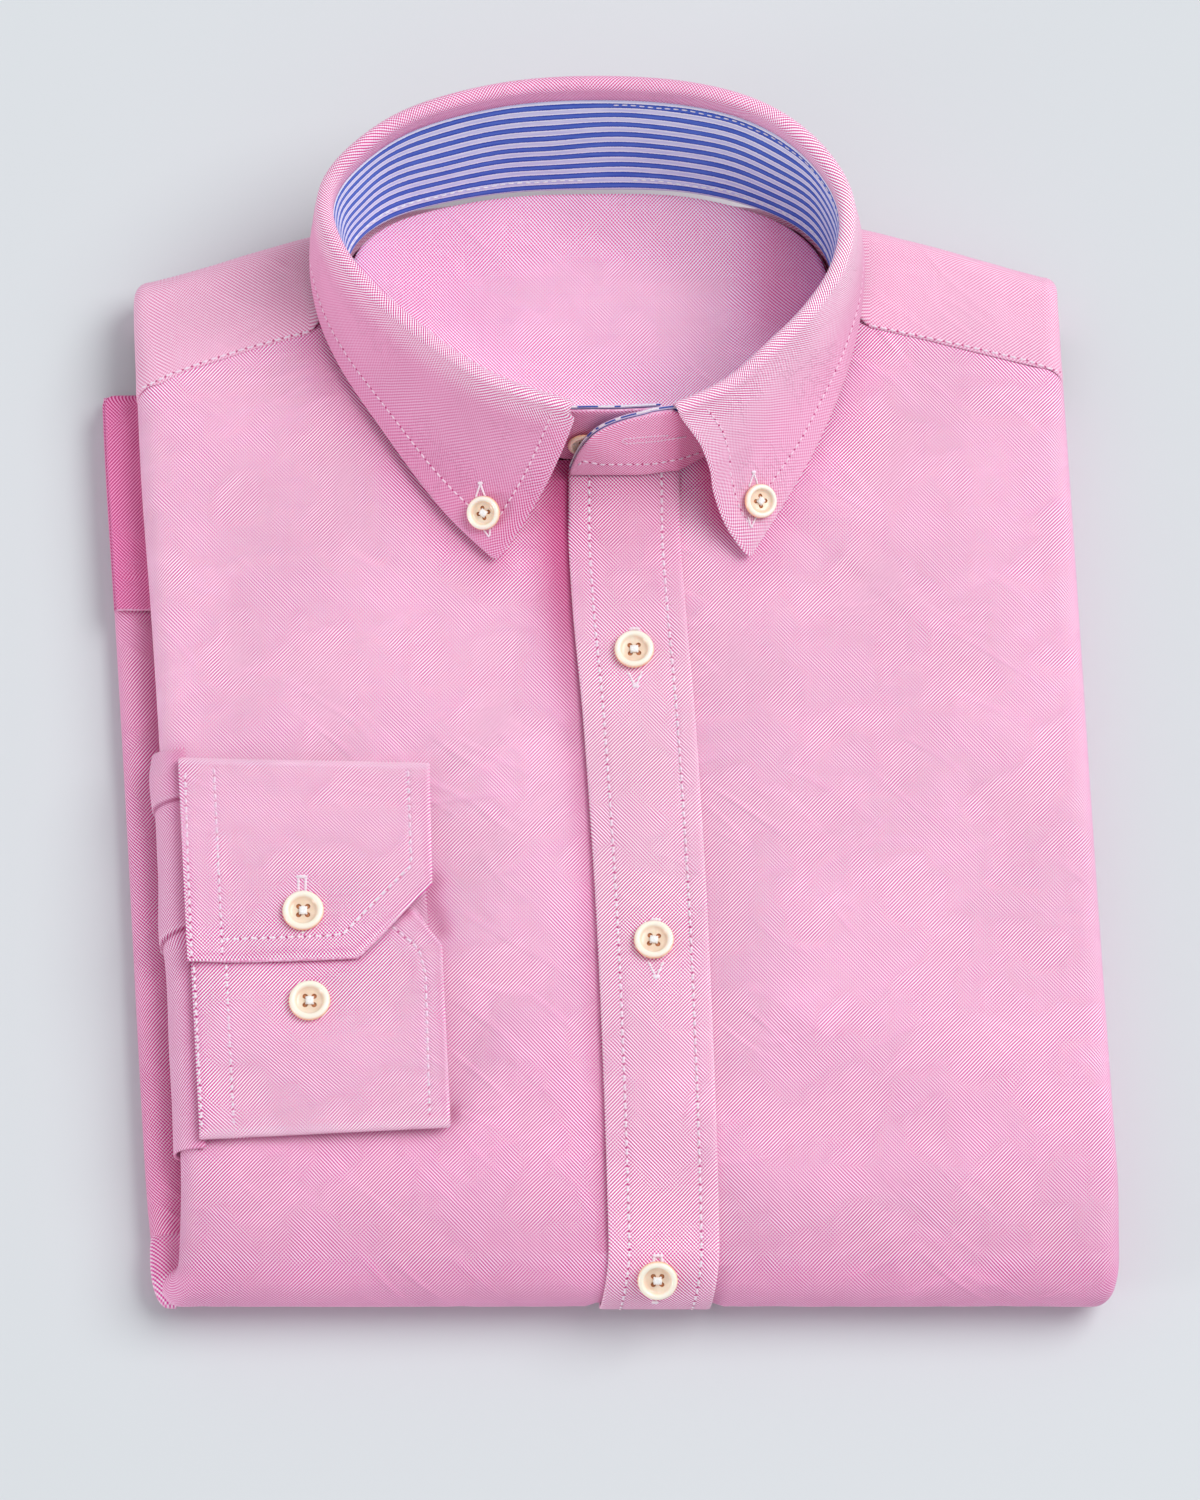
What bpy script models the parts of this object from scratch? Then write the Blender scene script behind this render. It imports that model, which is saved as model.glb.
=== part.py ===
"""A folded long-sleeved dress shirt lying on its back: front up, button-down collar standing, one cuff laid on the front.

Millimetres in the tables, metres in the scene. X runs across the shirt, Y from the bottom fold to the collar, Z up.
The floor side is z = 0. Every cloth piece is an outer face, thickened inwards by Solidify.
"""

import math

import bmesh
import bpy
from mathutils import Vector

# ---------------------------------------------------------------- driving dimensions (mm)
CLOTH = 1.2          # one wall of shirting as it lies
GAP = 0.3            # between pieces
CENTRE_Y = 179.77    # tables are measured from the bottom edge, the part from its middle
CENTRE_X = 1.14
ROLL_Y, ROLL_R = 14.8, 12.25      # bottom fold: axis and outer radius
SHOULDER_R = 10.0                 # roll of the yoke over the shoulder
TUCKED = 3.2                      # how far the fronts run on under the yoke
BAND_RISE = 1.8                   # placket face above the front
PLACKET_UNDER_RIGHT, PLACKET_UNDER_LEFT = 8.0, 14.0
ROLL_SHIFT = 2.6                  # how far the placket drifts sideways as it goes round the bottom fold
LOWER_END = 275.0                 # where the folded-up tail starts to round off
COLLAR_PLY = 1.6
STAND_PLY, LINING_PLY = 1.2, 1.0
LEAF_ROLL = 2.4
CUFF_PLY = 1.4

# upper packet: its side folds, the height of its middle and of its edges, and the plane between the packets
UPPER = {
    "y":      (0.0, 14.8, 31.6, 61.0, 110.0, 166.0, 208.0, 250.0, 277.0, 305.0, 345.0),
    "left":   (-119.2, -118.7, -118.4, -119.5, -122.6, -126.0, -129.0, -132.4, -133.9, -135.2, -136.0),
    "right":  (146.3, 146.4, 146.5, 145.1, 142.5, 139.7, 137.7, 135.6, 134.2, 132.8, 131.0),
    "crown":  (24.5, 24.5, 25.1, 25.8, 26.5, 26.8, 27.0, 27.2, 26.6, 25.6, 24.0),
    "edge":   (24.5, 24.5, 24.3, 24.2, 24.0, 24.0, 24.0, 23.9, 23.8, 23.6, 23.0),
    "mid":    (12.25, 12.25, 12.0, 11.6, 10.9, 10.3, 9.8, 9.5, 9.3, 9.3, 9.3),
}
# lower packet: the tail folded up behind
LOWER = {
    "y":     (0.0, 14.8, 36.0, 84.0, 144.0, 213.0, 255.0, 290.0),
    "left":  (-126.4, -126.6, -128.5, -131.7, -135.4, -140.0, -143.0, -145.0),
    "right": (144.0, 144.0, 142.5, 140.0, 137.0, 133.0, 131.0, 129.5),
}
PLACKET = {
    "y":     (0.0, 14.8, 29.4, 104.0, 173.5, 210.0, 231.6, 251.0),
    "left":  (2.4, 2.4, 2.1, -0.6, -4.9, -8.1, -9.1, -9.1),
    "right": (33.6, 33.6, 33.4, 31.0, 27.2, 24.3, 23.0, 22.9),
}
# yoke: its seam on the fronts, the outermost line of the shoulder roll, and where it starts behind the neck
SEAM = {
    "x": (-140.0, -133.5, -124.0, -110.0, -96.0, -81.0, -68.0, 64.0, 75.0, 93.5, 108.4, 123.3, 130.7, 136.0),
    "y": (270.0, 273.6, 279.6, 284.4, 289.1, 293.4, 297.5, 298.0, 295.1, 290.8, 287.0, 283.3, 281.2, 278.5),
}
SHOULDER = {
    "x": (-136.0, -125.0, -110.0, -96.0, -83.0, -50.0, -3.0, 45.0, 76.0, 94.0, 109.0, 124.0, 134.0),
    "y": (311.0, 315.5, 320.4, 325.1, 329.0, 337.5, 341.5, 337.5, 331.0, 326.2, 321.8, 317.0, 313.0),
}
YOKE_START = {
    "x": (-84.0, -79.0, -75.0, -71.0, -64.0, -52.0, -28.0, -2.0, 24.0, 45.0, 58.0, 65.0, 69.0, 73.0, 78.0),
    "y": (292.4, 300.0, 312.0, 320.0, 326.5, 332.5, 337.0, 338.5, 337.0, 332.5, 326.5, 318.0, 310.0, 300.0, 294.3),
}
# collar, clockwise from its front left end: the inner face of the stand at the seam and at the top, and the leaf's edge
COLLAR = {
    "low_x":  (-9.5, -27.5, -45.0, -61.0, -70.0, -73.0, -68.0, -54.0, -29.0, -2.0, 24.5, 46.0, 60.0, 66.5, 64.5, 56.5, 45.0, 33.5, 22.5),
    "low_y":  (254.1, 258.5, 268.5, 284.0, 298.0, 312.0, 323.0, 331.5, 337.5, 339.0, 338.0, 332.0, 323.0, 311.0, 296.0, 282.0, 268.0, 257.5, 250.4),
    "low_z":  (29.4, 29.4, 28.9, 27.9, 27.3, 26.4, 24.6, 22.6, 21.0, 20.6, 21.0, 22.6, 24.6, 26.4, 27.3, 27.9, 28.9, 29.4, 29.6),
    "top_x":  (-9.5, -28.6, -46.7, -64.9, -74.4, -76.5, -69.4, -53.3, -28.3, -2.0, 25.0, 45.6, 60.3, 68.4, 67.0, 58.8, 46.8, 34.9, 22.5),
    "top_y":  (259.4, 266.7, 279.2, 296.2, 309.8, 322.6, 334.0, 345.0, 352.0, 354.0, 352.4, 346.6, 335.6, 321.0, 304.0, 289.4, 276.5, 265.2, 258.2),
    "top_z":  (54.0, 53.0, 52.0, 51.0, 50.5, 50.5, 51.0, 52.0, 52.8, 53.0, 52.8, 52.0, 51.0, 50.5, 50.5, 51.0, 52.0, 53.5, 56.0),
    "rise":   (2.0, 3.0, 4.0, 4.6, 5.0, 5.2, 5.4, 5.6, 5.8, 6.0, 5.8, 5.6, 5.4, 5.2, 5.0, 4.6, 4.0, 3.0, 1.0),
    "edge_x": (-31.5, -45.0, -62.0, -75.8, -82.4, -83.8, -77.0, -59.0, -31.0, -2.5, 27.0, 50.0, 68.0, 76.0, 76.2, 72.8, 65.5, 56.0, 43.7),
    "edge_y": (220.2, 235.0, 259.5, 281.5, 299.0, 318.0, 334.0, 342.5, 347.0, 348.5, 347.5, 342.5, 335.0, 320.0, 302.0, 283.0, 262.5, 243.0, 221.0),
    "edge_z": (29.6, 29.7, 29.6, 28.8, 28.3, 27.3, 23.5, 19.0, 17.2, 16.6, 17.2, 19.0, 23.0, 26.8, 28.3, 28.8, 29.6, 29.7, 29.6),
}
# wearer's left end of the stand, folded over the other end: how tall the band is there
OVERLAP = {
    "x":    (14.9, 8.9, 2.6, -1.8, -4.8, -7.0, -8.6),
    "tall": (1.0, 0.93, 0.81, 0.67, 0.5, 0.3, 0.1),
}
UNDERLAP_X = (2.0, 17.0)
# cuff: outlines of the two ends, row by row up the cuff
CUFF_OVER = {
    "y":     (99.9, 101.5, 112.0, 123.7, 131.4, 145.0, 157.6),
    "left":  (-117.2, -117.2, -117.5, -118.2, -118.7, -119.4, -120.3),
    "right": (-84.0, -70.2, -60.2, -48.4, -48.0, -48.6, -49.1),
    "z":     (31.7, 31.7, 31.7, 31.5, 31.2, 30.6, 30.1),
    "rise":  (0.6, 0.0, 0.0, 0.0, 0.0, -0.6, -1.4),
}
CUFF_UNDER = {
    "y":     (51.0, 64.0, 80.0, 93.5, 107.9, 116.0),
    "left":  (-113.0, -113.8, -114.8, -115.6, -116.4, -116.8),
    "right": (-42.7, -43.4, -44.2, -44.8, -46.7, -53.7),
    "z":     (30.0, 30.0, 30.0, 30.0, 30.0, 30.0),
    "rise":  (3.4, 2.7, 1.7, 0.8, 0.0, 0.0),
}
CUFF_BOTTOM = 26.9        # face of the cuff's under half that lies on the front
CUFF_TILT = 1.4           # how much lower the cuff lies at its sleeve end
# sleeve beside the cuff: it comes out between the packets and turns over the side fold
SLEEVE = {
    "y":    (44.9, 48.0, 64.0, 98.7, 115.0, 146.4, 160.0, 165.0),
    "left": (-120.7, -120.9, -121.7, -123.6, -125.2, -127.2, -128.6, -128.2),
}
FRONT_BUTTON_D, COLLAR_BUTTON_D, CUFF_BUTTON_D = 11.4, 9.9, 11.9


# ---------------------------------------------------------------- helpers
def lerp(a, b, t):
    return a + (b - a) * t


def smooth(t):
    t = min(1.0, max(0.0, t))
    return t * t * (3 - 2 * t)


def curve(table, key, at, value):
    """The column `value` at `at`, through the rows of the column `key`, as a smooth line."""
    xs, ys = table[key], table[value]
    if xs[0] > xs[-1]:
        xs, ys = xs[::-1], ys[::-1]
    n = len(xs)
    if at <= xs[0]:
        return ys[0]
    if at >= xs[-1]:
        return ys[-1]
    i = max(k for k in range(n - 1) if xs[k] <= at)
    def slope(k):
        if k == 0:
            return (ys[1] - ys[0]) / (xs[1] - xs[0])
        if k == n - 1:
            return (ys[-1] - ys[-2]) / (xs[-1] - xs[-2])
        a = (ys[k] - ys[k - 1]) / (xs[k] - xs[k - 1])
        b = (ys[k + 1] - ys[k]) / (xs[k + 1] - xs[k])
        return 0.0 if a * b <= 0 else 2 * a * b / (a + b)
    h = xs[i + 1] - xs[i]
    t = (at - xs[i]) / h
    return ((2 * t**3 - 3 * t**2 + 1) * ys[i] + (t**3 - 2 * t**2 + t) * h * slope(i)
            + (-2 * t**3 + 3 * t**2) * ys[i + 1] + (t**3 - t**2) * h * slope(i + 1))


def station(values, s):
    """A value between the numbered rows of the collar table (Catmull-Rom)."""
    n = len(values)
    i = min(n - 2, max(0, int(math.floor(s))))
    t = s - i
    p0, p1, p2, p3 = (values[max(0, i - 1)], values[i], values[i + 1], values[min(n - 1, i + 2)])
    return 0.5 * (2 * p1 + (p2 - p0) * t + (2 * p0 - 5 * p1 + 4 * p2 - p3) * t * t + (3 * p1 - p0 - 3 * p2 + p3) * t**3)


def upper(y, value):
    return curve(UPPER, "y", y, value)


def lower(y, value):
    return curve(LOWER, "y", y, value)


def front_z(x, y):
    """The outer face of the fronts."""
    left, right = upper(y, "left"), upper(y, "right")
    u = (x - (left + right) / 2) / ((right - left) / 2 - 6)
    u = min(1.0, abs(u))
    return upper(y, "edge") + (upper(y, "crown") - upper(y, "edge")) * (1 - u**2.6)


def side_radius(y):
    return (upper(y, "edge") - upper(y, "mid") - 0.35) / 2


def lower_radius(y):
    return (upper(y, "mid") - 0.35) / 2


# ---------------------------------------------------------------- scene, collections, materials
for old in list(bpy.data.objects):
    bpy.data.objects.remove(old, do_unlink=True)

shirt = bpy.data.collections.new("folded_dress_shirt")
helpers = bpy.data.collections.new("guides")
bpy.context.scene.collection.children.link(shirt)
bpy.context.scene.collection.children.link(helpers)
root = bpy.data.objects.new("folded_dress_shirt_root", None)
root.location = (-CENTRE_X * 0.001, -CENTRE_Y * 0.001, 0.0)
shirt.objects.link(root)


def material(name, colour, roughness, metallic=0.0, sheen=0.0):
    made = bpy.data.materials.new(name)
    made.use_nodes = True
    shader = made.node_tree.nodes["Principled BSDF"]
    shader.inputs["Base Color"].default_value = (*colour, 1.0)
    shader.inputs["Roughness"].default_value = roughness
    shader.inputs["Metallic"].default_value = metallic
    shader.inputs["Sheen Weight"].default_value = sheen
    made.diffuse_color = (*colour, 1.0)
    return made


PINK = (0.80, 0.36, 0.60)


def place(name, mesh, mat):
    obj = bpy.data.objects.new(name, mesh)
    obj.parent = root
    shirt.objects.link(obj)
    if not mesh.materials:
        mesh.materials.append(mat)
    return obj


def finish_mesh(bm, name):
    bmesh.ops.remove_doubles(bm, verts=bm.verts, dist=1e-6)
    bmesh.ops.dissolve_degenerate(bm, edges=bm.edges, dist=1e-7)
    mesh = bpy.data.meshes.new(name)
    bm.to_mesh(mesh)
    bm.free()
    mesh.shade_smooth()
    mesh.set_sharp_from_angle(angle=math.radians(40))
    return mesh


def loft(name, rows, thickness, mat, flip=False):
    """An open sheet lofted through rows of points (mm, on its outer face), thickened inwards."""
    bm = bmesh.new()
    grid = [[bm.verts.new((x * 0.001, y * 0.001, z * 0.001)) for x, y, z in row] for row in rows]
    for a, b in zip(grid, grid[1:]):
        for i in range(len(a) - 1):
            quad = (a[i], a[i + 1], b[i + 1], b[i])
            bm.faces.new(quad[::-1] if flip else quad)
    mesh = finish_mesh(bm, name)
    obj = place(name, mesh, mat)
    shell = obj.modifiers.new("cloth", "SOLIDIFY")
    shell.thickness = thickness * 0.001
    shell.offset = -1.0
    shell.use_even_offset = True
    shell.use_rim = True
    return obj


def tube_mesh(name, loops):
    """A closed solid lofted through rings of points (mm), with flat ends."""
    bm = bmesh.new()
    rings = [[bm.verts.new((x * 0.001, y * 0.001, z * 0.001)) for x, y, z in loop] for loop in loops]
    n = len(rings[0])
    for a, b in zip(rings, rings[1:]):
        for i in range(n):
            bm.faces.new((a[i], a[(i + 1) % n], b[(i + 1) % n], b[i]))
    bm.faces.new(rings[0][::-1])
    bm.faces.new(rings[-1])
    bmesh.ops.triangulate(bm, faces=[f for f in bm.faces if len(f.verts) > 4])
    bmesh.ops.recalc_face_normals(bm, faces=bm.faces)
    return finish_mesh(bm, name)


# ---------------------------------------------------------------- the fronts: one band each, from the yoke round the bottom fold to the tail's end
TOP_ROWS = (0.0, 0.06, 0.14, 0.24, 0.36, 0.48, 0.6, 0.72, 0.83, 0.92, 1.0)
ROLL_ROWS = (25, 50, 75, 105, 130, 155)
UNDER_ROWS = (ROLL_Y, 60.0, 130.0, 200.0, 250.0, LOWER_END)
END_ROWS = (35, 65)
ROWS = ([("top", t) for t in TOP_ROWS] + [("roll", a) for a in ROLL_ROWS]
        + [("under", y) for y in UNDER_ROWS] + [("end", a) for a in END_ROWS])
FLATS = (0.25, 0.5, 0.72, 0.88, 1.0)
ARC = (55, 22, -10, -48, -90)


def neck_y(x):
    """Top edge of a front: under the yoke at the shoulder, under the stand at the neck."""
    if x <= -70 or x >= 66:
        return curve(SEAM, "x", x, "y") + TUCKED - GAP - 0.3
    stations = [(COLLAR["low_x"][k], COLLAR["low_y"][k]) for k in (4, 3, 2, 1, 0, 18, 17, 16, 15, 14)]
    table = {"x": tuple(p[0] for p in stations), "y": tuple(p[1] for p in stations)}
    return curve(table, "x", x, "y") - 1.4 if x < 64 else 297.0


def seam_drop(arc):
    """How far the yoke seam runs down where it turns over the side fold."""
    return 3.6 * smooth((90 - arc) / 120)


def span(side, row):
    """Inner and outer x of a front, its fold radius, the dive under the placket band, at a row."""
    kind, value = row
    edge = "right" if side > 0 else "left"
    if kind == "top":
        y = value
        return upper(y, edge), side_radius(y), 0.0, y
    if kind == "roll":
        t = smooth(value / 180.0)
        return lerp(upper(ROLL_Y, edge), lower(ROLL_Y, edge), t), 5.95, t, ROLL_Y
    return lower(value, edge), lower_radius(value), 1.0, value


def drift(kind, value):
    return 0.0 if kind == "top" else -ROLL_SHIFT * (smooth(value / 110.0) if kind == "roll" else 1.0)


def front_rows(side):
    rows = []
    for kind, value in ROWS:
        line = []
        columns = ([("band", 0), ("band", 1), ("band", 2)] + [("flat", f) for f in FLATS] + [("arc", a) for a in ARC] + [("tuck", 1)])
        for col, where in columns:
            fraction = 0.0 if col == "band" else (where if col == "flat" else 1.0)
            if kind == "top":
                xp = curve(PLACKET, "y", 262.0, "right" if side > 0 else "left")
                xe = upper(262.0, "right" if side > 0 else "left") - side * 7.0
                xr = lerp(xp, xe, fraction)
                shoulder = abs(xr) > 66
                if fraction > 0.95:
                    xr = -128.0 if side < 0 else 126.5
                at_neck = neck_y(xr) - (TUCKED + 0.1 if shoulder and fraction > 0.95 else 0.0)
                if col in ("arc", "tuck"):
                    at_neck -= seam_drop(where if col == "arc" else -90)
                y = lerp(at_neck, ROLL_Y, value)
                outer, r, dive, yy = span(side, ("top", y))
            elif kind == "end":
                y = LOWER_END
                outer, r, dive, yy = span(side, ("under", y))
            else:
                outer, r, dive, yy = span(side, (kind, value))
            pl, pr = (curve(PLACKET, "y", yy, c) + drift(kind, value) for c in ("left", "right"))
            if side > 0:
                band = (pr - PLACKET_UNDER_RIGHT, pr + 0.8, pr + 4.0)
            else:
                band = (pl + PLACKET_UNDER_LEFT, pl - 0.8, pl - 4.0)
            depth = 0.0
            if col == "band":
                x = band[where]
                depth = BAND_RISE * dive if where < 2 else 0.0
            elif col == "flat":
                x = lerp(band[2], outer - side * r, where)
            elif col == "arc":
                a = math.radians(where)
                x = outer - side * r + side * r * math.cos(a)
                depth = r - r * math.sin(a)
            else:
                x = outer - side * (r + (6.0 if kind == "top" else 14.0 if side < 0 else 6.0))
                depth = 2 * r
            if kind == "top":
                flat_x = x if col in ("band", "flat") else outer - side * r
                line.append((x, y, front_z(flat_x, y) - depth))
            elif kind == "roll":
                a = math.radians(value)
                rho = ROLL_R - depth
                line.append((x, ROLL_Y - rho * math.sin(a), ROLL_R + rho * math.cos(a)))
            elif kind == "under":
                line.append((x, value, depth))
            else:
                b = math.radians(value)
                line.append((x, LOWER_END + 6.0 * math.sin(b), r + (depth - r) * math.cos(b)))
        rows.append(line)
    return rows


loft("left_front", front_rows(1), CLOTH, material("front_left_cloth", PINK, 0.82, sheen=0.2), flip=True)
loft("right_front", front_rows(-1), CLOTH, material("front_right_cloth", PINK, 0.82, sheen=0.2))

# ---------------------------------------------------------------- placket: a raised band on top, level with the fronts underneath
rows = []
for kind, value in ROWS:
    if kind == "end":
        continue
    line = []
    for f in (0.0, 0.04, 0.5, 0.96, 1.0):
        if kind == "top":
            y = lerp(249.6, ROLL_Y, value)
        elif kind == "roll":
            y = ROLL_Y
        else:
            y = value
        x = lerp(curve(PLACKET, "y", y, "left"), curve(PLACKET, "y", y, "right"), f) + drift(kind, value)
        soft = 0.25 if f in (0.0, 1.0) else 0.0
        if kind == "top":
            line.append((x, y, front_z(x, y) + BAND_RISE - soft))
        elif kind == "roll":
            a = math.radians(value)
            rho = ROLL_R + BAND_RISE * (1 - smooth(value / 180.0)) - soft * (1 - value / 180.0)
            line.append((x, ROLL_Y - rho * math.sin(a), ROLL_R + rho * math.cos(a)))
        else:
            line.append((x, value, 0.0))
    rows.append(line)
loft("placket", rows, BAND_RISE - GAP, material("placket_cloth", PINK, 0.8, sheen=0.2), flip=True)


# ---------------------------------------------------------------- yoke: from the front seam over the shoulder roll to the back seam underneath
YOKE_BACK = 302.0


def yoke_path(x):
    """Points (y, z, normal y, normal z) of the yoke's outer face at x, from its start to the back seam."""
    out = curve(SHOULDER, "x", x, "y")
    start = curve(YOKE_START, "x", x, "y") if -84 < x < 78 else curve(SEAM, "x", x, "y")
    axis = out - SHOULDER_R
    z0 = front_z(x, curve(SEAM, "x", x, "y")) + CLOTH + GAP + 0.2
    line = []
    if start < axis:
        base = curve(SEAM, "x", x, "y")
        for k in range(13):
            y = lerp(start, axis, k / 12)
            t = (y - base) / (axis - base)
            line.append((y, lerp(z0, 2 * SHOULDER_R, smooth(t) * 0.6 + t * t * 0.4), 0.0, 1.0))
        first = 0.0
    else:
        first = math.degrees(math.asin(min(1.0, (start - axis) / SHOULDER_R)))
    for k in range(25):
        a = math.radians(lerp(first, 180.0, k / 24))
        line.append((axis + SHOULDER_R * math.sin(a), SHOULDER_R + SHOULDER_R * math.cos(a), math.sin(a), math.cos(a)))
    line.append((YOKE_BACK, 0.0, 0.0, -1.0))
    return line


def along(line, t):
    lengths = [0.0]
    for a, b in zip(line, line[1:]):
        lengths.append(lengths[-1] + math.hypot(b[0] - a[0], b[1] - a[1]))
    want = t * lengths[-1]
    for k in range(len(line) - 1):
        if lengths[k + 1] >= want:
            f = (want - lengths[k]) / max(1e-9, lengths[k + 1] - lengths[k])
            return tuple(lerp(line[k][i], line[k + 1][i], f) for i in range(4))
    return line[-1]


YOKE_T = (0.0, 0.12, 0.24, 0.35, 0.45, 0.54, 0.63, 0.72, 0.81, 0.9, 1.0)
YOKE_X = (-124.0, -112.0, -100.0, -90.0, -84.0, -79.0, -75.0, -71.0, -64.0, -52.0, -28.0, -2.0, 24.0, 45.0, 58.0, 65.0, 69.0, 73.0, 78.0, 88.0, 100.0, 112.0, 122.0)


def yoke_rows():
    rows = []
    for t in YOKE_T:
        line = []
        edge_r = lerp(6.9, 4.6, smooth(t / 0.4))
        flats = []
        for side in (-1, 1):
            x_in = -128.0 if side < 0 else 126.5
            y, z, ny, nz = along(yoke_path(x_in), t)
            outer = upper(min(y, 305.0), "left" if side < 0 else "right") + side * 0.3
            if t > 0.5:
                outer -= side * 1.0 * smooth((t - 0.5) * 3)
            arcs = []
            for arc in ARC:
                a = math.radians(arc)
                depth = edge_r - edge_r * math.sin(a)
                drop = seam_drop(arc) * (1 - smooth(t / 0.3))
                arcs.append((outer - side * edge_r + side * edge_r * math.cos(a), y - ny * depth - drop, z - nz * depth))
            arcs.append((outer - side * (edge_r + 5.0), y - ny * 2 * edge_r - seam_drop(-90) * (1 - smooth(t / 0.3)), z - nz * 2 * edge_r))
            arcs.insert(0, (outer - side * edge_r, y, z))
            flats.append(arcs)
        line += flats[0][::-1]
        for x in YOKE_X[1:-1]:
            y, z, ny, nz = along(yoke_path(x), t)
            line.append((x, y, z))
        line += flats[1]
        rows.append(line)
    return rows


loft("yoke", yoke_rows(), CLOTH, material("yoke_cloth", PINK, 0.82, sheen=0.2))

# ---------------------------------------------------------------- back: the stretch that shows underneath, from the yoke's seam up between the packets
rows = []
for y, z, inset in ((YOKE_BACK - 0.4, 0.0, 12.0), (296.0, 0.4, 14.0), (290.0, 4.2, 18.0), (285.0, 8.6, 22.0), (281.0, 9.5, 25.0), (272.0, 9.8, 27.0)):
    left, right = upper(300.0, "left") + inset, upper(300.0, "right") - inset
    rows.append([(lerp(left, right, k / 8), y, z) for k in range(9)])
loft("back", rows, CLOTH, material("back_cloth", PINK, 0.82, sheen=0.2))

# ---------------------------------------------------------------- hidden layers: one rounded solid that follows the fronts inside
INSET = CLOTH + GAP
NECK_FLOOR = 15.6


def core_top(x, y):
    """Upper face of the hidden layers, hollowed where the neck opens."""
    z = front_z(x, y) - INSET - 0.1
    base, axis = curve(SEAM, "x", x, "y"), curve(SHOULDER, "x", x, "y") - SHOULDER_R
    if y > base:
        t = min(1.0, (y - base) / (axis - base))
        z = min(z, lerp(z + 0.6, 2 * SHOULDER_R - CLOTH - 0.7, smooth(t) * 0.6 + t * t * 0.4) - 0.6)
    across = max(0.0, abs(x + 3.0) - 80.0) / 10.0
    along_y = max(0.0, 240.0 - y) / 12.0
    hollow = 1 - smooth(max(across, along_y))
    return lerp(z, NECK_FLOOR - CLOTH - 0.6, hollow)


CORE_X = (0.0, 0.1, 0.18, 0.24, 0.3, 0.42, 0.58, 0.7, 0.76, 0.82, 0.9, 1.0)
SIDE_ARC = (45, 0, -45)


def core_loop(kind, value):
    clear = INSET + 0.5
    if kind == "shoulder":
        y0, clear, r = 300.0, 13.5, 5.0
        left, right = upper(y0, "left") + clear, upper(y0, "right") - clear
    elif kind == "top":
        y0 = value
        clear = lerp(clear, 13.5, smooth((y0 - 262.0) / 12.0))
        r = lerp(side_radius(y0) - INSET, 5.0, smooth((y0 - 262.0) / 12.0))
        left, right = upper(y0, "left") + clear, upper(y0, "right") - clear
    elif kind == "roll":
        left, right = span(-1, (kind, value))[0] + clear, span(1, (kind, value))[0] - clear
        y0, r = ROLL_Y, 5.95 - INSET
    else:
        y0 = min(value, LOWER_END) if kind == "under" else LOWER_END
        r = lower_radius(y0) - INSET
        left, right = lower(y0, "left") + clear, lower(y0, "right") - clear

    def bottom(y):
        z = upper(y, "mid") + 0.35 + INSET + 0.1
        return lerp(z, 2.0, smooth((y - 288.0) / 16.0))

    def at(x, level):
        """level 0 is the outer face, 1 the inner one."""
        if kind == "shoulder":
            axis = curve(SHOULDER, "x", x, "y") - SHOULDER_R
            b = math.radians(value)
            mid, half = 8.4, 6.6
            top = min(mid + half, core_top(x, 300.0))
            z = lerp(top, 1.8, level)
            centre = (top + 1.8) / 2
            return (x, axis - 2.0 + 6.0 * math.sin(b), centre + (z - centre) * math.cos(b))
        if kind == "top":
            y = value
            if value > 290:      # fans out towards the slanted shoulder line
                y = lerp(290.0, curve(SHOULDER, "x", x, "y") - SHOULDER_R - 2.0, (value - 290.0) / 20.0)
            top = min(core_top(x, y), lerp(30.0, 15.0, smooth((y - 290.0) / 25.0)) if value > 290 else 30.0)
            return (x, y, lerp(top, bottom(y), level))
        if kind == "roll":
            a = math.radians(value)
            rho = ROLL_R - lerp(INSET + 0.1 + BAND_RISE * smooth(value / 180.0), 2 * 5.95 - INSET - 0.6, level)
            return (x, ROLL_Y - rho * math.sin(a), ROLL_R + rho * math.cos(a))
        r = lower_radius(y0)
        z = lerp(INSET + 0.1 + BAND_RISE, 2 * r - INSET - 0.1, level)
        if kind == "under":
            return (x, value, z)
        b = math.radians(value)
        return (x, LOWER_END + 4.0 * math.sin(b), r + (z - r) * math.cos(b))

    top = [at(lerp(left + r, right - r, f), 0.0) for f in CORE_X]
    low = [at(lerp(left + r, right - r, f), 1.0) for f in (1.0, 0.75, 0.5, 0.25, 0.0)]
    def edge(x_end, side):
        points = []
        for a in SIDE_ARC:
            a = math.radians(a)
            points.append(at(x_end - side * r + side * r * math.cos(a), 0.5 - 0.5 * math.sin(a)))
        return points
    return top + edge(right, 1) + low + edge(left, -1)[::-1]


loops = [core_loop("shoulder", b) for b in (75, 45, 15)]
loops += [core_loop("top", y) for y in (310.0, 302.0, 296.0, 289.0, 282.0, 274.0, 262.0, 250.0, 240.0, 228.0, 190.0, 150.0, 110.0, 70.0, 40.0, ROLL_Y)]
loops += [core_loop("roll", a) for a in ROLL_ROWS]
loops += [core_loop("under", y) for y in (ROLL_Y, 70.0, 140.0, 210.0, LOWER_END)]
loops += [core_loop("end", b) for b in (40, 70)]
core_mesh = tube_mesh("folded_layers", loops)
core = place("folded_layers", core_mesh, material("folded_layers_cloth", (0.62, 0.22, 0.44), 0.85, sheen=0.1))
bridge_loops = []
for y in (16.0, 60.0, 120.0, 200.0, 262.0):
    m = upper(y, "mid")
    bridge_loops.append([(-98.0, y, m - 3.4), (108.0, y, m - 3.4), (108.0, y, m + 3.4), (-98.0, y, m + 3.4)])
bridge = bpy.data.objects.new("between_packets", tube_mesh("between_packets", bridge_loops))
bridge.parent = root
bridge.hide_render = True
bridge.display_type = "WIRE"
helpers.objects.link(bridge)
join = core.modifiers.new("between_packets", "BOOLEAN")
join.operation = "UNION"
join.solver = "EXACT"
join.object = bridge


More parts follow.
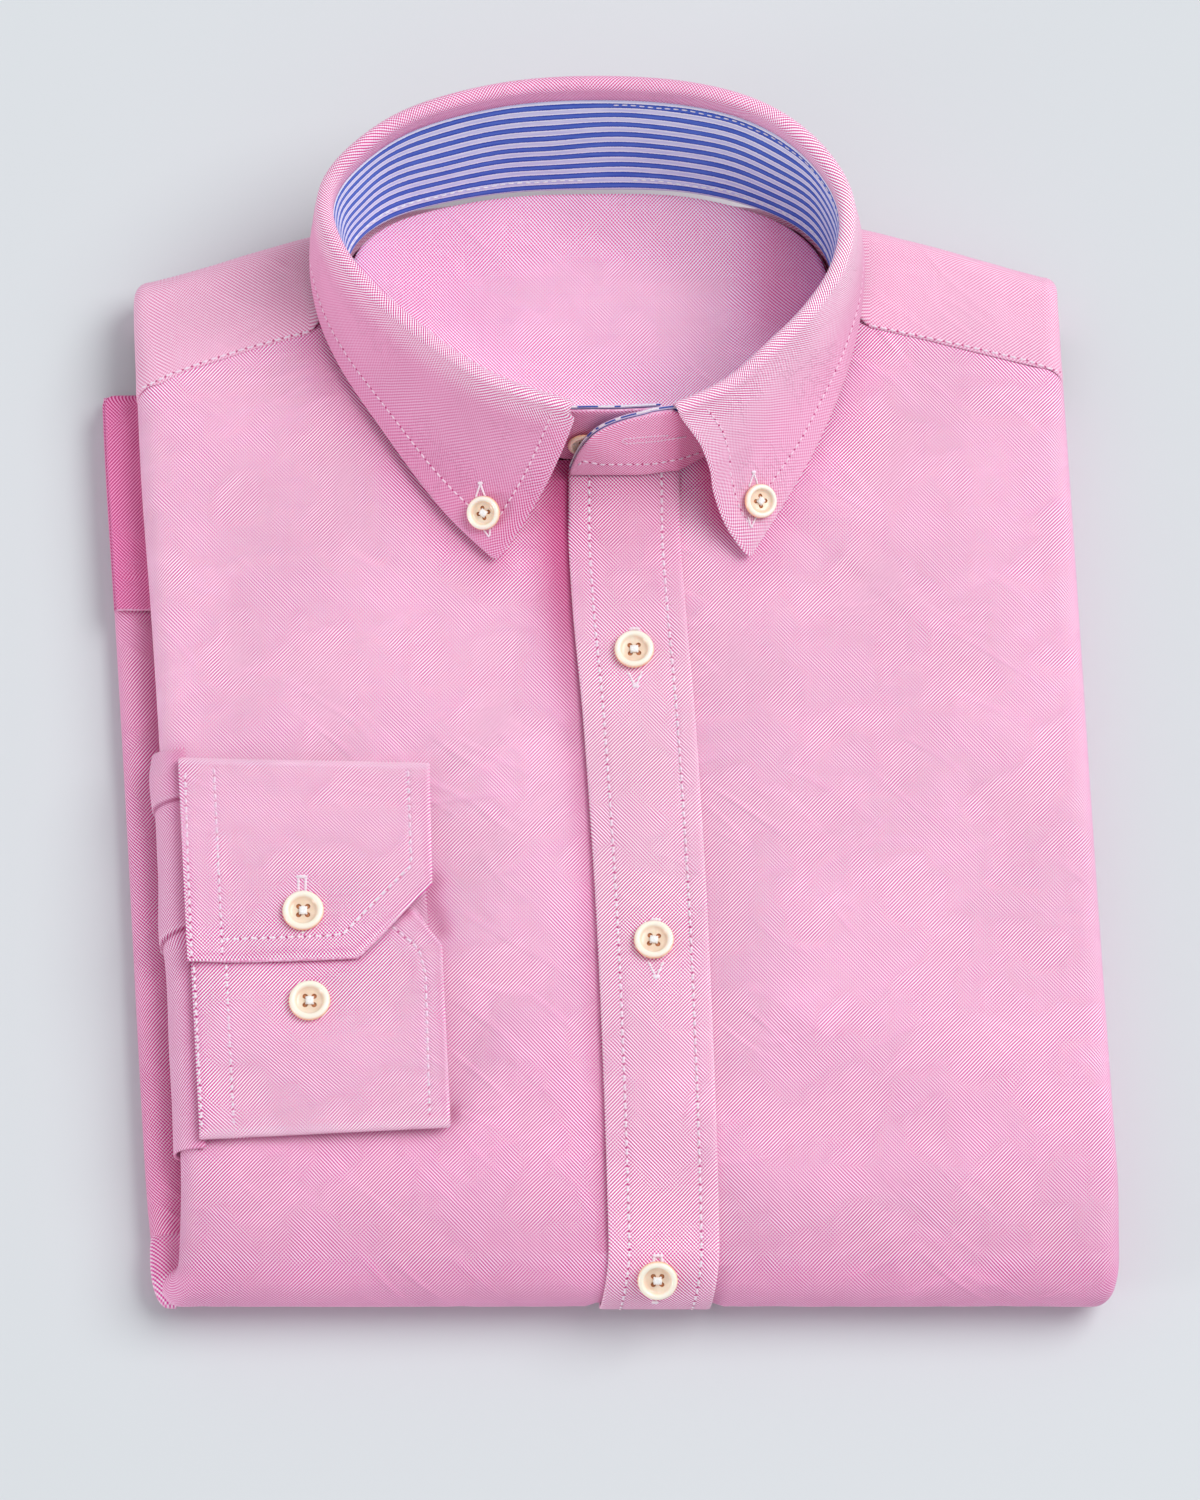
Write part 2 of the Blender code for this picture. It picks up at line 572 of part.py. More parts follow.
# ---------------------------------------------------------------- collar
def ring_normal(s):
    ax, ay = station(COLLAR["top_x"], s - 0.2), station(COLLAR["top_y"], s - 0.2)
    bx, by = station(COLLAR["top_x"], s + 0.2), station(COLLAR["top_y"], s + 0.2)
    dx, dy = bx - ax, by - ay
    d = math.hypot(dx, dy)
    return (-dy / d, dx / d)


STATIONS = [k * 2 / 3 for k in range(28)]


def stand_rows(offset, trim_low, trim_top):
    """The band's face `offset` outside its inner face, with the two ends run past each other at the front."""
    rows = []
    def row(low, top, normal, tall=1.0):
        nx, ny = normal
        a = Vector((low[0] + nx * offset, low[1] + ny * offset, low[2]))
        b = Vector((top[0] + nx * offset, top[1] + ny * offset, top[2]))
        up = (b - a).normalized()
        a2, b2 = a + up * trim_low, a + (b - a) * tall - up * trim_top
        if (b2 - a2).dot(up) < 1.5:
            b2 = a2 + up * 1.5
        rows.append([tuple(a2.lerp(b2, k / 3)) for k in range(4)])
    low0 = (COLLAR["low_x"][0], COLLAR["low_y"][0], COLLAR["low_z"][0])
    top0 = (COLLAR["top_x"][0], COLLAR["top_y"][0], COLLAR["top_z"][0])
    for x, dy in ((UNDERLAP_X[1], 1.5), (UNDERLAP_X[0], 0.8)):
        row((x, low0[1] + dy, low0[2]), (x, top0[1] + dy, top0[2] - 2.0), (0.0, -1.0))
    for s in STATIONS:
        low = tuple(station(COLLAR["low_" + k], s) for k in "xyz")
        top = tuple(station(COLLAR["top_" + k], s) for k in "xyz")
        n = ring_normal(min(17.8, max(0.2, s)))
        if s > 16.5:
            w = smooth((s - 16.5) / 1.5)
            n = Vector((lerp(n[0], 0.0, w), lerp(n[1], -1.0, w))).normalized()
        if s < 1.0:
            w = smooth(1.0 - s)
            n = Vector((lerp(n[0], 0.0, w), lerp(n[1], -1.0, w))).normalized()
        row(low, top, n)
    low18 = (COLLAR["low_x"][18], COLLAR["low_y"][18], COLLAR["low_z"][18])
    top18 = (COLLAR["top_x"][18], COLLAR["top_y"][18], COLLAR["top_z"][18])
    for x, tall in zip(OVERLAP["x"], OVERLAP["tall"]):
        back = 1.3 * smooth((22.5 - x) / 12.0)
        row((x, low18[1] - back, low18[2]), (x, top18[1] - back, top18[2] + 1.4), (0.0, -1.0), tall)
    return rows


loft("collar_stand", stand_rows(LINING_PLY + 0.45 + STAND_PLY, 0.0, 0.3), STAND_PLY, material("collar_stand_cloth", PINK, 0.8, sheen=0.2))
lining_rows = stand_rows(0.0, 0.4, 0.0)
loft("collar_stand_lining", lining_rows, LINING_PLY, material("collar_lining_cloth", (0.30, 0.38, 0.74), 0.78, sheen=0.2), flip=True)


def leaf_point(s, k):
    """Outer face of the collar leaf: k 0 is its seam on the stand, 1 to 6 the roll, 12 its free edge."""
    tx, ty, tz = (station(COLLAR["top_" + c], s) for c in "xyz")
    ex, ey, ez = (station(COLLAR["edge_" + c], s) for c in "xyz")
    rise = station(COLLAR["rise"], s)
    nx, ny = ring_normal(min(17.8, max(0.2, s)))
    zc = tz + rise + 0.4
    if k == 0:
        return Vector((tx, ty, tz + GAP))
    if k <= 6:
        a = math.radians(180 - 36 * (k - 1))
        return Vector((tx + nx * LEAF_ROLL * (1 + math.cos(a)), ty + ny * LEAF_ROLL * (1 + math.cos(a)), zc + LEAF_ROLL * math.sin(a)))
    top = Vector((tx + nx * 2 * LEAF_ROLL, ty + ny * 2 * LEAF_ROLL, zc))
    end = Vector((ex, ey, ez))
    away = math.hypot(ex - top.x, ey - top.y)
    bend = Vector((lerp(top.x, ex, 0.3) + nx * 1.6, lerp(top.y, ey, 0.3) + ny * 1.6, lerp(top.z, ez, 0.62)))
    if away > 14:
        bend.z = lerp(top.z, ez, 0.66)
    t = (k - 6) / 6
    return top * (1 - t) ** 2 + bend * (2 * t * (1 - t)) + end * t * t


LEAF_STATIONS = STATIONS
loft("collar_leaf", [[tuple(leaf_point(s, k)) for k in (0, 1, 2, 3.5, 5, 6, 7.5, 9, 10.5, 12)] for s in LEAF_STATIONS],
     COLLAR_PLY, material("collar_leaf_cloth", PINK, 0.78, sheen=0.2), flip=True)

# the yoke lining, seen through the neck: a shallow bowl from the stand's seam
rings = []
for ratio, fall in ((0.12, 0.0), (0.4, 0.02), (0.65, 0.12), (0.84, 0.42), (0.985, 1.0)):
    line = []
    for s in [k * 0.75 for k in range(25)] + [0.0]:
        x, y, z = (station(COLLAR["low_" + c], s) for c in "xyz")
        floor = NECK_FLOOR + 1.0 * smooth((y - 300.0) / 40.0)
        line.append((lerp(-3.0, x, ratio), lerp(297.0, y, ratio), lerp(floor, z - 0.3, fall)))
    rings.append(line)
bm = bmesh.new()
centre = bm.verts.new((-0.003, 0.297, NECK_FLOOR * 0.001))
verts = [[bm.verts.new((x * 0.001, y * 0.001, z * 0.001)) for x, y, z in line[:-1]] for line in rings]
n = len(verts[0])
for i in range(n):
    bm.faces.new((centre, verts[0][(i + 1) % n], verts[0][i]))
for a, b in zip(verts, verts[1:]):
    for i in range(n):
        bm.faces.new((a[i], a[(i + 1) % n], b[(i + 1) % n], b[i]))
bowl = place("yoke_lining", finish_mesh(bm, "yoke_lining"), material("yoke_lining_cloth", (0.72, 0.30, 0.52), 0.84, sheen=0.2))
shell = bowl.modifiers.new("cloth", "SOLIDIFY")
shell.thickness, shell.offset = 0.001, -1.0


# ---------------------------------------------------------------- right sleeve beside the cuff, the fold above it, and the cuff
def lay_z(x, y):
    return front_z(x, y)


rows = []
for y, left in zip(SLEEVE["y"], SLEEVE["left"]):
    a_left, r = upper(y, "left"), side_radius(y)
    top = upper(y, "edge") + GAP + CLOTH + 0.4
    zc = upper(y, "edge") - r
    rx, rz = (a_left + r) - left, top - zc
    cuff_left = curve(CUFF_OVER if y > 98 else CUFF_UNDER, "y", y, "left") - 0.8
    last = math.degrees(math.acos((a_left + r - (cuff_left - 1.5)) / rx)) if a_left + r > cuff_left - 1.5 else 88.0
    line = []
    for k in range(7):
        a = math.radians(lerp(-38.0, last, k / 6))
        line.append((a_left + r - rx * math.cos(a), y, zc + rz * math.sin(a)))
    line.append((cuff_left, y, line[-1][2] + 0.15))
    rows.append(line)
loft("right_sleeve", rows, CLOTH, material("sleeve_cloth", PINK, 0.82, sheen=0.2))

rows = []
for y, inset in ((213.0, 0.6), (216.0, 0.0), (230.0, 0.0), (245.0, 0.0), (260.0, 0.0), (272.0, 0.0), (277.0, 1.0), (279.5, 3.2)):
    outer, inner = lower(y, "left") + inset, upper(y, "left") + 1.2
    top = upper(y, "mid") - 0.35 + GAP + 2.2
    rows.append([(outer, y, top - 1.6), (outer + 0.5, y, top - 0.5), (outer + 1.6, y, top), (lerp(outer + 1.6, inner, 0.5), y, top), (inner, y, top)])
loft("right_sleeve_fold", rows, 1.9, material("sleeve_fold_cloth", (0.76, 0.32, 0.56), 0.82, sheen=0.2))


def tilted(x, y, z):
    return (x, y, z - CUFF_TILT * (1 - smooth((x + 120.0) / 75.0)))


def cuff_rows(table, fold_y, fold_in):
    """A cuff end laid flat: rows up the cuff from its free edge, turned under at its fold."""
    rows = []
    order = range(len(table["y"])) if fold_y > table["y"][0] else range(len(table["y"]) - 1, -1, -1)
    for k in order:
        y, left, right, z, rise = (table[c][k] for c in ("y", "left", "right", "z", "rise"))
        rows.append([tilted(lerp(left, right, f), y + rise * f, z) for f in (0.0, 0.04, 0.35, 0.65, 0.96, 1.0)])
    last = order[-1]
    y, left, right, z, rise = (table[c][last] for c in ("y", "left", "right", "z", "rise"))
    half = (z - CUFF_BOTTOM) / 2
    way = 1 if fold_y > table["y"][0] else -1
    for a in (30, 60, 90, 120, 150, 180):
        b = math.radians(a)
        rows.append([tilted(lerp(left, right, f), y + rise * f + way * fold_in * math.sin(b), z - half + half * math.cos(b)) for f in (0.0, 0.04, 0.35, 0.65, 0.96, 1.0)])
    return rows


cuff_cloth = material("cuff_cloth", PINK, 0.78, sheen=0.2)
loft("cuff_overlap", cuff_rows(CUFF_OVER, 160.0, 2.5), CUFF_PLY, cuff_cloth, flip=False)
loft("cuff_underlap", cuff_rows(CUFF_UNDER, 48.0, 2.5), CUFF_PLY, material("cuff_underlap_cloth", PINK, 0.78, sheen=0.2), flip=True)
rows = []
for y, rise in ((51.4, 3.4), (80.0, 1.7), (110.0, 0.0), (140.0, -0.5), (157.2, -1.4)):
    left = curve(CUFF_OVER, "y", y, "left") if y > 100 else curve(CUFF_UNDER, "y", y, "left")
    right = lerp(-45.4, -51.6, (y - 51.0) / 106.0)
    rows.append([tilted(lerp(left + 0.8, right, f), y + rise * f, CUFF_BOTTOM + CUFF_PLY) for f in (0.0, 0.35, 0.65, 1.0)])
loft("cuff_back_half", rows, CUFF_PLY, material("cuff_back_cloth", (0.74, 0.30, 0.54), 0.8, sheen=0.2), flip=False)

# ---------------------------------------------------------------- buttons: a rounded rim and a dished middle, turned from one profile
BUTTON = {
    "radius": (0.0, 0.46, 0.58, 0.74, 0.92, 1.00, 0.94, 0.78, 0.0),
    "height": (0.45, 0.48, 0.88, 1.00, 0.90, 0.52, 0.15, 0.0, 0.0),
}
BUTTON_THICK = 2.3


def button(name, diameter, at, normal, mat, thick=BUTTON_THICK):
    bm = bmesh.new()
    line = [bm.verts.new((r * diameter / 2000.0, 0.0, h * thick * 0.001)) for r, h in zip(BUTTON["radius"], BUTTON["height"])]
    for a, b in zip(line, line[1:]):
        bm.edges.new((a, b))
    mesh = bpy.data.meshes.new(name)
    bm.to_mesh(mesh)
    bm.free()
    obj = place(name, mesh, mat)
    turn = obj.modifiers.new("turn", "SCREW")
    turn.steps = turn.render_steps = 14
    turn.use_merge_vertices = True
    turn.merge_threshold = 0.00001
    obj.location = (at[0] * 0.001, at[1] * 0.001, at[2] * 0.001)
    obj.rotation_mode = "QUATERNION"
    obj.rotation_quaternion = Vector(normal).normalized().to_track_quat("Z", "Y")
    return obj


pearl = [material(f"button_{k}", (0.86, 0.74, 0.62), 0.3) for k in range(8)]
for k, (x, y) in enumerate(((9.8, 193.6), (15.3, 105.8))):
    button(f"front_button_{k + 1}", FRONT_BUTTON_D, (x, y, front_z(x, y) + BAND_RISE + GAP), (0, 0, 1), pearl[k])
tilt = math.radians(35)
rho = ROLL_R + BAND_RISE + 0.9
button("front_button_3", FRONT_BUTTON_D, (16.2, ROLL_Y - rho * math.sin(tilt), ROLL_R + rho * math.cos(tilt)),
       (0, -math.sin(tilt), math.cos(tilt)), pearl[2])


def on_leaf(x, y):
    """Point and normal of the leaf over (x, y)."""
    best = None
    for i in range(0, 181):
        s = i * 0.1
        if (x < 0) != (s < 9):
            continue
        for j in range(0, 61):
            p = leaf_point(s, 6 + j * 0.1)
            d = (p.x - x) ** 2 + (p.y - y) ** 2
            if best is None or d < best[0]:
                best = (d, s, 6 + j * 0.1, p)
    _, s, k, p = best
    a = leaf_point(min(18, s + 0.3), k) - leaf_point(max(0, s - 0.3), k)
    b = leaf_point(s, min(12, k + 0.4)) - leaf_point(s, max(6, k - 0.4))
    n = a.cross(b).normalized()
    return p, (n if n.z > 0 else -n)


for k, (x, y) in enumerate(((-34.3, 234.6), (44.6, 237.2))):
    p, n = on_leaf(x, y)
    button(f"collar_button_{k + 1}", COLLAR_BUTTON_D, tuple(p + n * 0.9), tuple(n), pearl[3 + k])
button("cuff_button_1", CUFF_BUTTON_D, tilted(-84.2, 113.6, 31.7 + GAP), (-0.018, 0, 1), pearl[5])
button("cuff_button_2", CUFF_BUTTON_D, tilted(-82.2, 87.2, 30.0 + GAP), (-0.018, 0, 1), pearl[6])
button("stand_button", COLLAR_BUTTON_D, (-4.4, 253.3, 38.6), (0.0, -0.965, 0.26), pearl[7], 1.5)
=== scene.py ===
"""The look of a folded long-sleeved dress shirt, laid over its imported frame.

Tables are in millimetres, measured as in the part's source: X across the shirt, Y from the bottom fold to the collar,
Z up from the surface it lies on. Every cloth piece is made from its outer face and thickened inwards.
"""

import math
import random

import bmesh
import bpy
from mathutils import Matrix, Vector, noise
from mathutils.bvhtree import BVHTree


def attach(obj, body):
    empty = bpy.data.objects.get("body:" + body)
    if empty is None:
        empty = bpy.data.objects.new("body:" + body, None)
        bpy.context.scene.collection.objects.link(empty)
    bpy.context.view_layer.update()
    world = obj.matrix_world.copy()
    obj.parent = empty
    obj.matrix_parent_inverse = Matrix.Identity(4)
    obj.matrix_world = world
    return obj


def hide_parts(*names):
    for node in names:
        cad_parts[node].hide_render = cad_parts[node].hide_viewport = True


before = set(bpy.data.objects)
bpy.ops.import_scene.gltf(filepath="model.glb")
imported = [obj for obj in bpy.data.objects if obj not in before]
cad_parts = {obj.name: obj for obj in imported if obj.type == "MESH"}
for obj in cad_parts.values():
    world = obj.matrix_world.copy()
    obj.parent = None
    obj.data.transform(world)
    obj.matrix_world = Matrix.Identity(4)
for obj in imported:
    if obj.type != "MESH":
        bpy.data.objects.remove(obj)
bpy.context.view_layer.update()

random.seed(7)
MM = 0.001

# ---------------------------------------------------------------- sizes (mm), as in the part's source
GAP = 0.3
CENTRE_Y, CENTRE_X = 179.77, 1.14
ROLL_Y, ROLL_R = 14.8, 12.25
SHOULDER_R = 10.0
TUCKED = 3.2
BAND_RISE = 1.8
PLACKET_UNDER_RIGHT, PLACKET_UNDER_LEFT = 8.0, 14.0
ROLL_SHIFT = 2.6
LOWER_END = 275.0
NECK_FLOOR = 15.6
YOKE_BACK = 302.0
CUFF_BOTTOM, CUFF_TILT = 26.9, 1.4
FRONT_BUTTON_D, COLLAR_BUTTON_D, CUFF_BUTTON_D = 11.4, 9.9, 11.9
CLOTH = 0.7          # shirting with its hidden ply
LEAF_ROLL = 2.4
# upper packet: its side folds, the height of its middle and of its edges, and the plane between the packets
UPPER = {
    "y":      (0.0, 14.8, 31.6, 61.0, 110.0, 166.0, 208.0, 250.0, 277.0, 305.0, 345.0),
    "left":   (-119.2, -118.7, -118.4, -119.5, -122.6, -126.0, -129.0, -132.4, -133.9, -135.2, -136.0),
    "right":  (146.3, 146.4, 146.5, 145.1, 142.5, 139.7, 137.7, 135.6, 134.2, 132.8, 131.0),
    "crown":  (24.5, 24.5, 25.1, 25.8, 26.5, 26.8, 27.0, 27.2, 26.6, 25.6, 24.0),
    "edge":   (24.5, 24.5, 24.3, 24.2, 24.0, 24.0, 24.0, 23.9, 23.8, 23.6, 23.0),
    "mid":    (12.25, 12.25, 12.0, 11.6, 10.9, 10.3, 9.8, 9.5, 9.3, 9.3, 9.3),
}
# lower packet: the tail folded up behind
LOWER = {
    "y":     (0.0, 14.8, 36.0, 84.0, 144.0, 213.0, 255.0, 290.0),
    "left":  (-126.4, -126.6, -128.5, -131.7, -135.4, -140.0, -143.0, -145.0),
    "right": (144.0, 144.0, 142.5, 140.0, 137.0, 133.0, 131.0, 129.5),
}
PLACKET = {
    "y":     (0.0, 14.8, 29.4, 104.0, 173.5, 210.0, 231.6, 251.0),
    "left":  (2.4, 2.4, 2.1, -0.6, -4.9, -8.1, -9.1, -9.1),
    "right": (33.6, 33.6, 33.4, 31.0, 27.2, 24.3, 23.0, 22.9),
}
# yoke: its seam on the fronts, the outermost line of the shoulder roll, and where it starts behind the neck
SEAM = {
    "x": (-140.0, -133.5, -124.0, -110.0, -96.0, -81.0, -68.0, 64.0, 75.0, 93.5, 108.4, 123.3, 130.7, 136.0),
    "y": (270.0, 273.6, 279.6, 284.4, 289.1, 293.4, 297.5, 298.0, 295.1, 290.8, 287.0, 283.3, 281.2, 278.5),
}
SHOULDER = {
    "x": (-136.0, -125.0, -110.0, -96.0, -83.0, -50.0, -3.0, 45.0, 76.0, 94.0, 109.0, 124.0, 134.0),
    "y": (311.0, 315.5, 320.4, 325.1, 329.0, 337.5, 341.5, 337.5, 331.0, 326.2, 321.8, 317.0, 313.0),
}
YOKE_START = {
    "x": (-84.0, -79.0, -75.0, -71.0, -64.0, -52.0, -28.0, -2.0, 24.0, 45.0, 58.0, 65.0, 69.0, 73.0, 78.0),
    "y": (292.4, 300.0, 312.0, 320.0, 326.5, 332.5, 337.0, 338.5, 337.0, 332.5, 326.5, 318.0, 310.0, 300.0, 294.3),
}
# collar, clockwise from its front left end: the inner face of the stand at the seam and at the top, and the leaf's edge
COLLAR = {
    "low_x":  (-9.5, -27.5, -45.0, -61.0, -70.0, -73.0, -68.0, -54.0, -29.0, -2.0, 24.5, 46.0, 60.0, 66.5, 64.5, 56.5, 45.0, 33.5, 22.5),
    "low_y":  (254.1, 258.5, 268.5, 284.0, 298.0, 312.0, 323.0, 331.5, 337.5, 339.0, 338.0, 332.0, 323.0, 311.0, 296.0, 282.0, 268.0, 257.5, 250.4),
    "low_z":  (29.4, 29.4, 28.9, 27.9, 27.3, 26.4, 24.6, 22.6, 21.0, 20.6, 21.0, 22.6, 24.6, 26.4, 27.3, 27.9, 28.9, 29.4, 29.6),
    "top_x":  (-9.5, -28.6, -46.7, -64.9, -74.4, -76.5, -69.4, -53.3, -28.3, -2.0, 25.0, 45.6, 60.3, 68.4, 67.0, 58.8, 46.8, 34.9, 22.5),
    "top_y":  (259.4, 266.7, 279.2, 296.2, 309.8, 322.6, 334.0, 345.0, 352.0, 354.0, 352.4, 346.6, 335.6, 321.0, 304.0, 289.4, 276.5, 265.2, 258.2),
    "top_z":  (54.0, 53.0, 52.0, 51.0, 50.5, 50.5, 51.0, 52.0, 52.8, 53.0, 52.8, 52.0, 51.0, 50.5, 50.5, 51.0, 52.0, 53.5, 56.0),
    "rise":   (2.0, 3.0, 4.0, 4.6, 5.0, 5.2, 5.4, 5.6, 5.8, 6.0, 5.8, 5.6, 5.4, 5.2, 5.0, 4.6, 4.0, 3.0, 1.0),
    "edge_x": (-31.5, -45.0, -62.0, -75.8, -82.4, -83.8, -77.0, -59.0, -31.0, -2.5, 27.0, 50.0, 68.0, 76.0, 76.2, 72.8, 65.5, 56.0, 43.7),
    "edge_y": (220.2, 235.0, 259.5, 281.5, 299.0, 318.0, 334.0, 342.5, 347.0, 348.5, 347.5, 342.5, 335.0, 320.0, 302.0, 283.0, 262.5, 243.0, 221.0),
    "edge_z": (29.6, 29.7, 29.6, 28.8, 28.3, 27.3, 23.5, 19.0, 17.2, 16.6, 17.2, 19.0, 23.0, 26.8, 28.3, 28.8, 29.6, 29.7, 29.6),
}
# wearer's left end of the stand, folded over the other end: how tall the band is there
OVERLAP = {
    "x":    (14.9, 8.9, 2.6, -1.8, -4.8, -7.0, -8.6),
    "tall": (1.0, 0.93, 0.81, 0.67, 0.5, 0.3, 0.1),
}
UNDERLAP_X = (2.0, 17.0)
# cuff: outlines of the two ends, row by row up the cuff
CUFF_OVER = {
    "y":     (99.9, 101.5, 112.0, 123.7, 131.4, 145.0, 157.6),
    "left":  (-117.2, -117.2, -117.5, -118.2, -118.7, -119.4, -120.3),
    "right": (-84.0, -70.2, -60.2, -48.4, -48.0, -48.6, -49.1),
    "z":     (31.7, 31.7, 31.7, 31.5, 31.2, 30.6, 30.1),
    "rise":  (0.6, 0.0, 0.0, 0.0, 0.0, -0.6, -1.4),
}
CUFF_UNDER = {
    "y":     (51.0, 64.0, 80.0, 93.5, 107.9, 116.0),
    "left":  (-113.0, -113.8, -114.8, -115.6, -116.4, -116.8),
    "right": (-42.7, -43.4, -44.2, -44.8, -46.7, -53.7),
    "z":     (30.0, 30.0, 30.0, 30.0, 30.0, 30.0),
    "rise":  (3.4, 2.7, 1.7, 0.8, 0.0, 0.0),
}
# sleeve beside the cuff: it comes out between the packets and turns over the side fold
SLEEVE = {
    "y":    (44.9, 48.0, 64.0, 98.7, 115.0, 146.4, 160.0, 165.0),
    "left": (-120.7, -120.9, -121.7, -123.6, -125.2, -127.2, -128.6, -128.2),
}


def lerp(a, b, t):
    return a + (b - a) * t


def smooth(t):
    t = min(1.0, max(0.0, t))
    return t * t * (3 - 2 * t)


def curve(table, key, at, value):
    """The column `value` at `at`, through the rows of the column `key`, as a smooth line."""
    xs, ys = table[key], table[value]
    if xs[0] > xs[-1]:
        xs, ys = xs[::-1], ys[::-1]
    n = len(xs)
    if at <= xs[0]:
        return ys[0]
    if at >= xs[-1]:
        return ys[-1]
    i = max(k for k in range(n - 1) if xs[k] <= at)
    def slope(k):
        if k == 0:
            return (ys[1] - ys[0]) / (xs[1] - xs[0])
        if k == n - 1:
            return (ys[-1] - ys[-2]) / (xs[-1] - xs[-2])
        a = (ys[k] - ys[k - 1]) / (xs[k] - xs[k - 1])
        b = (ys[k + 1] - ys[k]) / (xs[k + 1] - xs[k])
        return 0.0 if a * b <= 0 else 2 * a * b / (a + b)
    h = xs[i + 1] - xs[i]
    t = (at - xs[i]) / h
    return ((2 * t**3 - 3 * t**2 + 1) * ys[i] + (t**3 - 2 * t**2 + t) * h * slope(i)
            + (-2 * t**3 + 3 * t**2) * ys[i + 1] + (t**3 - t**2) * h * slope(i + 1))


def station(values, s):
    """A value between the numbered rows of the collar table (Catmull-Rom)."""
    n = len(values)
    i = min(n - 2, max(0, int(math.floor(s))))
    t = s - i
    p0, p1, p2, p3 = (values[max(0, i - 1)], values[i], values[i + 1], values[min(n - 1, i + 2)])
    return 0.5 * (2 * p1 + (p2 - p0) * t + (2 * p0 - 5 * p1 + 4 * p2 - p3) * t * t + (3 * p1 - p0 - 3 * p2 + p3) * t**3)


def upper(y, value):
    return curve(UPPER, "y", y, value)


def lower(y, value):
    return curve(LOWER, "y", y, value)


def front_z(x, y):
    """The outer face of the fronts."""
    left, right = upper(y, "left"), upper(y, "right")
    u = (x - (left + right) / 2) / ((right - left) / 2 - 6)
    u = min(1.0, abs(u))
    return upper(y, "edge") + (upper(y, "crown") - upper(y, "edge")) * (1 - u**2.6)


def side_radius(y):
    return (upper(y, "edge") - upper(y, "mid") - 0.35) / 2


def lower_radius(y):
    return (upper(y, "mid") - 0.35) / 2



# ---------------------------------------------------------------- camera: the photo's own view, 70 degrees above the table
def W(p):
    """Table millimetres to scene metres."""
    return Vector(((p[0] - CENTRE_X) * MM, (p[1] - CENTRE_Y) * MM, p[2] * MM))


CAM_UP = math.radians(70.0)
CAM_FAR = 3.5714
CAM_AT = W((0.0, 165.0, 24.0))
camera = bpy.data.objects.new("camera", bpy.data.cameras.new("camera"))
camera.data.lens, camera.data.sensor_width = 300.0, 36.0
camera.data.clip_start, camera.data.clip_end = 0.1, 30.0
camera.location = CAM_AT + Vector((0.0, -math.cos(CAM_UP), math.sin(CAM_UP))) * CAM_FAR
camera.rotation_euler = (math.pi / 2 - CAM_UP, 0.0, 0.0)
bpy.context.scene.collection.objects.link(camera)
bpy.context.scene.camera = camera


def photo_ray(px, py):
    """Origin and direction of the line of sight through a point of the 1200 x 1500 frame."""
    f = 300.0 / 36.0 * 1500.0
    d = Vector(((px - 600.0) / f, (750.0 - py) / f, -1.0)).normalized()
    d.rotate(camera.rotation_euler)
    return camera.location.copy(), d


def spot(px, py, z):
    """The point at height z (mm) seen at a pixel of the photo, in table millimetres."""
    origin, ray = photo_ray(px, py)
    t = (z * MM - origin.z) / ray.z
    p = origin + ray * t
    return (p.x / MM + CENTRE_X, p.y / MM + CENTRE_Y)


# ---------------------------------------------------------------- materials
def node(tree, kind, at=None, **settings):
    made = tree.nodes.new(kind)
    for key, value in settings.items():
        setattr(made, key, value)
    return made


def join(tree, a, b):
    tree.links.new(a, b)


def maths(tree, operation, a, b=None, c=None, clamp=False):
    made = node(tree, "ShaderNodeMath", operation=operation, use_clamp=clamp)
    for socket, value in zip(made.inputs, (a, b, c)):
        if value is None:
            continue
        if isinstance(value, (int, float)):
            socket.default_value = value
        else:
            join(tree, value, socket)
    return made.outputs[0]


def smoothed(tree, value, low, high, to_low=0.0, to_high=1.0):
    made = node(tree, "ShaderNodeMapRange", interpolation_type="SMOOTHSTEP")
    join(tree, value, made.inputs["Value"])
    for key, v in (("From Min", low), ("From Max", high), ("To Min", to_low), ("To Max", to_high)):
        made.inputs[key].default_value = v
    return made.outputs["Result"]


def blend_colours(tree, factor, a, b):
    made = node(tree, "ShaderNodeMix", data_type="RGBA")
    if isinstance(factor, (int, float)):
        made.inputs[0].default_value = factor
    else:
        join(tree, factor, made.inputs[0])
    for socket, value in ((made.inputs[6], a), (made.inputs[7], b)):
        if isinstance(value, tuple):
            socket.default_value = (*value, 1.0)
        else:
            join(tree, value, socket)
    return made.outputs[2]


def noise_of(tree, vector, scale, detail=2.0, rough=0.5, dims="3D"):
    made = node(tree, "ShaderNodeTexNoise", noise_dimensions=dims)
    join(tree, vector, made.inputs["Vector"])
    made.inputs["Scale"].default_value = scale
    made.inputs["Detail"].default_value = detail
    made.inputs["Roughness"].default_value = rough
    return made.outputs["Fac"]


def stretched(tree, vector, x, y, z=1.0):
    made = node(tree, "ShaderNodeVectorMath", operation="MULTIPLY")
    join(tree, vector, made.inputs[0])
    made.inputs[1].default_value = (x, y, z)
    return made.outputs[0]


def new_material(name):
    made = bpy.data.materials.new(name)
    made.use_nodes = True
    return made, made.node_tree, made.node_tree.nodes["Principled BSDF"]


DEEP = (0.715, 0.028, 0.325)      # the coloured yarn
PALE = (1.000, 0.925, 0.990)      # the white yarn, tinted by its neighbours


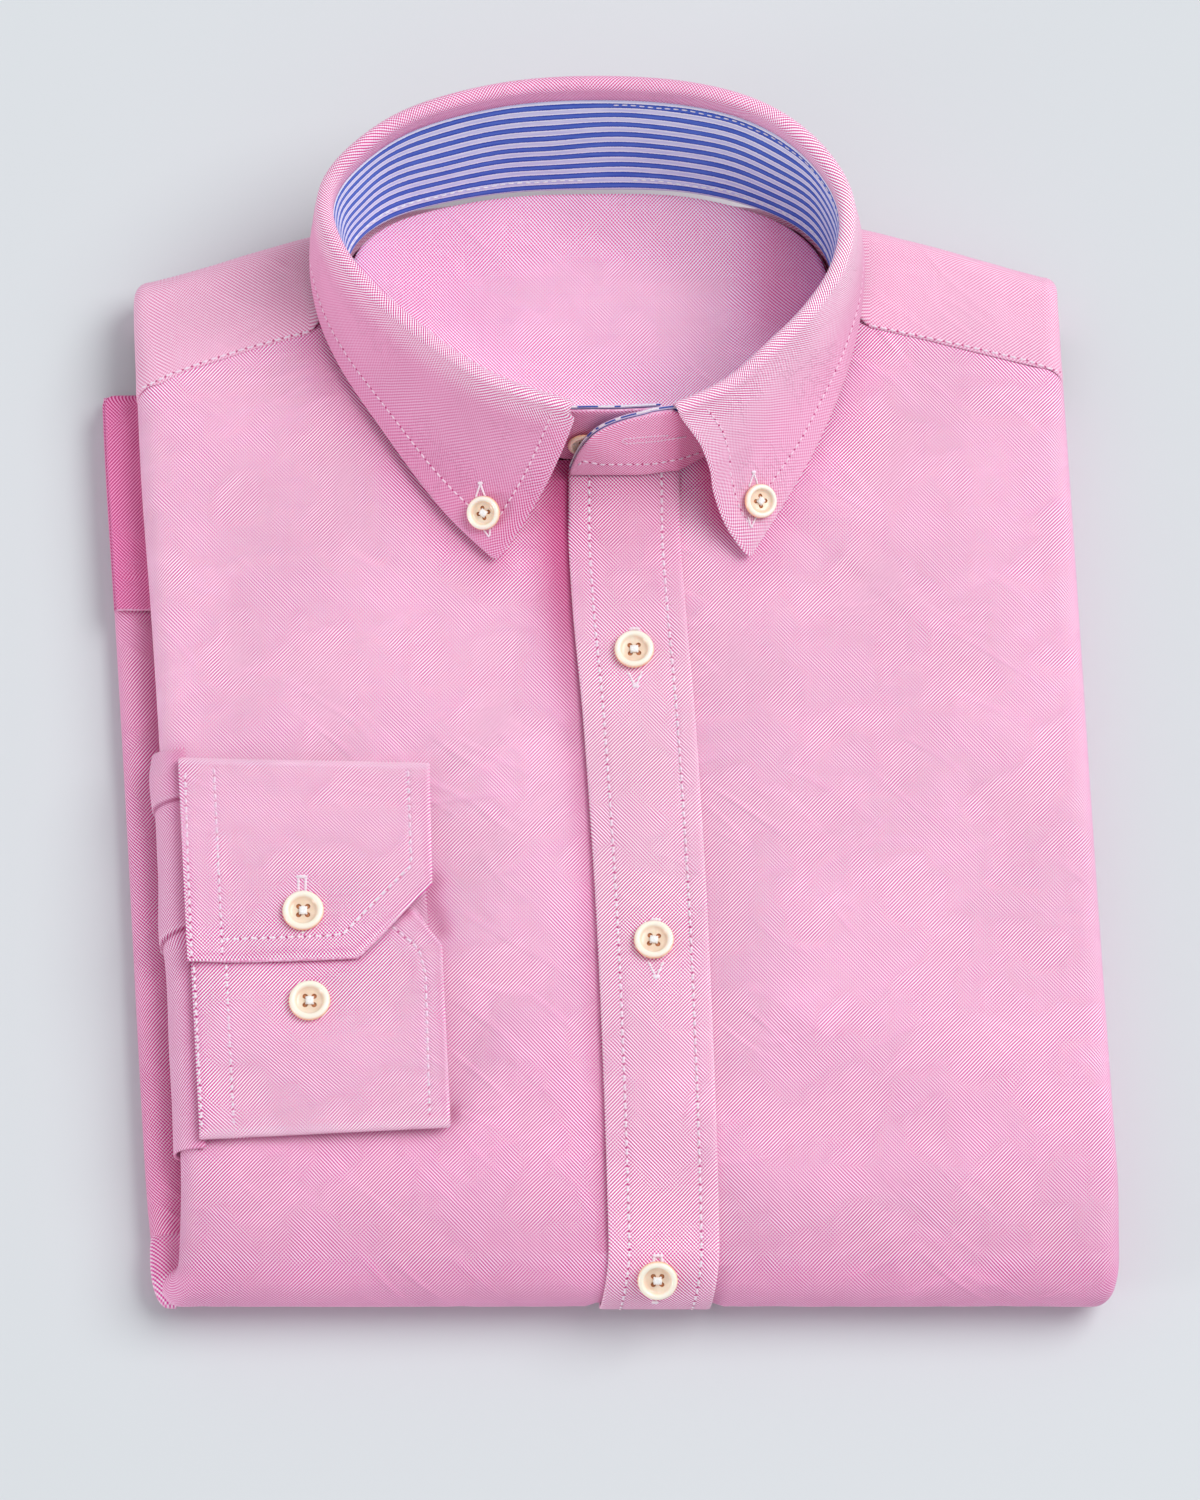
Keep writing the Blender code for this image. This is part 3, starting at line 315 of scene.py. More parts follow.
def shirting(name, deep=DEEP, pale=PALE, pitch=(1.02, 1.085), contrast=1.0, bump=0.5, seed=0.0, tone=1.0, streak=0.30, toned=False, bias=0.0, crinkle=0.0, creased=0.0):
    """Pinpoint cotton: white points between coloured yarns, on the cloth's own grain. UV is in millimetres. When toned,
    two extra UV maps multiply painted shade and painted highlight into the colour.
    """
    made, t, shader = new_material(name)
    uv = node(t, "ShaderNodeUVMap", uv_map="grain").outputs[0]
    moved = node(t, "ShaderNodeVectorMath", operation="ADD")
    join(t, uv, moved.inputs[0])
    moved.inputs[1].default_value = (seed, seed * 0.7, seed * 0.3)
    at = moved.outputs[0]
    wob = node(t, "ShaderNodeTexNoise", noise_dimensions="2D")
    join(t, at, wob.inputs["Vector"])
    wob.inputs["Scale"].default_value = 0.11
    wob.inputs["Detail"].default_value = 3.0
    shift = node(t, "ShaderNodeVectorMath", operation="MULTIPLY_ADD")
    join(t, wob.outputs["Color"], shift.inputs[0])
    shift.inputs[1].default_value = (0.3, 0.3, 0.0)
    join(t, at, shift.inputs[2])
    parts = node(t, "ShaderNodeSeparateXYZ")
    join(t, shift.outputs[0], parts.inputs[0])
    u = maths(t, "MULTIPLY", parts.outputs[0], 2 * math.pi / pitch[0])
    v = maths(t, "MULTIPLY", parts.outputs[1], 2 * math.pi / pitch[1])
    first = maths(t, "COSINE", maths(t, "ADD", u, v))
    second = maths(t, "COSINE", maths(t, "SUBTRACT", u, v))
    patch = smoothed(t, noise_of(t, at, 0.045, 2.0, 0.5, "2D"), 0.35, 0.65, -0.42, 0.42)
    points = maths(t, "ADD",
                   maths(t, "MULTIPLY", first, maths(t, "ADD", 1.0, patch)),
                   maths(t, "MULTIPLY", second, maths(t, "SUBTRACT", 1.0, patch)))
    slub = maths(t, "ADD",
                 maths(t, "SUBTRACT", noise_of(t, stretched(t, at, 0.12, 1.9), 1.0, 2.0, 0.6, "2D"), 0.5),
                 maths(t, "SUBTRACT", noise_of(t, stretched(t, at, 1.9, 0.12), 1.0, 2.0, 0.6, "2D"), 0.5))
    points = maths(t, "MULTIPLY_ADD", slub, 1.5 * streak, points)
    fine = noise_of(t, at, 2.3, 1.0, 0.5, "2D")
    points = maths(t, "ADD", points, smoothed(t, fine, 0.2, 0.8, -0.10, 0.10))
    spread = 1.15 / max(0.05, contrast)
    if toned:
        painted_light_and_crisp = node(t, "ShaderNodeSeparateXYZ")
        join(t, node(t, "ShaderNodeUVMap", uv_map="tone").outputs[0], painted_light_and_crisp.inputs[0])
        points = maths(t, "MULTIPLY", points, painted_light_and_crisp.outputs[1])
    share = smoothed(t, points, -spread + bias, spread + bias)
    colour = blend_colours(t, share, deep, pale)
    mottle_and_crease_highlight = smoothed(t, noise_of(t, at, 0.018, 3.0, 0.55, "2D"), 0.3, 0.7, 0.955 * tone, 1.035 * tone)
    if creased:
        folds = 0.0
        for k, lean in enumerate((36.0, -24.0)):
            turn = node(t, "ShaderNodeMapping")
            join(t, at, turn.inputs["Vector"])
            turn.inputs["Rotation"].default_value = (0.0, 0.0, math.radians(lean))
            turn.inputs["Location"].default_value = (61.0 * k, 23.0 * k, 0.0)
            line = maths(t, "ABSOLUTE", maths(t, "SUBTRACT", noise_of(t, stretched(t, turn.outputs[0], 0.018, 0.066), 1.0, 1.0, 0.5, "2D"), 0.5))
            here = smoothed(t, noise_of(t, turn.outputs[0], 0.024, 0.0, 0.5, "2D"), 0.45, 0.62)
            folds = maths(t, "MULTIPLY_ADD", smoothed(t, line, 0.0, 0.085, 1.0, 0.0), here, folds)
        # the crease lines are also painted lighter here: a painted highlight along each crease, on top of their bump
        mottle_and_crease_highlight = maths(t, "MULTIPLY_ADD", folds, 0.024 * creased * tone, mottle_and_crease_highlight)
    shade = node(t, "ShaderNodeVectorMath", operation="SCALE")
    join(t, colour, shade.inputs[0])
    join(t, mottle_and_crease_highlight, shade.inputs["Scale"])
    final = shade.outputs[0]
    # painted shade and painted highlight: the tone map deepens the colour where shade falls (and pales it where
    # negative), and the dim map scales its brightness
    if toned:
        level = node(t, "ShaderNodeVectorMath", operation="MULTIPLY_ADD")
        join(t, painted_light_and_crisp.outputs[0], level.inputs[0])
        level.inputs[1].default_value = (-0.05, -0.26, -0.13)
        level.inputs[2].default_value = (1.0, 1.0, 1.0)
        deep_shade_tint = node(t, "ShaderNodeVectorMath", operation="MULTIPLY_ADD")
        join(t, maths(t, "MAXIMUM", maths(t, "SUBTRACT", painted_light_and_crisp.outputs[0], 0.5), 0.0), deep_shade_tint.inputs[0])
        deep_shade_tint.inputs[1].default_value = (-0.05, 0.0, -0.075)
        join(t, level.outputs[0], deep_shade_tint.inputs[2])
        level = deep_shade_tint
        shade_deepen = node(t, "ShaderNodeVectorMath", operation="MULTIPLY")
        join(t, final, shade_deepen.inputs[0])
        join(t, level.outputs[0], shade_deepen.inputs[1])
        painted_dim = node(t, "ShaderNodeVectorMath", operation="SCALE")
        join(t, shade_deepen.outputs[0], painted_dim.inputs[0])
        under = node(t, "ShaderNodeSeparateXYZ")
        join(t, node(t, "ShaderNodeUVMap", uv_map="painted_dim").outputs[0], under.inputs[0])
        join(t, under.outputs[0], painted_dim.inputs["Scale"])
        final = painted_dim.outputs[0]
    join(t, final, shader.inputs["Base Color"])
    join(t, smoothed(t, share, 0.0, 1.0, 0.88, 0.74), shader.inputs["Roughness"])
    shader.inputs["Specular IOR Level"].default_value = 0.22
    shader.inputs["Sheen Weight"].default_value = 0.10
    shader.inputs["Sheen Roughness"].default_value = 0.45
    shader.inputs["Sheen Tint"].default_value = (1.0, 0.82, 0.93, 1.0)
    relief = node(t, "ShaderNodeBump")
    relief.inputs["Strength"].default_value = bump
    relief.inputs["Distance"].default_value = 0.00012
    high = maths(t, "ADD", share, maths(t, "MULTIPLY", slub, 0.9 * streak))
    if crinkle:
        vein = maths(t, "ABSOLUTE", maths(t, "SUBTRACT", noise_of(t, at, 0.16, 3.0, 0.6, "2D"), 0.5))
        where = smoothed(t, noise_of(t, stretched(t, at, 1.0, 1.0), 0.05, 1.0, 0.5, "2D"), 0.42, 0.62)
        crease = maths(t, "MULTIPLY", smoothed(t, vein, 0.0, 0.065, 1.0, 0.0), where)
        high = maths(t, "MULTIPLY_ADD", crease, crinkle, high)
    if creased:
        high = maths(t, "MULTIPLY_ADD", folds, 3.7 * creased, high)
    join(t, high, relief.inputs["Height"])
    join(t, relief.outputs[0], shader.inputs["Normal"])
    made.diffuse_color = (0.85, 0.45, 0.67, 1.0)
    return made


def striped(name):
    """The band's lining: blue and white stripes along it. UV y runs 0 to 100 up the band, UV x in millimetres along it."""
    made, t, shader = new_material(name)
    uv = node(t, "ShaderNodeUVMap", uv_map="grain").outputs[0]
    parts = node(t, "ShaderNodeSeparateXYZ")
    join(t, uv, parts.inputs[0])
    waver = maths(t, "MULTIPLY", maths(t, "SUBTRACT", noise_of(t, stretched(t, uv, 0.02, 0.03), 1.0, 2.0, 0.5, "2D"), 0.5), 0.20)
    up = maths(t, "ADD", maths(t, "MULTIPLY_ADD", parts.outputs[1], 9.0 / 100.0, 0.03), waver)
    inside = maths(t, "FRACT", up)
    away = maths(t, "ABSOLUTE", maths(t, "SUBTRACT", inside, 0.5))
    rag = maths(t, "MULTIPLY", maths(t, "SUBTRACT", noise_of(t, stretched(t, uv, 2.2, 0.5), 1.0, 1.0, 0.5, "2D"), 0.5), 0.05)
    blue = smoothed(t, maths(t, "ADD", away, rag), 0.225, 0.275, 1.0, 0.0)
    rim = smoothed(t, away, 0.09, 0.20, 0.0, 1.0)
    yarn = smoothed(t, noise_of(t, stretched(t, uv, 0.10, 1.1), 1.0, 3.0, 0.6, "2D"), 0.35, 0.65, 0.0, 1.0)
    rim = maths(t, "MULTIPLY_ADD", yarn, 0.45, maths(t, "MULTIPLY", rim, 0.75), clamp=True)
    ink = blend_colours(t, rim, (0.100, 0.205, 0.680), (0.012, 0.055, 0.450))
    paper = blend_colours(t, maths(t, "MULTIPLY", yarn, 0.6), (0.600, 0.640, 0.900), (0.820, 0.850, 0.985))
    paper = blend_colours(t, smoothed(t, away, 0.30, 0.40, 1.0, 0.0), paper, (0.930, 0.960, 1.0))
    colour = blend_colours(t, blue, paper, ink)
    join(t, colour, shader.inputs["Base Color"])
    shader.inputs["Roughness"].default_value = 0.72
    shader.inputs["Specular IOR Level"].default_value = 0.25
    shader.inputs["Sheen Weight"].default_value = 0.12
    shader.inputs["Sheen Roughness"].default_value = 0.5
    thread = noise_of(t, stretched(t, uv, 4.0, 1.6), 1.0, 2.0, 0.6, "2D")
    relief = node(t, "ShaderNodeBump")
    relief.inputs["Strength"].default_value = 0.35
    relief.inputs["Distance"].default_value = 0.0001
    join(t, thread, relief.inputs["Height"])
    join(t, relief.outputs[0], shader.inputs["Normal"])
    made.diffuse_color = (0.4, 0.45, 0.8, 1.0)
    return made


def thread_material(name, colour, rough=0.6, sheen=0.3):
    """Twisted sewing thread."""
    made, t, shader = new_material(name)
    at = node(t, "ShaderNodeTexCoord").outputs["Object"]
    twist = noise_of(t, at, 3200.0, 2.0, 0.6)
    dark = tuple(c * 0.82 for c in colour)
    join(t, blend_colours(t, smoothed(t, twist, 0.35, 0.65), dark, colour), shader.inputs["Base Color"])
    shader.inputs["Roughness"].default_value = rough
    shader.inputs["Sheen Weight"].default_value = sheen
    relief = node(t, "ShaderNodeBump")
    relief.inputs["Strength"].default_value = 0.4
    relief.inputs["Distance"].default_value = 0.0001
    join(t, twist, relief.inputs["Height"])
    join(t, relief.outputs[0], shader.inputs["Normal"])
    made.diffuse_color = (*colour, 1.0)
    return made


def pearl_material(name, face, side):
    """Pearly button: cream face with soft bands, warmer towards its side."""
    made, t, shader = new_material(name)
    at = node(t, "ShaderNodeTexCoord").outputs["Object"]
    bands = noise_of(t, stretched(t, at, 260.0, 90.0, 200.0), 1.0, 3.0, 0.55)
    parts = node(t, "ShaderNodeSeparateXYZ")
    join(t, node(t, "ShaderNodeTexCoord").outputs["Normal"], parts.inputs[0])
    lean = smoothed(t, parts.outputs[2], 0.15, 0.85)
    level = node(t, "ShaderNodeSeparateXYZ")
    join(t, at, level.inputs[0])
    high = smoothed(t, level.outputs[2], 0.00135, 0.00185)
    dish = blend_colours(t, smoothed(t, bands, 0.35, 0.65), (0.90, 0.66, 0.49), (0.98, 0.79, 0.63))
    cloudy = blend_colours(t, high, dish, face)
    join(t, blend_colours(t, lean, side, cloudy), shader.inputs["Base Color"])
    shader.inputs["Roughness"].default_value = 0.24
    shader.inputs["Subsurface Weight"].default_value = 0.35
    shader.inputs["Subsurface Radius"].default_value = (1.0, 0.6, 0.4)
    shader.inputs["Subsurface Scale"].default_value = 0.0012
    shader.inputs["Coat Weight"].default_value = 0.35
    shader.inputs["Coat Roughness"].default_value = 0.12
    relief = node(t, "ShaderNodeBump")
    relief.inputs["Strength"].default_value = 0.08
    relief.inputs["Distance"].default_value = 0.0002
    join(t, bands, relief.inputs["Height"])
    join(t, relief.outputs[0], shader.inputs["Normal"])
    made.diffuse_color = (*face, 1.0)
    return made


# ---------------------------------------------------------------- building cloth
pieces = {}


def edge_cloth(name, deep, pale):
    """The thin edge of a cloth: yarns seen end on."""
    made, t, shader = new_material(name)
    at = node(t, "ShaderNodeTexCoord").outputs["Object"]
    yarn = noise_of(t, at, 1500.0, 2.0, 0.6)
    join(t, blend_colours(t, smoothed(t, yarn, 0.3, 0.7), deep, pale), shader.inputs["Base Color"])
    shader.inputs["Roughness"].default_value = 0.85
    shader.inputs["Specular IOR Level"].default_value = 0.2
    relief = node(t, "ShaderNodeBump")
    relief.inputs["Strength"].default_value = 0.4
    relief.inputs["Distance"].default_value = 0.0001
    join(t, yarn, relief.inputs["Height"])
    join(t, relief.outputs[0], shader.inputs["Normal"])
    made.diffuse_color = (0.85, 0.45, 0.67, 1.0)
    return made


EDGE = edge_cloth("cloth_edge", (0.76, 0.24, 0.46), (0.93, 0.62, 0.79))


def shell(name, rows, uvs, thickness, mat, nodes, flip=False, rounds=0, closed=False, painted_light_and_crisp=None, edge=None):
    """A sheet through rows of points on its outer face, thickened inwards. uvs are millimetres on the cloth's grain."""
    bm = bmesh.new()
    layer = bm.loops.layers.uv.new("grain")
    # the two extra UV maps carry painted light: the first's x is painted shade depth (negative for painted highlight)
    # and its y the weave's crispness; the second is a painted dim factor
    shade = bm.loops.layers.uv.new("tone") if painted_light_and_crisp else None
    painted_dim = bm.loops.layers.uv.new("painted_dim") if painted_light_and_crisp else None
    grid = [[bm.verts.new(W(p)) for p in row] for row in rows]
    for j in range(len(grid) - 1):
        a, b, ua, ub = grid[j], grid[j + 1], uvs[j], uvs[j + 1]
        ta, tb = (painted_light_and_crisp[j], painted_light_and_crisp[j + 1]) if painted_light_and_crisp else (ua, ub)
        for i in range(len(a) - 1):
            corners = [(a[i], ua[i], ta[i]), (a[i + 1], ua[i + 1], ta[i + 1]), (b[i + 1], ub[i + 1], tb[i + 1]), (b[i], ub[i], tb[i])]
            if flip:
                corners.reverse()
            face = bm.faces.new([c[0] for c in corners])
            face.smooth = True
            for loop, c in zip(face.loops, corners):
                loop[layer].uv = c[1]
                if painted_light_and_crisp:
                    loop[shade].uv = c[2][:2]
                    loop[painted_dim].uv = (c[2][2] if len(c[2]) > 2 else 1.0, 0.0)
    if closed:
        bmesh.ops.remove_doubles(bm, verts=bm.verts, dist=1e-6)
    bmesh.ops.dissolve_degenerate(bm, edges=bm.edges, dist=1e-7)
    mesh = bpy.data.meshes.new(name)
    bm.to_mesh(mesh)
    bm.free()
    mesh.materials.append(mat)
    mesh.materials.append(edge or EDGE)
    obj = bpy.data.objects.new(name, mesh)
    bpy.context.scene.collection.objects.link(obj)
    if thickness:
        thick = obj.modifiers.new("thickness", "SOLIDIFY")
        thick.thickness = thickness * MM
        thick.offset = -1.0
        thick.use_even_offset = False
        thick.material_offset_rim = 1
    if rounds:
        soft = obj.modifiers.new("soft_edges", "SUBSURF")
        soft.levels = soft.render_levels = rounds
    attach(obj, "root")
    if nodes:
        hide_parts(*nodes)
    pieces[name] = obj
    return obj


def lengths(points):
    """Running length along a line of points."""
    out = [0.0]
    for a, b in zip(points, points[1:]):
        out.append(out[-1] + (Vector(b) - Vector(a)).length)
    return out


def loose(name, bm, mats, smooth=True):
    mesh = bpy.data.meshes.new(name)
    bm.to_mesh(mesh)
    bm.free()
    for m in mats:
        mesh.materials.append(m)
    if smooth:
        mesh.shade_smooth()
    obj = bpy.data.objects.new(name, mesh)
    bpy.context.scene.collection.objects.link(obj)
    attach(obj, "root")
    pieces[name] = obj
    return obj


def tree_of(obj):
    """A search tree over the finished surface of a piece."""
    graph = bpy.context.evaluated_depsgraph_get()
    made = bmesh.new()
    made.from_object(obj, graph)
    found = BVHTree.FromBMesh(made)
    made.free()
    return found


# ---------------------------------------------------------------- how the cloth lies: soft troughs
CREASES = (
    # x0, y0, x1, y1, half width, depth
    (48.0, 236.0, 96.0, 196.0, 3.2, 0.30), (62.0, 226.0, 120.0, 172.0, 4.5, 0.26), (40.0, 188.0, 84.0, 150.0, 4.0, 0.24),
    (70.0, 180.0, 128.0, 150.0, 5.0, 0.26), (46.0, 140.0, 104.0, 96.0, 5.5, 0.24), (88.0, 120.0, 138.0, 92.0, 5.0, 0.22),
    (40.0, 84.0, 92.0, 52.0, 5.5, 0.24), (96.0, 74.0, 140.0, 44.0, 5.0, 0.22), (52.0, 32.0, 110.0, 58.0, 5.0, 0.20),
    (-20.0, 214.0, -56.0, 176.0, 4.0, 0.26), (-40.0, 222.0, -88.0, 186.0, 4.5, 0.26), (-92.0, 244.0, -122.0, 214.0, 4.5, 0.24),
    (-20.0, 152.0, -46.0, 120.0, 4.0, 0.24), (-26.0, 96.0, -50.0, 46.0, 4.5, 0.22), (-62.0, 40.0, -104.0, 22.0, 5.0, 0.24),
    (-84.0, 204.0, -112.0, 170.0, 4.5, 0.24), (-100.0, 268.0, -84.0, 240.0, 4.0, 0.20), (100.0, 268.0, 92.0, 232.0, 4.5, 0.22),
    (116.0, 262.0, 128.0, 214.0, 5.0, 0.22), (-30.0, 34.0, -14.0, 70.0, 4.0, 0.20),
    (60.0, 62.0, 96.0, 48.0, 1.9, 0.13), (96.0, 48.0, 112.0, 58.0, 1.8, 0.12), (104.0, 66.0, 134.0, 52.0, 1.9, 0.13),
    (70.0, 38.0, 108.0, 31.0, 1.8, 0.11), (112.0, 40.0, 138.0, 30.0, 1.9, 0.12), (84.0, 86.0, 116.0, 100.0, 1.9, 0.10),
    (52.0, 112.0, 76.0, 92.0, 1.9, 0.10), (96.0, 150.0, 124.0, 172.0, 1.9, 0.10), (60.0, 168.0, 92.0, 196.0, 2.0, 0.11),
    (40.0, 210.0, 60.0, 228.0, 1.8, 0.09), (112.0, 196.0, 130.0, 218.0, 1.9, 0.10), (74.0, 128.0, 110.0, 140.0, 1.9, 0.10),
    (-118.0, 236.0, -96.0, 226.0, 1.9, 0.12), (-110.0, 214.0, -80.0, 204.0, 2.0, 0.12), (-116.0, 197.0, -88.0, 190.0, 1.9, 0.12),
    (-96.0, 182.0, -66.0, 177.0, 2.0, 0.11), (-76.0, 230.0, -52.0, 217.0, 1.9, 0.11), (-70.0, 204.0, -44.0, 191.0, 2.0, 0.10),
    (-104.0, 171.0, -78.0, 167.0, 1.9, 0.10), (-40.0, 150.0, -24.0, 129.0, 1.9, 0.09), (-60.0, 30.0, -40.0, 44.0, 1.9, 0.10),
    (-38.0, 122.0, -20.0, 98.0, 1.9, 0.10), (-100.0, 38.0, -78.0, 27.0, 1.9, 0.11),
)


def trough(x, y):
    total = 0.0
    for x0, y0, x1, y1, wide, deep in CREASES:
        dx, dy = x1 - x0, y1 - y0
        if x < min(x0, x1) - 5 * wide - 9 or x > max(x0, x1) + 5 * wide + 9 or y < min(y0, y1) - 5 * wide - 9 or y > max(y0, y1) + 5 * wide + 9:
            continue
        n = math.hypot(dx, dy)
        t = ((x - x0) * dx + (y - y0) * dy) / (n * n)
        if t < -0.25 or t > 1.25:
            continue
        d = ((x - x0) * -dy + (y - y0) * dx) / n
        d += 1.6 * math.sin(t * 5.0 + x0)
        if abs(d) > 4 * wide:
            continue
        along_it = smooth((t + 0.25) / 0.5) * smooth((1.25 - t) / 0.5)
        total += deep * along_it * (math.exp(-(d / wide) ** 2) - 0.45 * math.exp(-((d - 1.7 * wide) / (wide * 1.2)) ** 2))
    return total


def lie(x, y):
    """How far the cloth dips below its even surface, in mm."""
    wide = noise.noise(Vector((x / 62.0, y / 62.0, 3.1)))
    close = noise.noise(Vector((x / 24.0, y / 24.0, 9.7)))
    deep = 0.42 + 0.42 * wide + 0.14 * close + 2.2 * trough(x, y)
    if deep > 0.75:
        return 0.75 + 0.25 * math.tanh((deep - 0.75) / 0.25)
    if deep < 0.20:
        return 0.20 + 0.15 * math.tanh((deep - 0.20) / 0.15)
    return deep

# ---------------------------------------------------------------- the fronts
ROUND_TOP = [k / 170 for k in range(171)]
ROLL_ROWS = [6 + 6 * k for k in range(29)]
UNDER_ROWS = [ROLL_Y + (LOWER_END - ROLL_Y) * k / 30 for k in range(31)]
ROWS = ([("top", t) for t in ROUND_TOP] + [("roll", a) for a in ROLL_ROWS]
        + [("under", y) for y in UNDER_ROWS] + [("end", a) for a in (25, 50, 70)])
FLATS = [k / 76 for k in range(1, 77)]
ARC = [78, 66, 54, 42, 30, 18, 6, -6, -18, -30, -42, -54, -66, -78, -90]


def neck_y(x):
    """Top edge of a front: under the yoke at the shoulder, under the stand at the neck."""
    if x <= -70 or x >= 66:
        return curve(SEAM, "x", x, "y") + TUCKED - GAP - 0.3
    stations = [(COLLAR["low_x"][k], COLLAR["low_y"][k]) for k in (4, 3, 2, 1, 0, 18, 17, 16, 15, 14)]
    table = {"x": tuple(p[0] for p in stations), "y": tuple(p[1] for p in stations)}
    return curve(table, "x", x, "y") - 1.4 + 3.6 * smooth((x - 15.0) / 6.0) * smooth((58.0 - x) / 10.0) if x < 64 else 297.0


def seam_drop(arc):
    return 3.6 * smooth((90 - arc) / 120)


def span(side, row):
    kind, value = row
    edge = "right" if side > 0 else "left"
    if kind == "top":
        return upper(value, edge), side_radius(value), 0.0, value
    if kind == "roll":
        t = smooth(value / 180.0)
        return lerp(upper(ROLL_Y, edge), lower(ROLL_Y, edge), t), 5.95, t, ROLL_Y
    return lower(value, edge), lower_radius(value), 1.0, value


def drift(kind, value):
    return 0.0 if kind == "top" else -ROLL_SHIFT * (smooth(value / 110.0) if kind == "roll" else 1.0)


def roll_lie(x, a):
    """Small compression folds where the cloth turns round the bottom."""
    w = math.sin(math.radians(min(180.0, a)))
    return w * (0.16 + 0.16 * noise.noise(Vector((x / 5.5, a / 70.0, 1.7))) + 0.14 * noise.noise(Vector((x / 21.0, a / 90.0, 5.2))))


def front_rows(side):
    rows, uvs = [], []
    edge = "right" if side > 0 else "left"
    for kind, value in ROWS:
        line, grain = [], []
        columns = ([("band", 0), ("band", 1), ("band", 2)] + [("flat", f) for f in FLATS] + [("arc", a) for a in ARC] + [("tuck", 1)])
        for col, where in columns:
            fraction = 0.0 if col == "band" else (where if col == "flat" else 1.0)
            if kind == "top":
                xp = curve(PLACKET, "y", 262.0, edge)
                xe = upper(262.0, edge) - side * 7.0
                xr = lerp(xp, xe, fraction)
                shoulder = abs(xr) > 66
                ease = smooth((fraction - 0.86) / 0.14)
                at_neck = neck_y(xr) - (0.6 if shoulder else 0.0)
                if fraction >= 1.0:
                    at_neck = neck_y(-128.0 if side < 0 else 126.5) - 0.6
                if col in ("arc", "tuck"):
                    at_neck -= seam_drop(where if col == "arc" else -90)
                y = lerp(at_neck, ROLL_Y, value ** 1.35)
                tucked = (0.95 * smooth((y - at_neck + TUCKED - 1.2) / 1.0)) if shoulder or fraction >= 1.0 else 0.0
                outer, r, dive, yy = span(side, ("top", y))
            elif kind == "end":
                y = LOWER_END
                outer, r, dive, yy = span(side, ("under", y))
            else:
                outer, r, dive, yy = span(side, (kind, value))
            pl, pr = (curve(PLACKET, "y", yy, c) + drift(kind, value) for c in ("left", "right"))
            if side > 0:
                band = (pr - PLACKET_UNDER_RIGHT, pr + 0.8, pr + 4.0)
            else:
                band = (pl + PLACKET_UNDER_LEFT, pl - 0.8, pl - 4.0)
            depth, arc_len = 0.0, 0.0
            if col == "band":
                x = band[where]
                depth = BAND_RISE * dive if where < 2 else 0.0
            elif col == "flat":
                x = lerp(band[2], outer - side * r, where)
            elif col == "arc":
                a = math.radians(where)
                x = outer - side * r + side * r * math.cos(a)
                depth = r - r * math.sin(a)
                arc_len = r * (math.pi / 2 - a)
            else:
                x = outer - side * (r + (6.0 if kind == "top" else 14.0 if side < 0 else 6.0))
                depth = 2 * r
                arc_len = r * math.pi + (6.0 if kind == "top" else 14.0 if side < 0 else 6.0)
            flat_x = x if col in ("band", "flat") else outer - side * r
            ease = max(0.0, 1.0 - depth / (r + 0.01))
            if kind == "top":
                dip = lie(flat_x, y) * ease
                dip *= smooth((y - 8.0) / 16.0) * smooth((at_neck - y - 1.0) / 9.0)
                depth += tucked
                if col == "arc":
                    x -= side * tucked * math.cos(math.radians(where))
                    depth -= tucked * (1 - max(0.0, math.sin(math.radians(where))))
                line.append((x, y, front_z(flat_x, y) - depth - dip))
                along_cloth = y
            elif kind == "roll":
                a = math.radians(value)
                rho = ROLL_R - depth - roll_lie(flat_x, value) * ease
                line.append((x, ROLL_Y - rho * math.sin(a), ROLL_R + rho * math.cos(a)))
                along_cloth = ROLL_Y - ROLL_R * a
            elif kind == "under":
                line.append((x, value, depth))
                along_cloth = ROLL_Y - ROLL_R * math.pi - (value - ROLL_Y)
            else:
                b = math.radians(value)
                line.append((x, LOWER_END + 6.0 * math.sin(b), r + (depth - r) * math.cos(b)))
                along_cloth = ROLL_Y - ROLL_R * math.pi - (LOWER_END - ROLL_Y) - 6.0 * b
            grain.append((flat_x + side * arc_len, along_cloth))
        rows.append(line)
        uvs.append(grain)
    return rows, uvs


# lines beside which a painted shadow is laid on the fronts
LEAF_SHADE = {side: [(COLLAR["edge_x"][k], COLLAR["edge_y"][k]) for k in keys] for side, keys in ((-1, (0, 1, 2, 3, 4, 5)), (1, (18, 17, 16, 15, 14, 13)))}


def beside(line, x, y):
    """Distance from (x, y) to a line of points."""
    best = 1e9
    for (ax, ay), (bx, by) in zip(line, line[1:]):
        dx, dy = bx - ax, by - ay
        t = min(1.0, max(0.0, ((x - ax) * dx + (y - ay) * dy) / (dx * dx + dy * dy)))
        best = min(best, math.hypot(x - ax - dx * t, y - ay - dy * t))
    return best


CUFF_SHADE = [spot(px, py, 25.0) for px, py in ((452.0, 1112.0), (451.0, 1119.0), (330.0, 1125.0), (203.0, 1131.5))]
NOTCH_SHADE = [spot(px, py, 25.0) for px, py in ((436.0, 880.0), (430.0, 896.0), (443.0, 932.0))]
LEAF_FRONT = [(22.8, 262.0), (29.6, 257.5), (32.4, 246.5), (34.6, 238.0), (38.6, 229.5), (42.6, 222.6)]


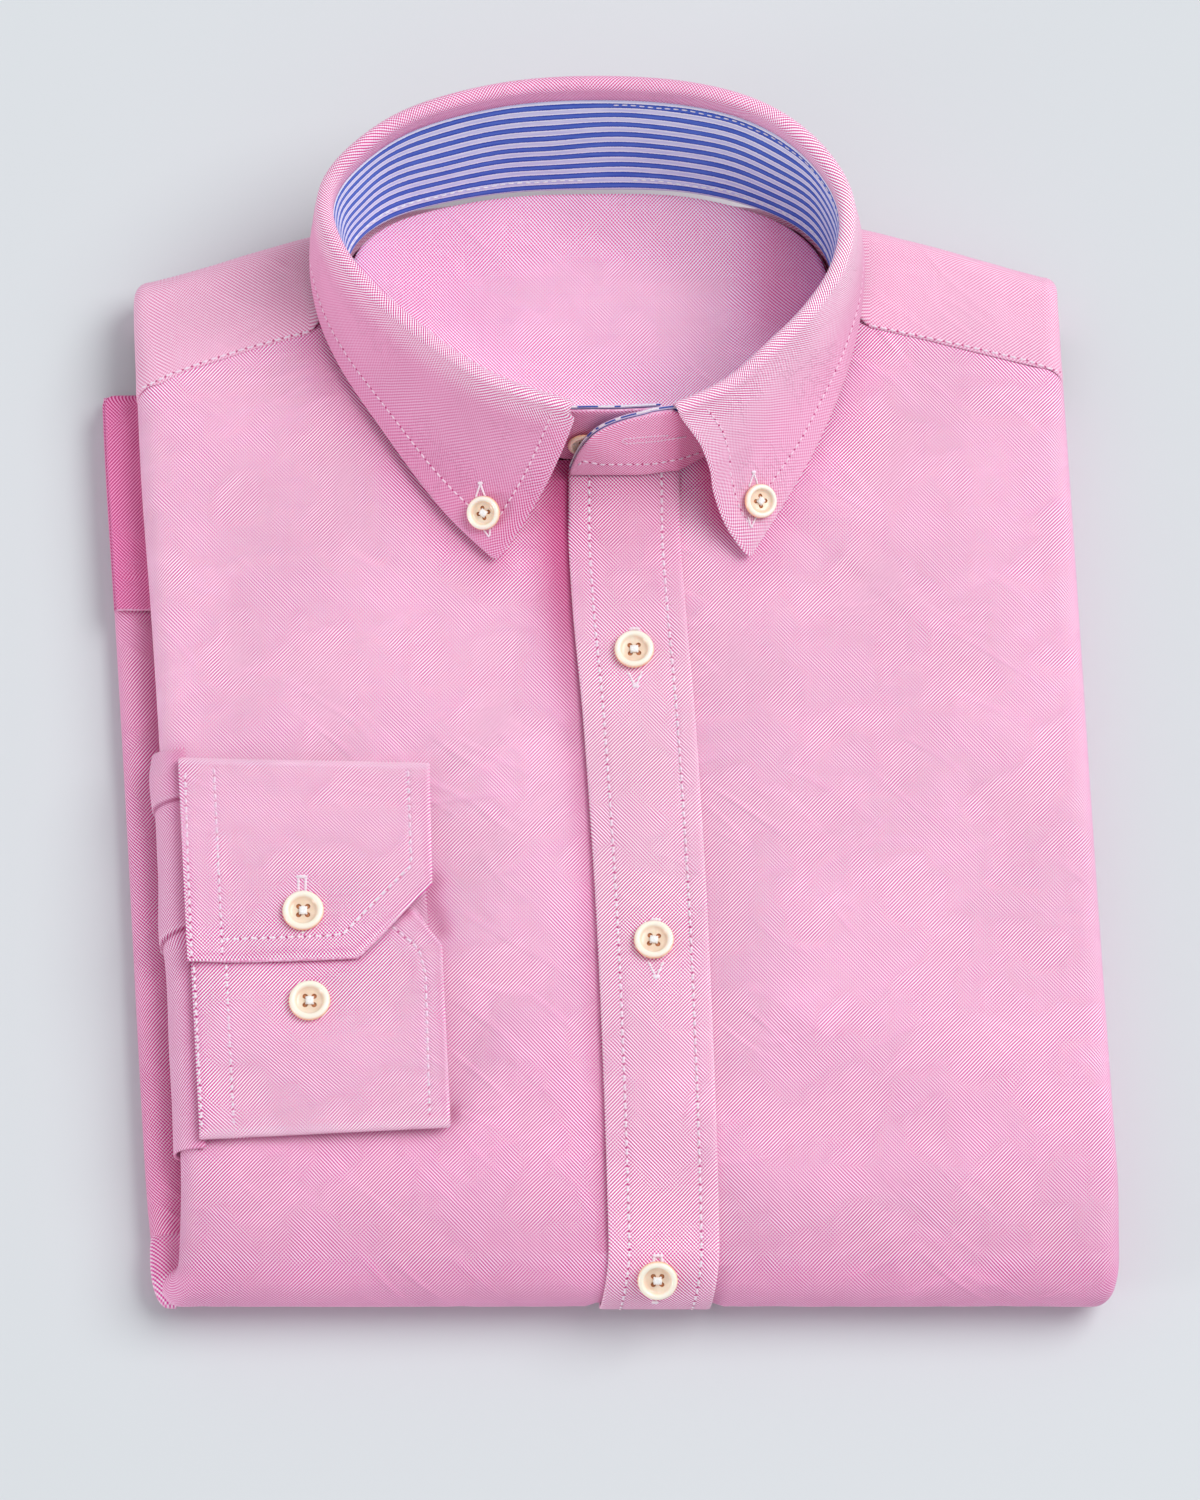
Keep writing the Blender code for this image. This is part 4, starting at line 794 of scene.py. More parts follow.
def front_painted_light(side, rows):
    """Painted light on the fronts, and how crisp the weave is: the colour is deepened and dimmed as painted shade
    between the layers at the left, on and towards the bottom roll, over the lower half, under the collar leaves, round
    the cuff, left of the placket and beside the right leaf.
    """
    out = []
    low_edge = side < 0
    for (kind, value), line in zip(ROWS, rows):
        painted_light_and_crisp = []
        for x, y, z in line:
            painted_shade, painted_dim = 0.0, 1.0
            if side < 0 and kind in ("under", "roll", "end"):
                low = 1.0 if kind != "roll" else smooth((value - 95.0) / 60.0)
                painted_shade = 1.15 * low * smooth((z - 1.0) / 6.0)
                if kind == "under":
                    painted_shade += 0.35 * smooth((110.0 - value) / 70.0) * smooth((z - 1.0) / 6.0)
                    painted_shade += 1.0 * math.exp(-(max(0.0, upper(value, "left") - x) / 2.6) ** 2) * smooth((z - 6.0) / 3.0)
                    painted_dim = 1.0 - 0.16 * math.exp(-(max(0.0, upper(value, "left") - x) / 1.8) ** 2) * smooth((z - 6.0) / 3.0)
            crisp = 1.0 if kind != "roll" else lerp(1.0, 0.35, smooth(value / 38.0))
            if kind == "roll" and value < 100:
                painted_shade = max(painted_shade, lerp(0.40, 0.62, smooth(value / 30.0)))
                painted_dim = lerp(0.885, 0.985, smooth((value - 6.0) / 42.0))
            if kind == "top":
                # painted shade: darker towards the bottom roll
                painted_dim = 1.0 - 0.115 * smooth((50.0 - y) / 34.0)
                crisp = lerp(0.55, lerp(1.5, 0.95, smooth((y - 50.0) / 170.0)), smooth((y - ROLL_Y) / 12.0))
                painted_shade = (0.46 if side < 0 else 0.30) * smooth((135.0 - y) / 100.0)
                painted_shade = max(painted_shade, (1.10 if side < 0 else 0.55) * math.exp(-(beside(LEAF_SHADE[side], x, y) / 7.5) ** 2))
                if side < 0 and x < -36.0:
                    at_cuff = min(beside(CUFF_SHADE, x, y), beside(NOTCH_SHADE, x, y))
                    painted_shade = max(painted_shade, 1.45 * math.exp(-(at_cuff / 2.9) ** 2))
                    painted_dim *= 1.0 - 0.16 * math.exp(-(at_cuff / 2.2) ** 2)
                    wide_shade = math.exp(-(beside(CUFF_SHADE, x, y) / 8.0) ** 2) * smooth((x + 104.0) / 14.0)
                    painted_shade += 0.20 * wide_shade
                    painted_dim *= 1.0 - 0.075 * wide_shade
                if side > 0:
                    # painted shadow beside the right leaf's front edge; the dim factor rises there to keep the shade's
                    # red
                    right_leaf_shadow = smooth((y - 222.0) / 14.0) * math.exp(-(beside(LEAF_FRONT, x, y) / 5.0) ** 2)
                    painted_shade = max(painted_shade, 2.35 * right_leaf_shadow)
                    painted_dim *= 1.0 + 0.18 * right_leaf_shadow
                if side < 0:
                    away = curve(PLACKET, "y", y, "left") - x
                    painted_shade = max(painted_shade, lerp(1.35, 2.9, smooth((y - 165.0) / 65.0)) * math.exp(-(max(0.0, away) / lerp(4.6, 11.0, smooth((y - 130.0) / 110.0))) ** 2))
                    painted_dim *= 1.0 - lerp(0.03, 0.15, smooth((y - 115.0) / 60.0)) * math.exp(-(max(0.0, away) / 6.0) ** 2)
                painted_shade = max(painted_shade, 0.40 * smooth((30.0 - y) / 12.0))
            if low_edge and kind in ("under", "end"):
                crisp = 1.7
            painted_light_and_crisp.append((painted_shade, crisp, painted_dim))
        out.append(painted_light_and_crisp)
    return out


front_cloth = shirting("front_shirting", toned=True, contrast=1.8, bias=0.09, streak=0.20, creased=1.5)
rows, uvs = front_rows(1)
shell("left_front_cloth", rows, uvs, CLOTH, front_cloth, ["left_front"], flip=True, painted_light_and_crisp=front_painted_light(1, rows))
rows, uvs = front_rows(-1)
shell("right_front_cloth", rows, uvs, CLOTH, front_cloth, ["right_front"], painted_light_and_crisp=front_painted_light(-1, rows))

# ---------------------------------------------------------------- placket: sewn band with a puffed margin outside each row of stitching
BAND_F = [0.0, 0.012, 0.03, 0.06, 0.1, 0.14, 0.165, 0.187, 0.21, 0.24, 0.3, 0.37, 0.44, 0.5, 0.56, 0.63, 0.7, 0.76, 0.79, 0.813, 0.835, 0.86, 0.9, 0.94, 0.97, 0.988, 1.0]
ROW_LEFT, ROW_RIGHT = 0.187, 0.838     # the two rows of stitching, as shares of the band's width
STITCH = 2.72


def band_height(f, run):
    """Rise and fall across the band: edges rounded, stitched channels pressed in."""
    edge_soft = 0.55 * (math.exp(-(f / 0.014) ** 2) + math.exp(-((1 - f) / 0.014) ** 2))
    pucker = 0.5 + 0.5 * math.cos(2 * math.pi * run / STITCH)
    channel = (0.26 + 0.16 * pucker) * math.exp(-((f - ROW_LEFT) / 0.022) ** 2) + (0.26 + 0.16 * pucker) * math.exp(-((f - ROW_RIGHT) / 0.022) ** 2)
    return -edge_soft - channel


rows, uvs = [], []
BAND_TOP = [249.6 - (249.6 - ROLL_Y) * k / 345 for k in range(346)]
BAND_ROWS = [("top", y) for y in BAND_TOP] + [("roll", 3.0 + 3.0 * k) for k in range(59)] + [("under", y) for y in (ROLL_Y, 60.0, 130.0, 200.0, 250.0, LOWER_END)]
for kind, value in BAND_ROWS:
    line, grain = [], []
    for f in BAND_F:
        y = value if kind != "roll" else ROLL_Y
        x = lerp(curve(PLACKET, "y", y, "left"), curve(PLACKET, "y", y, "right"), f) + drift(kind, value)
        if kind == "top":
            run = y
            z = front_z(x, y) + BAND_RISE - 0.1 + band_height(f, run) - 0.35 * lie(x, y)
            line.append((x, y, z))
        elif kind == "roll":
            a = math.radians(value)
            run = ROLL_Y - (ROLL_R + 1.0) * a
            fade = 1 - smooth(value / 180.0)
            rho = ROLL_R + BAND_RISE * fade - 0.1 * fade + band_height(f, run) * fade - 0.3 * roll_lie(x, value)
            line.append((x, ROLL_Y - rho * math.sin(a), ROLL_R + rho * math.cos(a)))
        else:
            run = ROLL_Y - (ROLL_R + 1.0) * math.pi - (y - ROLL_Y)
            line.append((x, value, 0.0))
        grain.append((x, run))
    rows.append(line)
    uvs.append(grain)
placket_cloth = shirting("placket_shirting", seed=37.0, contrast=1.7, deep=(0.70, 0.035, 0.31), pale=(1.0, 0.945, 0.99), toned=True, bias=0.04, streak=0.20, creased=0.7)
# painted light on the placket: shade deepening towards the collar and the bottom, and a painted highlight along both
# folded edges
def placket_painted_light(kind, value, f):
    deep = 0.75 * smooth((value - 185.0) / 50.0) + 0.28 * smooth((125.0 - value) / 90.0) if kind == "top" else 0.28
    lit = math.exp(-(f / 0.016) ** 2) + math.exp(-((1 - f) / 0.016) ** 2)
    return (deep - 0.9 * lit, (1.15 if kind == "top" else 0.6) * (1 - 0.6 * lit))


shell("placket_band", rows, uvs, 1.0, placket_cloth, ["placket"], flip=True, painted_light_and_crisp=[[placket_painted_light(kind, value, f) for f in BAND_F] for kind, value in BAND_ROWS])


# ---------------------------------------------------------------- yoke
def yoke_path(x):
    out = curve(SHOULDER, "x", x, "y")
    start = curve(YOKE_START, "x", x, "y") if -84 < x < 78 else curve(SEAM, "x", x, "y")
    axis = out - SHOULDER_R
    z0 = front_z(x, curve(SEAM, "x", x, "y")) + CLOTH - 0.05
    line = []
    if start < axis:
        base = curve(SEAM, "x", x, "y")
        for k in range(13):
            y = lerp(start, axis, k / 12)
            t = (y - base) / (axis - base)
            line.append((y, lerp(z0, 2 * SHOULDER_R, smooth(t) * 0.6 + t * t * 0.4), 0.0, 1.0))
        first = 0.0
    else:
        first = math.degrees(math.asin(min(1.0, (start - axis) / SHOULDER_R)))
    for k in range(25):
        a = math.radians(lerp(first, 180.0, k / 24))
        line.append((axis + SHOULDER_R * math.sin(a), SHOULDER_R + SHOULDER_R * math.cos(a), math.sin(a), math.cos(a)))
    line.append((YOKE_BACK, 0.0, 0.0, -1.0))
    return line


def along(line, t):
    total = [0.0]
    for a, b in zip(line, line[1:]):
        total.append(total[-1] + math.hypot(b[0] - a[0], b[1] - a[1]))
    want = t * total[-1]
    for k in range(len(line) - 1):
        if total[k + 1] >= want:
            f = (want - total[k]) / max(1e-9, total[k + 1] - total[k])
            return tuple(lerp(line[k][i], line[k + 1][i], f) for i in range(4)) + (want,)
    return line[-1] + (total[-1],)


YOKE_T = [0.0, 0.006, 0.014, 0.026, 0.04, 0.055, 0.07, 0.09] + [0.12 + 0.88 * k / 52 for k in range(53)]
YOKE_X = [-124, -120, -116, -112, -108, -104, -100, -96, -92, -88, -84, -81, -79, -77, -75, -73, -71, -68, -64, -58, -52, -44, -36, -28, -18, -10,
          -2, 6, 14, 24, 32, 39, 45, 52, 58, 62, 65, 67, 69, 71, 73, 75, 78, 81, 84, 88, 92, 96, 100, 104, 108, 112, 116, 119, 122]


def yoke_lie(x, y):
    return 0.25 + 0.22 * noise.noise(Vector((x / 26.0, y / 18.0, 2.2))) + 0.10 * noise.noise(Vector((x / 10.0, y / 9.0, 6.2)))


def yoke_rows():
    rows, uvs = [], []
    paths = {x: yoke_path(float(x)) for x in YOKE_X}
    paths_in = {side: yoke_path(-128.0 if side < 0 else 126.5) for side in (-1, 1)}
    for t in YOKE_T:
        line, grain = [], []
        edge_r = lerp(6.9, 4.6, smooth(t / 0.4))
        ends = []
        for side in (-1, 1):
            y, z, ny, nz, run = along(paths_in[side], t)
            outer = upper(min(y, 305.0), "left" if side < 0 else "right") + side * 0.3
            if t > 0.5:
                outer -= side * 1.0 * smooth((t - 0.5) * 3)
            seam = math.exp(-((run - 1.3) / 0.8) ** 2) * 0.22
            down = 0.5 * math.exp(-(run / 0.45) ** 2) + seam + yoke_lie(outer, y + z) * smooth(run / 6.0)
            arcs, grains = [], []
            for arc in [90] + ARC:
                a = math.radians(arc)
                depth = edge_r - edge_r * math.sin(a)
                drop = seam_drop(arc) * (1 - smooth(t / 0.3))
                keep = max(0.0, math.sin(a))
                out = down * (1 - keep)
                arcs.append((outer - side * edge_r + side * (edge_r - out) * math.cos(a), y - ny * (depth + down * keep) - drop, z - nz * (depth + down * keep)))
                grains.append((outer - side * edge_r + side * edge_r * (math.pi / 2 - a), run))
            arcs.append((outer - side * (edge_r + 5.0), y - ny * 2 * edge_r - seam_drop(-90) * (1 - smooth(t / 0.3)), z - nz * 2 * edge_r))
            grains.append((outer - side * edge_r + side * (edge_r * math.pi + 5.0), run))
            ends.append((arcs, grains))
        line += ends[0][0][::-1]
        grain += ends[0][1][::-1]
        for x in YOKE_X[1:-1]:
            y, z, ny, nz, run = along(paths[x], t)
            sewn = x < -72 or x > 70
            down = yoke_lie(x, y + z) * smooth(run / 6.0)
            if sewn:
                down += 0.5 * math.exp(-(run / 0.45) ** 2) + math.exp(-((run - 1.3) / 0.8) ** 2) * 0.22
            line.append((x, y - ny * down, z - nz * down))
            grain.append((x, run))
        line += ends[1][0]
        grain += ends[1][1]
        rows.append(line)
        uvs.append(grain)
    return rows, uvs


yoke_cloth = shirting("yoke_shirting", seed=81.0, contrast=0.36, creased=0.75, deep=(0.72, 0.055, 0.29), pale=(1.0, 0.86, 0.97))
rows, uvs = yoke_rows()
shell("yoke_cloth", rows, uvs, CLOTH, yoke_cloth, ["yoke"])

# ---------------------------------------------------------------- back: the stretch that shows underneath
rows, uvs = [], []
profile = [(YOKE_BACK - 0.4, 0.0, 12.0), (299.0, 0.05, 13.0), (296.0, 0.4, 14.0), (293.0, 1.9, 16.0), (290.0, 4.2, 18.0), (287.5, 6.6, 20.0), (285.0, 8.6, 22.0), (281.0, 9.5, 25.0), (272.0, 9.8, 27.0)]
for k in range(25):
    i = min(len(profile) - 2, int(k / 24 * (len(profile) - 1)))
    f = k / 24 * (len(profile) - 1) - i
    y, z, inset = (lerp(profile[i][c], profile[i + 1][c], f) for c in range(3))
    left, right = upper(300.0, "left") + inset, upper(300.0, "right") - inset
    line = []
    for m in range(61):
        x = lerp(left, right, m / 60)
        line.append((x, y, z + 0.25 * abs(noise.noise(Vector((x / 9.0, y / 12.0, 4.0)))) * smooth(k / 6)))
    rows.append(line)
    uvs.append([(p[0], 400.0 - k * 1.5) for p in line])
shell("back_cloth", rows, uvs, CLOTH, shirting("back_shirting", seed=44.0, bias=0.09), ["back"])

# ---------------------------------------------------------------- hidden layers: edges of the stacked plies, seen only between the packets
INSET = 1.5


def core_top(x, y):
    z = front_z(x, y) - INSET - 0.1
    base, axis = curve(SEAM, "x", x, "y"), curve(SHOULDER, "x", x, "y") - SHOULDER_R
    if y > base:
        t = min(1.0, (y - base) / (axis - base))
        z = min(z, lerp(z + 0.6, 2 * SHOULDER_R - 1.2 - 0.7, smooth(t) * 0.6 + t * t * 0.4) - 0.6)
    across = max(0.0, abs(x + 3.0) - 80.0) / 10.0
    along_y = max(0.0, 240.0 - y) / 12.0
    hollow = 1 - smooth(max(across, along_y))
    return lerp(z, NECK_FLOOR - 1.2 - 0.6, hollow)


CORE_F = [k / 40 for k in range(41)]
PLY_ARC = [84 - 8 * k for k in range(22)]


def core_loop(kind, value):
    clear = INSET + 0.5
    if kind == "shoulder":
        y0, clear, r = 300.0, 13.5, 5.0
        left, right = upper(y0, "left") + clear, upper(y0, "right") - clear
    elif kind == "top":
        y0 = value
        clear = lerp(clear, 13.5, smooth((y0 - 262.0) / 12.0))
        r = lerp(side_radius(y0) - INSET, 5.0, smooth((y0 - 262.0) / 12.0))
        left, right = upper(y0, "left") + clear, upper(y0, "right") - clear
    elif kind == "roll":
        left, right = span(-1, (kind, value))[0] + clear, span(1, (kind, value))[0] - clear
        y0, r = ROLL_Y, 5.95 - INSET
    else:
        y0 = min(value, LOWER_END) if kind == "under" else LOWER_END
        r = lower_radius(y0) - INSET
        left, right = lower(y0, "left") + clear, lower(y0, "right") - clear

    def bottom(y):
        z = upper(y, "mid") + 0.35 + INSET + 0.1
        return lerp(z, 2.0, smooth((y - 288.0) / 16.0))

    def at(x, level):
        if kind == "shoulder":
            axis = curve(SHOULDER, "x", x, "y") - SHOULDER_R
            b = math.radians(value)
            top = min(15.0, core_top(x, 300.0))
            z = lerp(top, 1.8, level)
            centre = (top + 1.8) / 2
            return (x, axis - 2.0 + 6.0 * math.sin(b), centre + (z - centre) * math.cos(b))
        if kind == "top":
            y = value
            if value > 290:
                y = lerp(290.0, curve(SHOULDER, "x", x, "y") - SHOULDER_R - 2.0, (value - 290.0) / 20.0)
            top = min(core_top(x, y), lerp(30.0, 15.0, smooth((y - 290.0) / 25.0)) if value > 290 else 30.0)
            return (x, y, lerp(top, bottom(y), level))
        if kind == "roll":
            a = math.radians(value)
            rho = ROLL_R - lerp(INSET + 0.1 + BAND_RISE * smooth(value / 180.0), 2 * 5.95 - INSET - 0.6, level)
            return (x, ROLL_Y - rho * math.sin(a), ROLL_R + rho * math.cos(a))
        r0 = lower_radius(y0)
        z = lerp(INSET + 0.1 + BAND_RISE, 2 * r0 - INSET - 0.1, level)
        if kind == "under":
            return (x, value, z)
        b = math.radians(value)
        return (x, LOWER_END + 4.0 * math.sin(b), r0 + (z - r0) * math.cos(b))

    top = [at(lerp(left + r, right - r, f), 0.0) for f in CORE_F]
    low = [at(lerp(left + r, right - r, 1 - k / 24), 1.0) for k in range(25)]

    def edge(x_end, side):
        points = []
        for a in PLY_ARC:
            level = 0.5 - 0.5 * math.sin(math.radians(a))
            ply = 0.30 * (0.5 + 0.5 * math.cos(2 * math.pi * level * 5))
            b = math.radians(a)
            points.append(at(x_end - side * r + side * (r - ply) * math.cos(b), level))
        return points
    return top + edge(right, 1) + low + edge(left, -1)[::-1]


loops = [core_loop("shoulder", b) for b in (75, 60, 45, 30, 15)]
loops += [core_loop("top", y) for y in (310.0, 306.0, 302.0, 299.0, 296.0, 292.5, 289.0, 285.5, 282.0, 278.0, 274.0, 268.0, 262.0, 256.0, 250.0, 245.0, 240.0, 234.0, 228.0,
                                       210.0, 190.0, 170.0, 150.0, 130.0, 110.0, 90.0, 70.0, 55.0, 40.0, 27.0, ROLL_Y)]
loops += [core_loop("roll", a) for a in range(12, 180, 12)]
loops += [core_loop("under", y) for y in (ROLL_Y, 40.0, 70.0, 105.0, 140.0, 175.0, 210.0, 245.0, LOWER_END)]
loops += [core_loop("end", b) for b in (20, 40, 55, 70)]
bm = bmesh.new()
layer = bm.loops.layers.uv.new("grain")
rings = [[bm.verts.new(W(p)) for p in loop] for loop in loops]
n = len(rings[0])
around = [0.0]
for i in range(n):
    around.append(around[-1] + (rings[20][(i + 1) % n].co - rings[20][i].co).length / MM)
down = [0.0]
for a, b in zip(rings, rings[1:]):
    down.append(down[-1] + (b[len(CORE_F) + 10].co - a[len(CORE_F) + 10].co).length / MM)
for j, (a, b) in enumerate(zip(rings, rings[1:])):
    for i in range(n):
        face = bm.faces.new((a[i], a[(i + 1) % n], b[(i + 1) % n], b[i]))
        face.smooth = True
        for loop, c in zip(face.loops, ((around[i], down[j]), (around[i + 1], down[j]), (around[i + 1], down[j + 1]), (around[i], down[j + 1]))):
            loop[layer].uv = c
bm.faces.new(rings[0][::-1])
bm.faces.new(rings[-1])
bmesh.ops.recalc_face_normals(bm, faces=bm.faces)
# the hidden layers get a darker copy of the shirting: painted shade between the packets
layers_shaded_cloth = shirting("folded_layers_shaded_shirting", deep=(0.48, 0.03, 0.16), pale=(0.80, 0.45, 0.62), seed=12.0)
core = loose("folded_layers_cloth", bm, [layers_shaded_cloth])
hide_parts("folded_layers")

# ---------------------------------------------------------------- collar band, its striped lining, the leaf
LINING_PLY, STAND_PLY, COLLAR_PLY, CUFF_PLY = 0.9, 1.0, 1.1, 1.3


def away_from(line, x, y):
    """Distance from (x, y) to a line of points, and how far along the line the nearest point is."""
    best, run, at = 1e9, 0.0, 0.0
    for (ax, ay), (bx, by) in zip(line, line[1:]):
        dx, dy = bx - ax, by - ay
        n = math.hypot(dx, dy)
        t = min(1.0, max(0.0, ((x - ax) * dx + (y - ay) * dy) / (n * n)))
        d = math.hypot(x - ax - dx * t, y - ay - dy * t)
        if d < best:
            best, at = d, run + t * n
        run += n
    return best, at


def ring_normal(s):
    ax, ay = station(COLLAR["top_x"], s - 0.2), station(COLLAR["top_y"], s - 0.2)
    bx, by = station(COLLAR["top_x"], s + 0.2), station(COLLAR["top_y"], s + 0.2)
    dx, dy = bx - ax, by - ay
    d = math.hypot(dx, dy)
    return (-dy / d, dx / d)


RING = [k * 0.15 for k in range(121)]
BAND_UP = [0.0, 0.02, 0.05, 0.1, 0.16, 0.22, 0.28, 0.34, 0.4, 0.46, 0.52, 0.58, 0.64, 0.7, 0.76, 0.82, 0.88, 0.93, 0.965, 0.985, 1.0]


def stand_rows(offset, trim_low, trim_top, wave=0.0):
    """The band's face `offset` outside its inner face, with the two ends run past each other at the front."""
    rows, runs, run = [], [], 0.0

    def row(low, top, normal, tall=1.0, place=0.0):
        nonlocal run
        nx, ny = normal
        a = Vector((low[0] + nx * offset, low[1] + ny * offset, low[2]))
        b = Vector((top[0] + nx * offset, top[1] + ny * offset, top[2]))
        up = (b - a).normalized()
        a2, b2 = a + up * trim_low, a + (b - a) * tall - up * trim_top
        if (b2 - a2).dot(up) < 1.2:
            b2 = a2 + up * 1.2
        points = []
        for f in BAND_UP:
            p = a2.lerp(b2, f)
            w = wave * math.sin(math.pi * f) * (0.5 * math.sin(place * 2.1 + 0.6) + 0.35 * math.sin(place * 4.7 + 1.9) + 0.3 * noise.noise(Vector((place * 1.3, f * 2.2, 3.3))))
            edge = 0.30 * (math.exp(-(f * (b2 - a2).length / 0.5) ** 2) + math.exp(-((1 - f) * (b2 - a2).length / 0.5) ** 2))
            p = p + Vector((nx, ny, 0.0)) * (w - edge * (1 if offset > 0 else -1))
            points.append(tuple(p))
        if rows:
            run += (Vector(points[len(points) // 2]) - Vector(rows[-1][len(points) // 2])).length
        rows.append(points)
        runs.append(run)
    low0 = tuple(COLLAR["low_" + k][0] for k in "xyz")
    top0 = tuple(COLLAR["top_" + k][0] for k in "xyz")
    for k in range(12):
        x = lerp(UNDERLAP_X[1], UNDERLAP_X[0] - 8.0, k / 11)
        dy = lerp(1.5, 0.3, k / 11)
        row((x, low0[1] + dy, low0[2]), (x, top0[1] + dy, top0[2] - 2.0 + 1.2 * smooth((k - 5) / 6)), (0.0, -1.0), place=-1.0)
    for s in RING:
        low = tuple(station(COLLAR["low_" + k], s) for k in "xyz")
        top = tuple(station(COLLAR["top_" + k], s) for k in "xyz")
        n = ring_normal(min(17.8, max(0.2, s)))
        if s > 16.5:
            w = smooth((s - 16.5) / 1.5)
            n = Vector((lerp(n[0], 0.0, w), lerp(n[1], -1.0, w))).normalized()
        if s < 1.0:
            w = smooth(1.0 - s)
            n = Vector((lerp(n[0], 0.0, w), lerp(n[1], -1.0, w))).normalized()
        row(low, top, n, place=s)
    low18 = tuple(COLLAR["low_" + k][18] for k in "xyz")
    top18 = tuple(COLLAR["top_" + k][18] for k in "xyz")
    for k in range(1, 49):
        x = lerp(22.5, OVERLAP["x"][-1], (k / 48) ** 0.8)
        tall = curve(OVERLAP, "x", x, "tall") if x < OVERLAP["x"][0] else 1.0
        back = 1.3 * smooth((22.5 - x) / 12.0)
        row((x, low18[1] - back, low18[2]), (x, top18[1] - back, top18[2] + 1.4), (0.0, -1.0), tall, 18.0 + (22.5 - x) / 20.0)
    return rows, runs


# the band's cloth is paler than the fronts' as painted light for its upright face; painted shade deepens its underlap
# rows and the rows towards its overlap end, with a slightly raised dim factor there
band_lit_cloth = shirting("band_lit_shirting", deep=(0.80, 0.13, 0.37), pale=(1.0, 0.90, 0.99), contrast=0.9, seed=5.0, toned=True)
rows, runs = stand_rows(LINING_PLY + 0.45 + STAND_PLY, 0.0, 0.3)
BAND_PAINTED_SHADE = [1.5 if k < 12 else 1.5 * (1 - smooth((k - 12) / 14.0)) for k in range(len(rows))]
shell("collar_band", rows, [[(run, f * 25.0) for f in BAND_UP] for run in runs], STAND_PLY, band_lit_cloth, ["collar_stand"],
      painted_light_and_crisp=[[(tone + (0.85 + 0.9 * smooth((line[0][0] - 14.0) / 9.0)) * smooth((k - len(rows) + 58) / 8.0), 1.0, 1.0 + 0.09 * smooth((k - len(rows) + 58) / 8.0)) for f in BAND_UP] for k, (tone, line) in enumerate(zip(BAND_PAINTED_SHADE, rows))])
rows, runs = stand_rows(0.0, 0.4, 0.0, wave=0.8)
shell("collar_band_lining", rows, [[(run, f * 100.0) for f in BAND_UP] for run in runs], LINING_PLY,
      striped("collar_lining_stripes"), ["collar_stand_lining"], flip=True, edge=edge_cloth("lining_edge", (0.74, 0.42, 0.66), (0.90, 0.72, 0.88)))
LINING_ROWS = rows
PIPED_ROWS = stand_rows(1.15, 0.0, 0.12)[0]

# front edges of the leaf, in mm off a straight line: x by share of the way from the roll to the tip
LEAF_LEFT = {"t": (0.0, 0.22, 0.48, 0.72, 1.0), "x": (4.0, 4.3, 4.3, 3.5, 1.8)}
LEAF_RIGHT = {"t": (0.0, 0.12, 0.25, 0.40, 0.57, 0.78, 1.0), "x": (-1.7, 0.0, 1.2, 0.9, -1.2, -2.4, -0.8)}
TIP_R = 2.9


def leaf_base(s, k):
    """Outer face of the collar leaf: k 0 is its seam on the stand, 1 to 6 the roll, 12 its free edge."""
    tx, ty, tz = (station(COLLAR["top_" + c], s) for c in "xyz")
    ex, ey, ez = (station(COLLAR["edge_" + c], s) for c in "xyz")
    rise = station(COLLAR["rise"], s)
    nx, ny = ring_normal(min(17.8, max(0.2, s)))
    zc = tz + rise + 0.4
    near0, near18 = 1 - smooth(s / 1.6), 1 - smooth((18 - s) / 1.6)
    shift = (LEAF_LEFT["x"][0] - 1.8) * near0 + LEAF_RIGHT["x"][0] * near18
    if k < 1:
        a = Vector((tx, ty, tz + GAP))
        return a.lerp(Vector((tx + shift * k, ty, zc)), k)
    if k <= 6:
        a = math.radians(180 - 36 * (k - 1))
        return Vector((tx + shift + nx * LEAF_ROLL * (1 + math.cos(a)), ty + ny * LEAF_ROLL * (1 + math.cos(a)), zc + LEAF_ROLL * math.sin(a)))
    top = Vector((tx + nx * 2 * LEAF_ROLL, ty + ny * 2 * LEAF_ROLL, zc))
    end = Vector((ex, ey, ez))
    away = math.hypot(ex - top.x, ey - top.y)
    bend = Vector((lerp(top.x, ex, 0.3) + nx * 1.6, lerp(top.y, ey, 0.3) + ny * 1.6, lerp(top.z, ez, 0.62)))
    if away > 14:
        bend.z = lerp(top.z, ez, 0.66)
    t = (k - 6) / 6
    p = top * (1 - t) ** 2 + bend * (2 * t * (1 - t)) + end * t * t
    p.x += curve(LEAF_LEFT, "t", t, "x") * near0 + curve(LEAF_RIGHT, "t", t, "x") * near18
    return p


FALL = [sum((leaf_base(s, 6 + 0.5 * j + 0.5) - leaf_base(s, 6 + 0.5 * j)).length for j in range(12)) for s in range(19)]


def leaf_fall(s):
    return station(FALL, s)


def leaf_normal(s, k):
    a = leaf_base(min(18.0, s + 0.06), k) - leaf_base(max(0.0, s - 0.06), k)
    b = leaf_base(s, min(12.0, k + 0.08)) - leaf_base(s, max(1.0, k - 0.08))
    n = a.cross(b).normalized()
    out = ring_normal(min(17.8, max(0.2, s)))
    want = Vector((out[0], out[1], 0.8)) if k > 4 else Vector((out[0] * 0.3, out[1] * 0.3, 1.0))
    if k <= 2:
        want = Vector((-out[0], -out[1], 0.3))
    return n if n.dot(want) > 0 else -n


def edge_gap(s, k):
    """Millimetres from the leaf's free edge and from its nearer front edge."""
    fall = leaf_fall(s)
    free = (12.0 - k) / 6.0 * fall
    near = s if s < 9 else 18.0 - s
    end = 0.0 if s < 9 else 18.0
    step = 0.25 if s < 9 else -0.25
    wide = (leaf_base(end + step, max(6.0, k)) - leaf_base(end, max(6.0, k))).length / 0.25
    return free, near * wide


STITCH_IN = 6.3


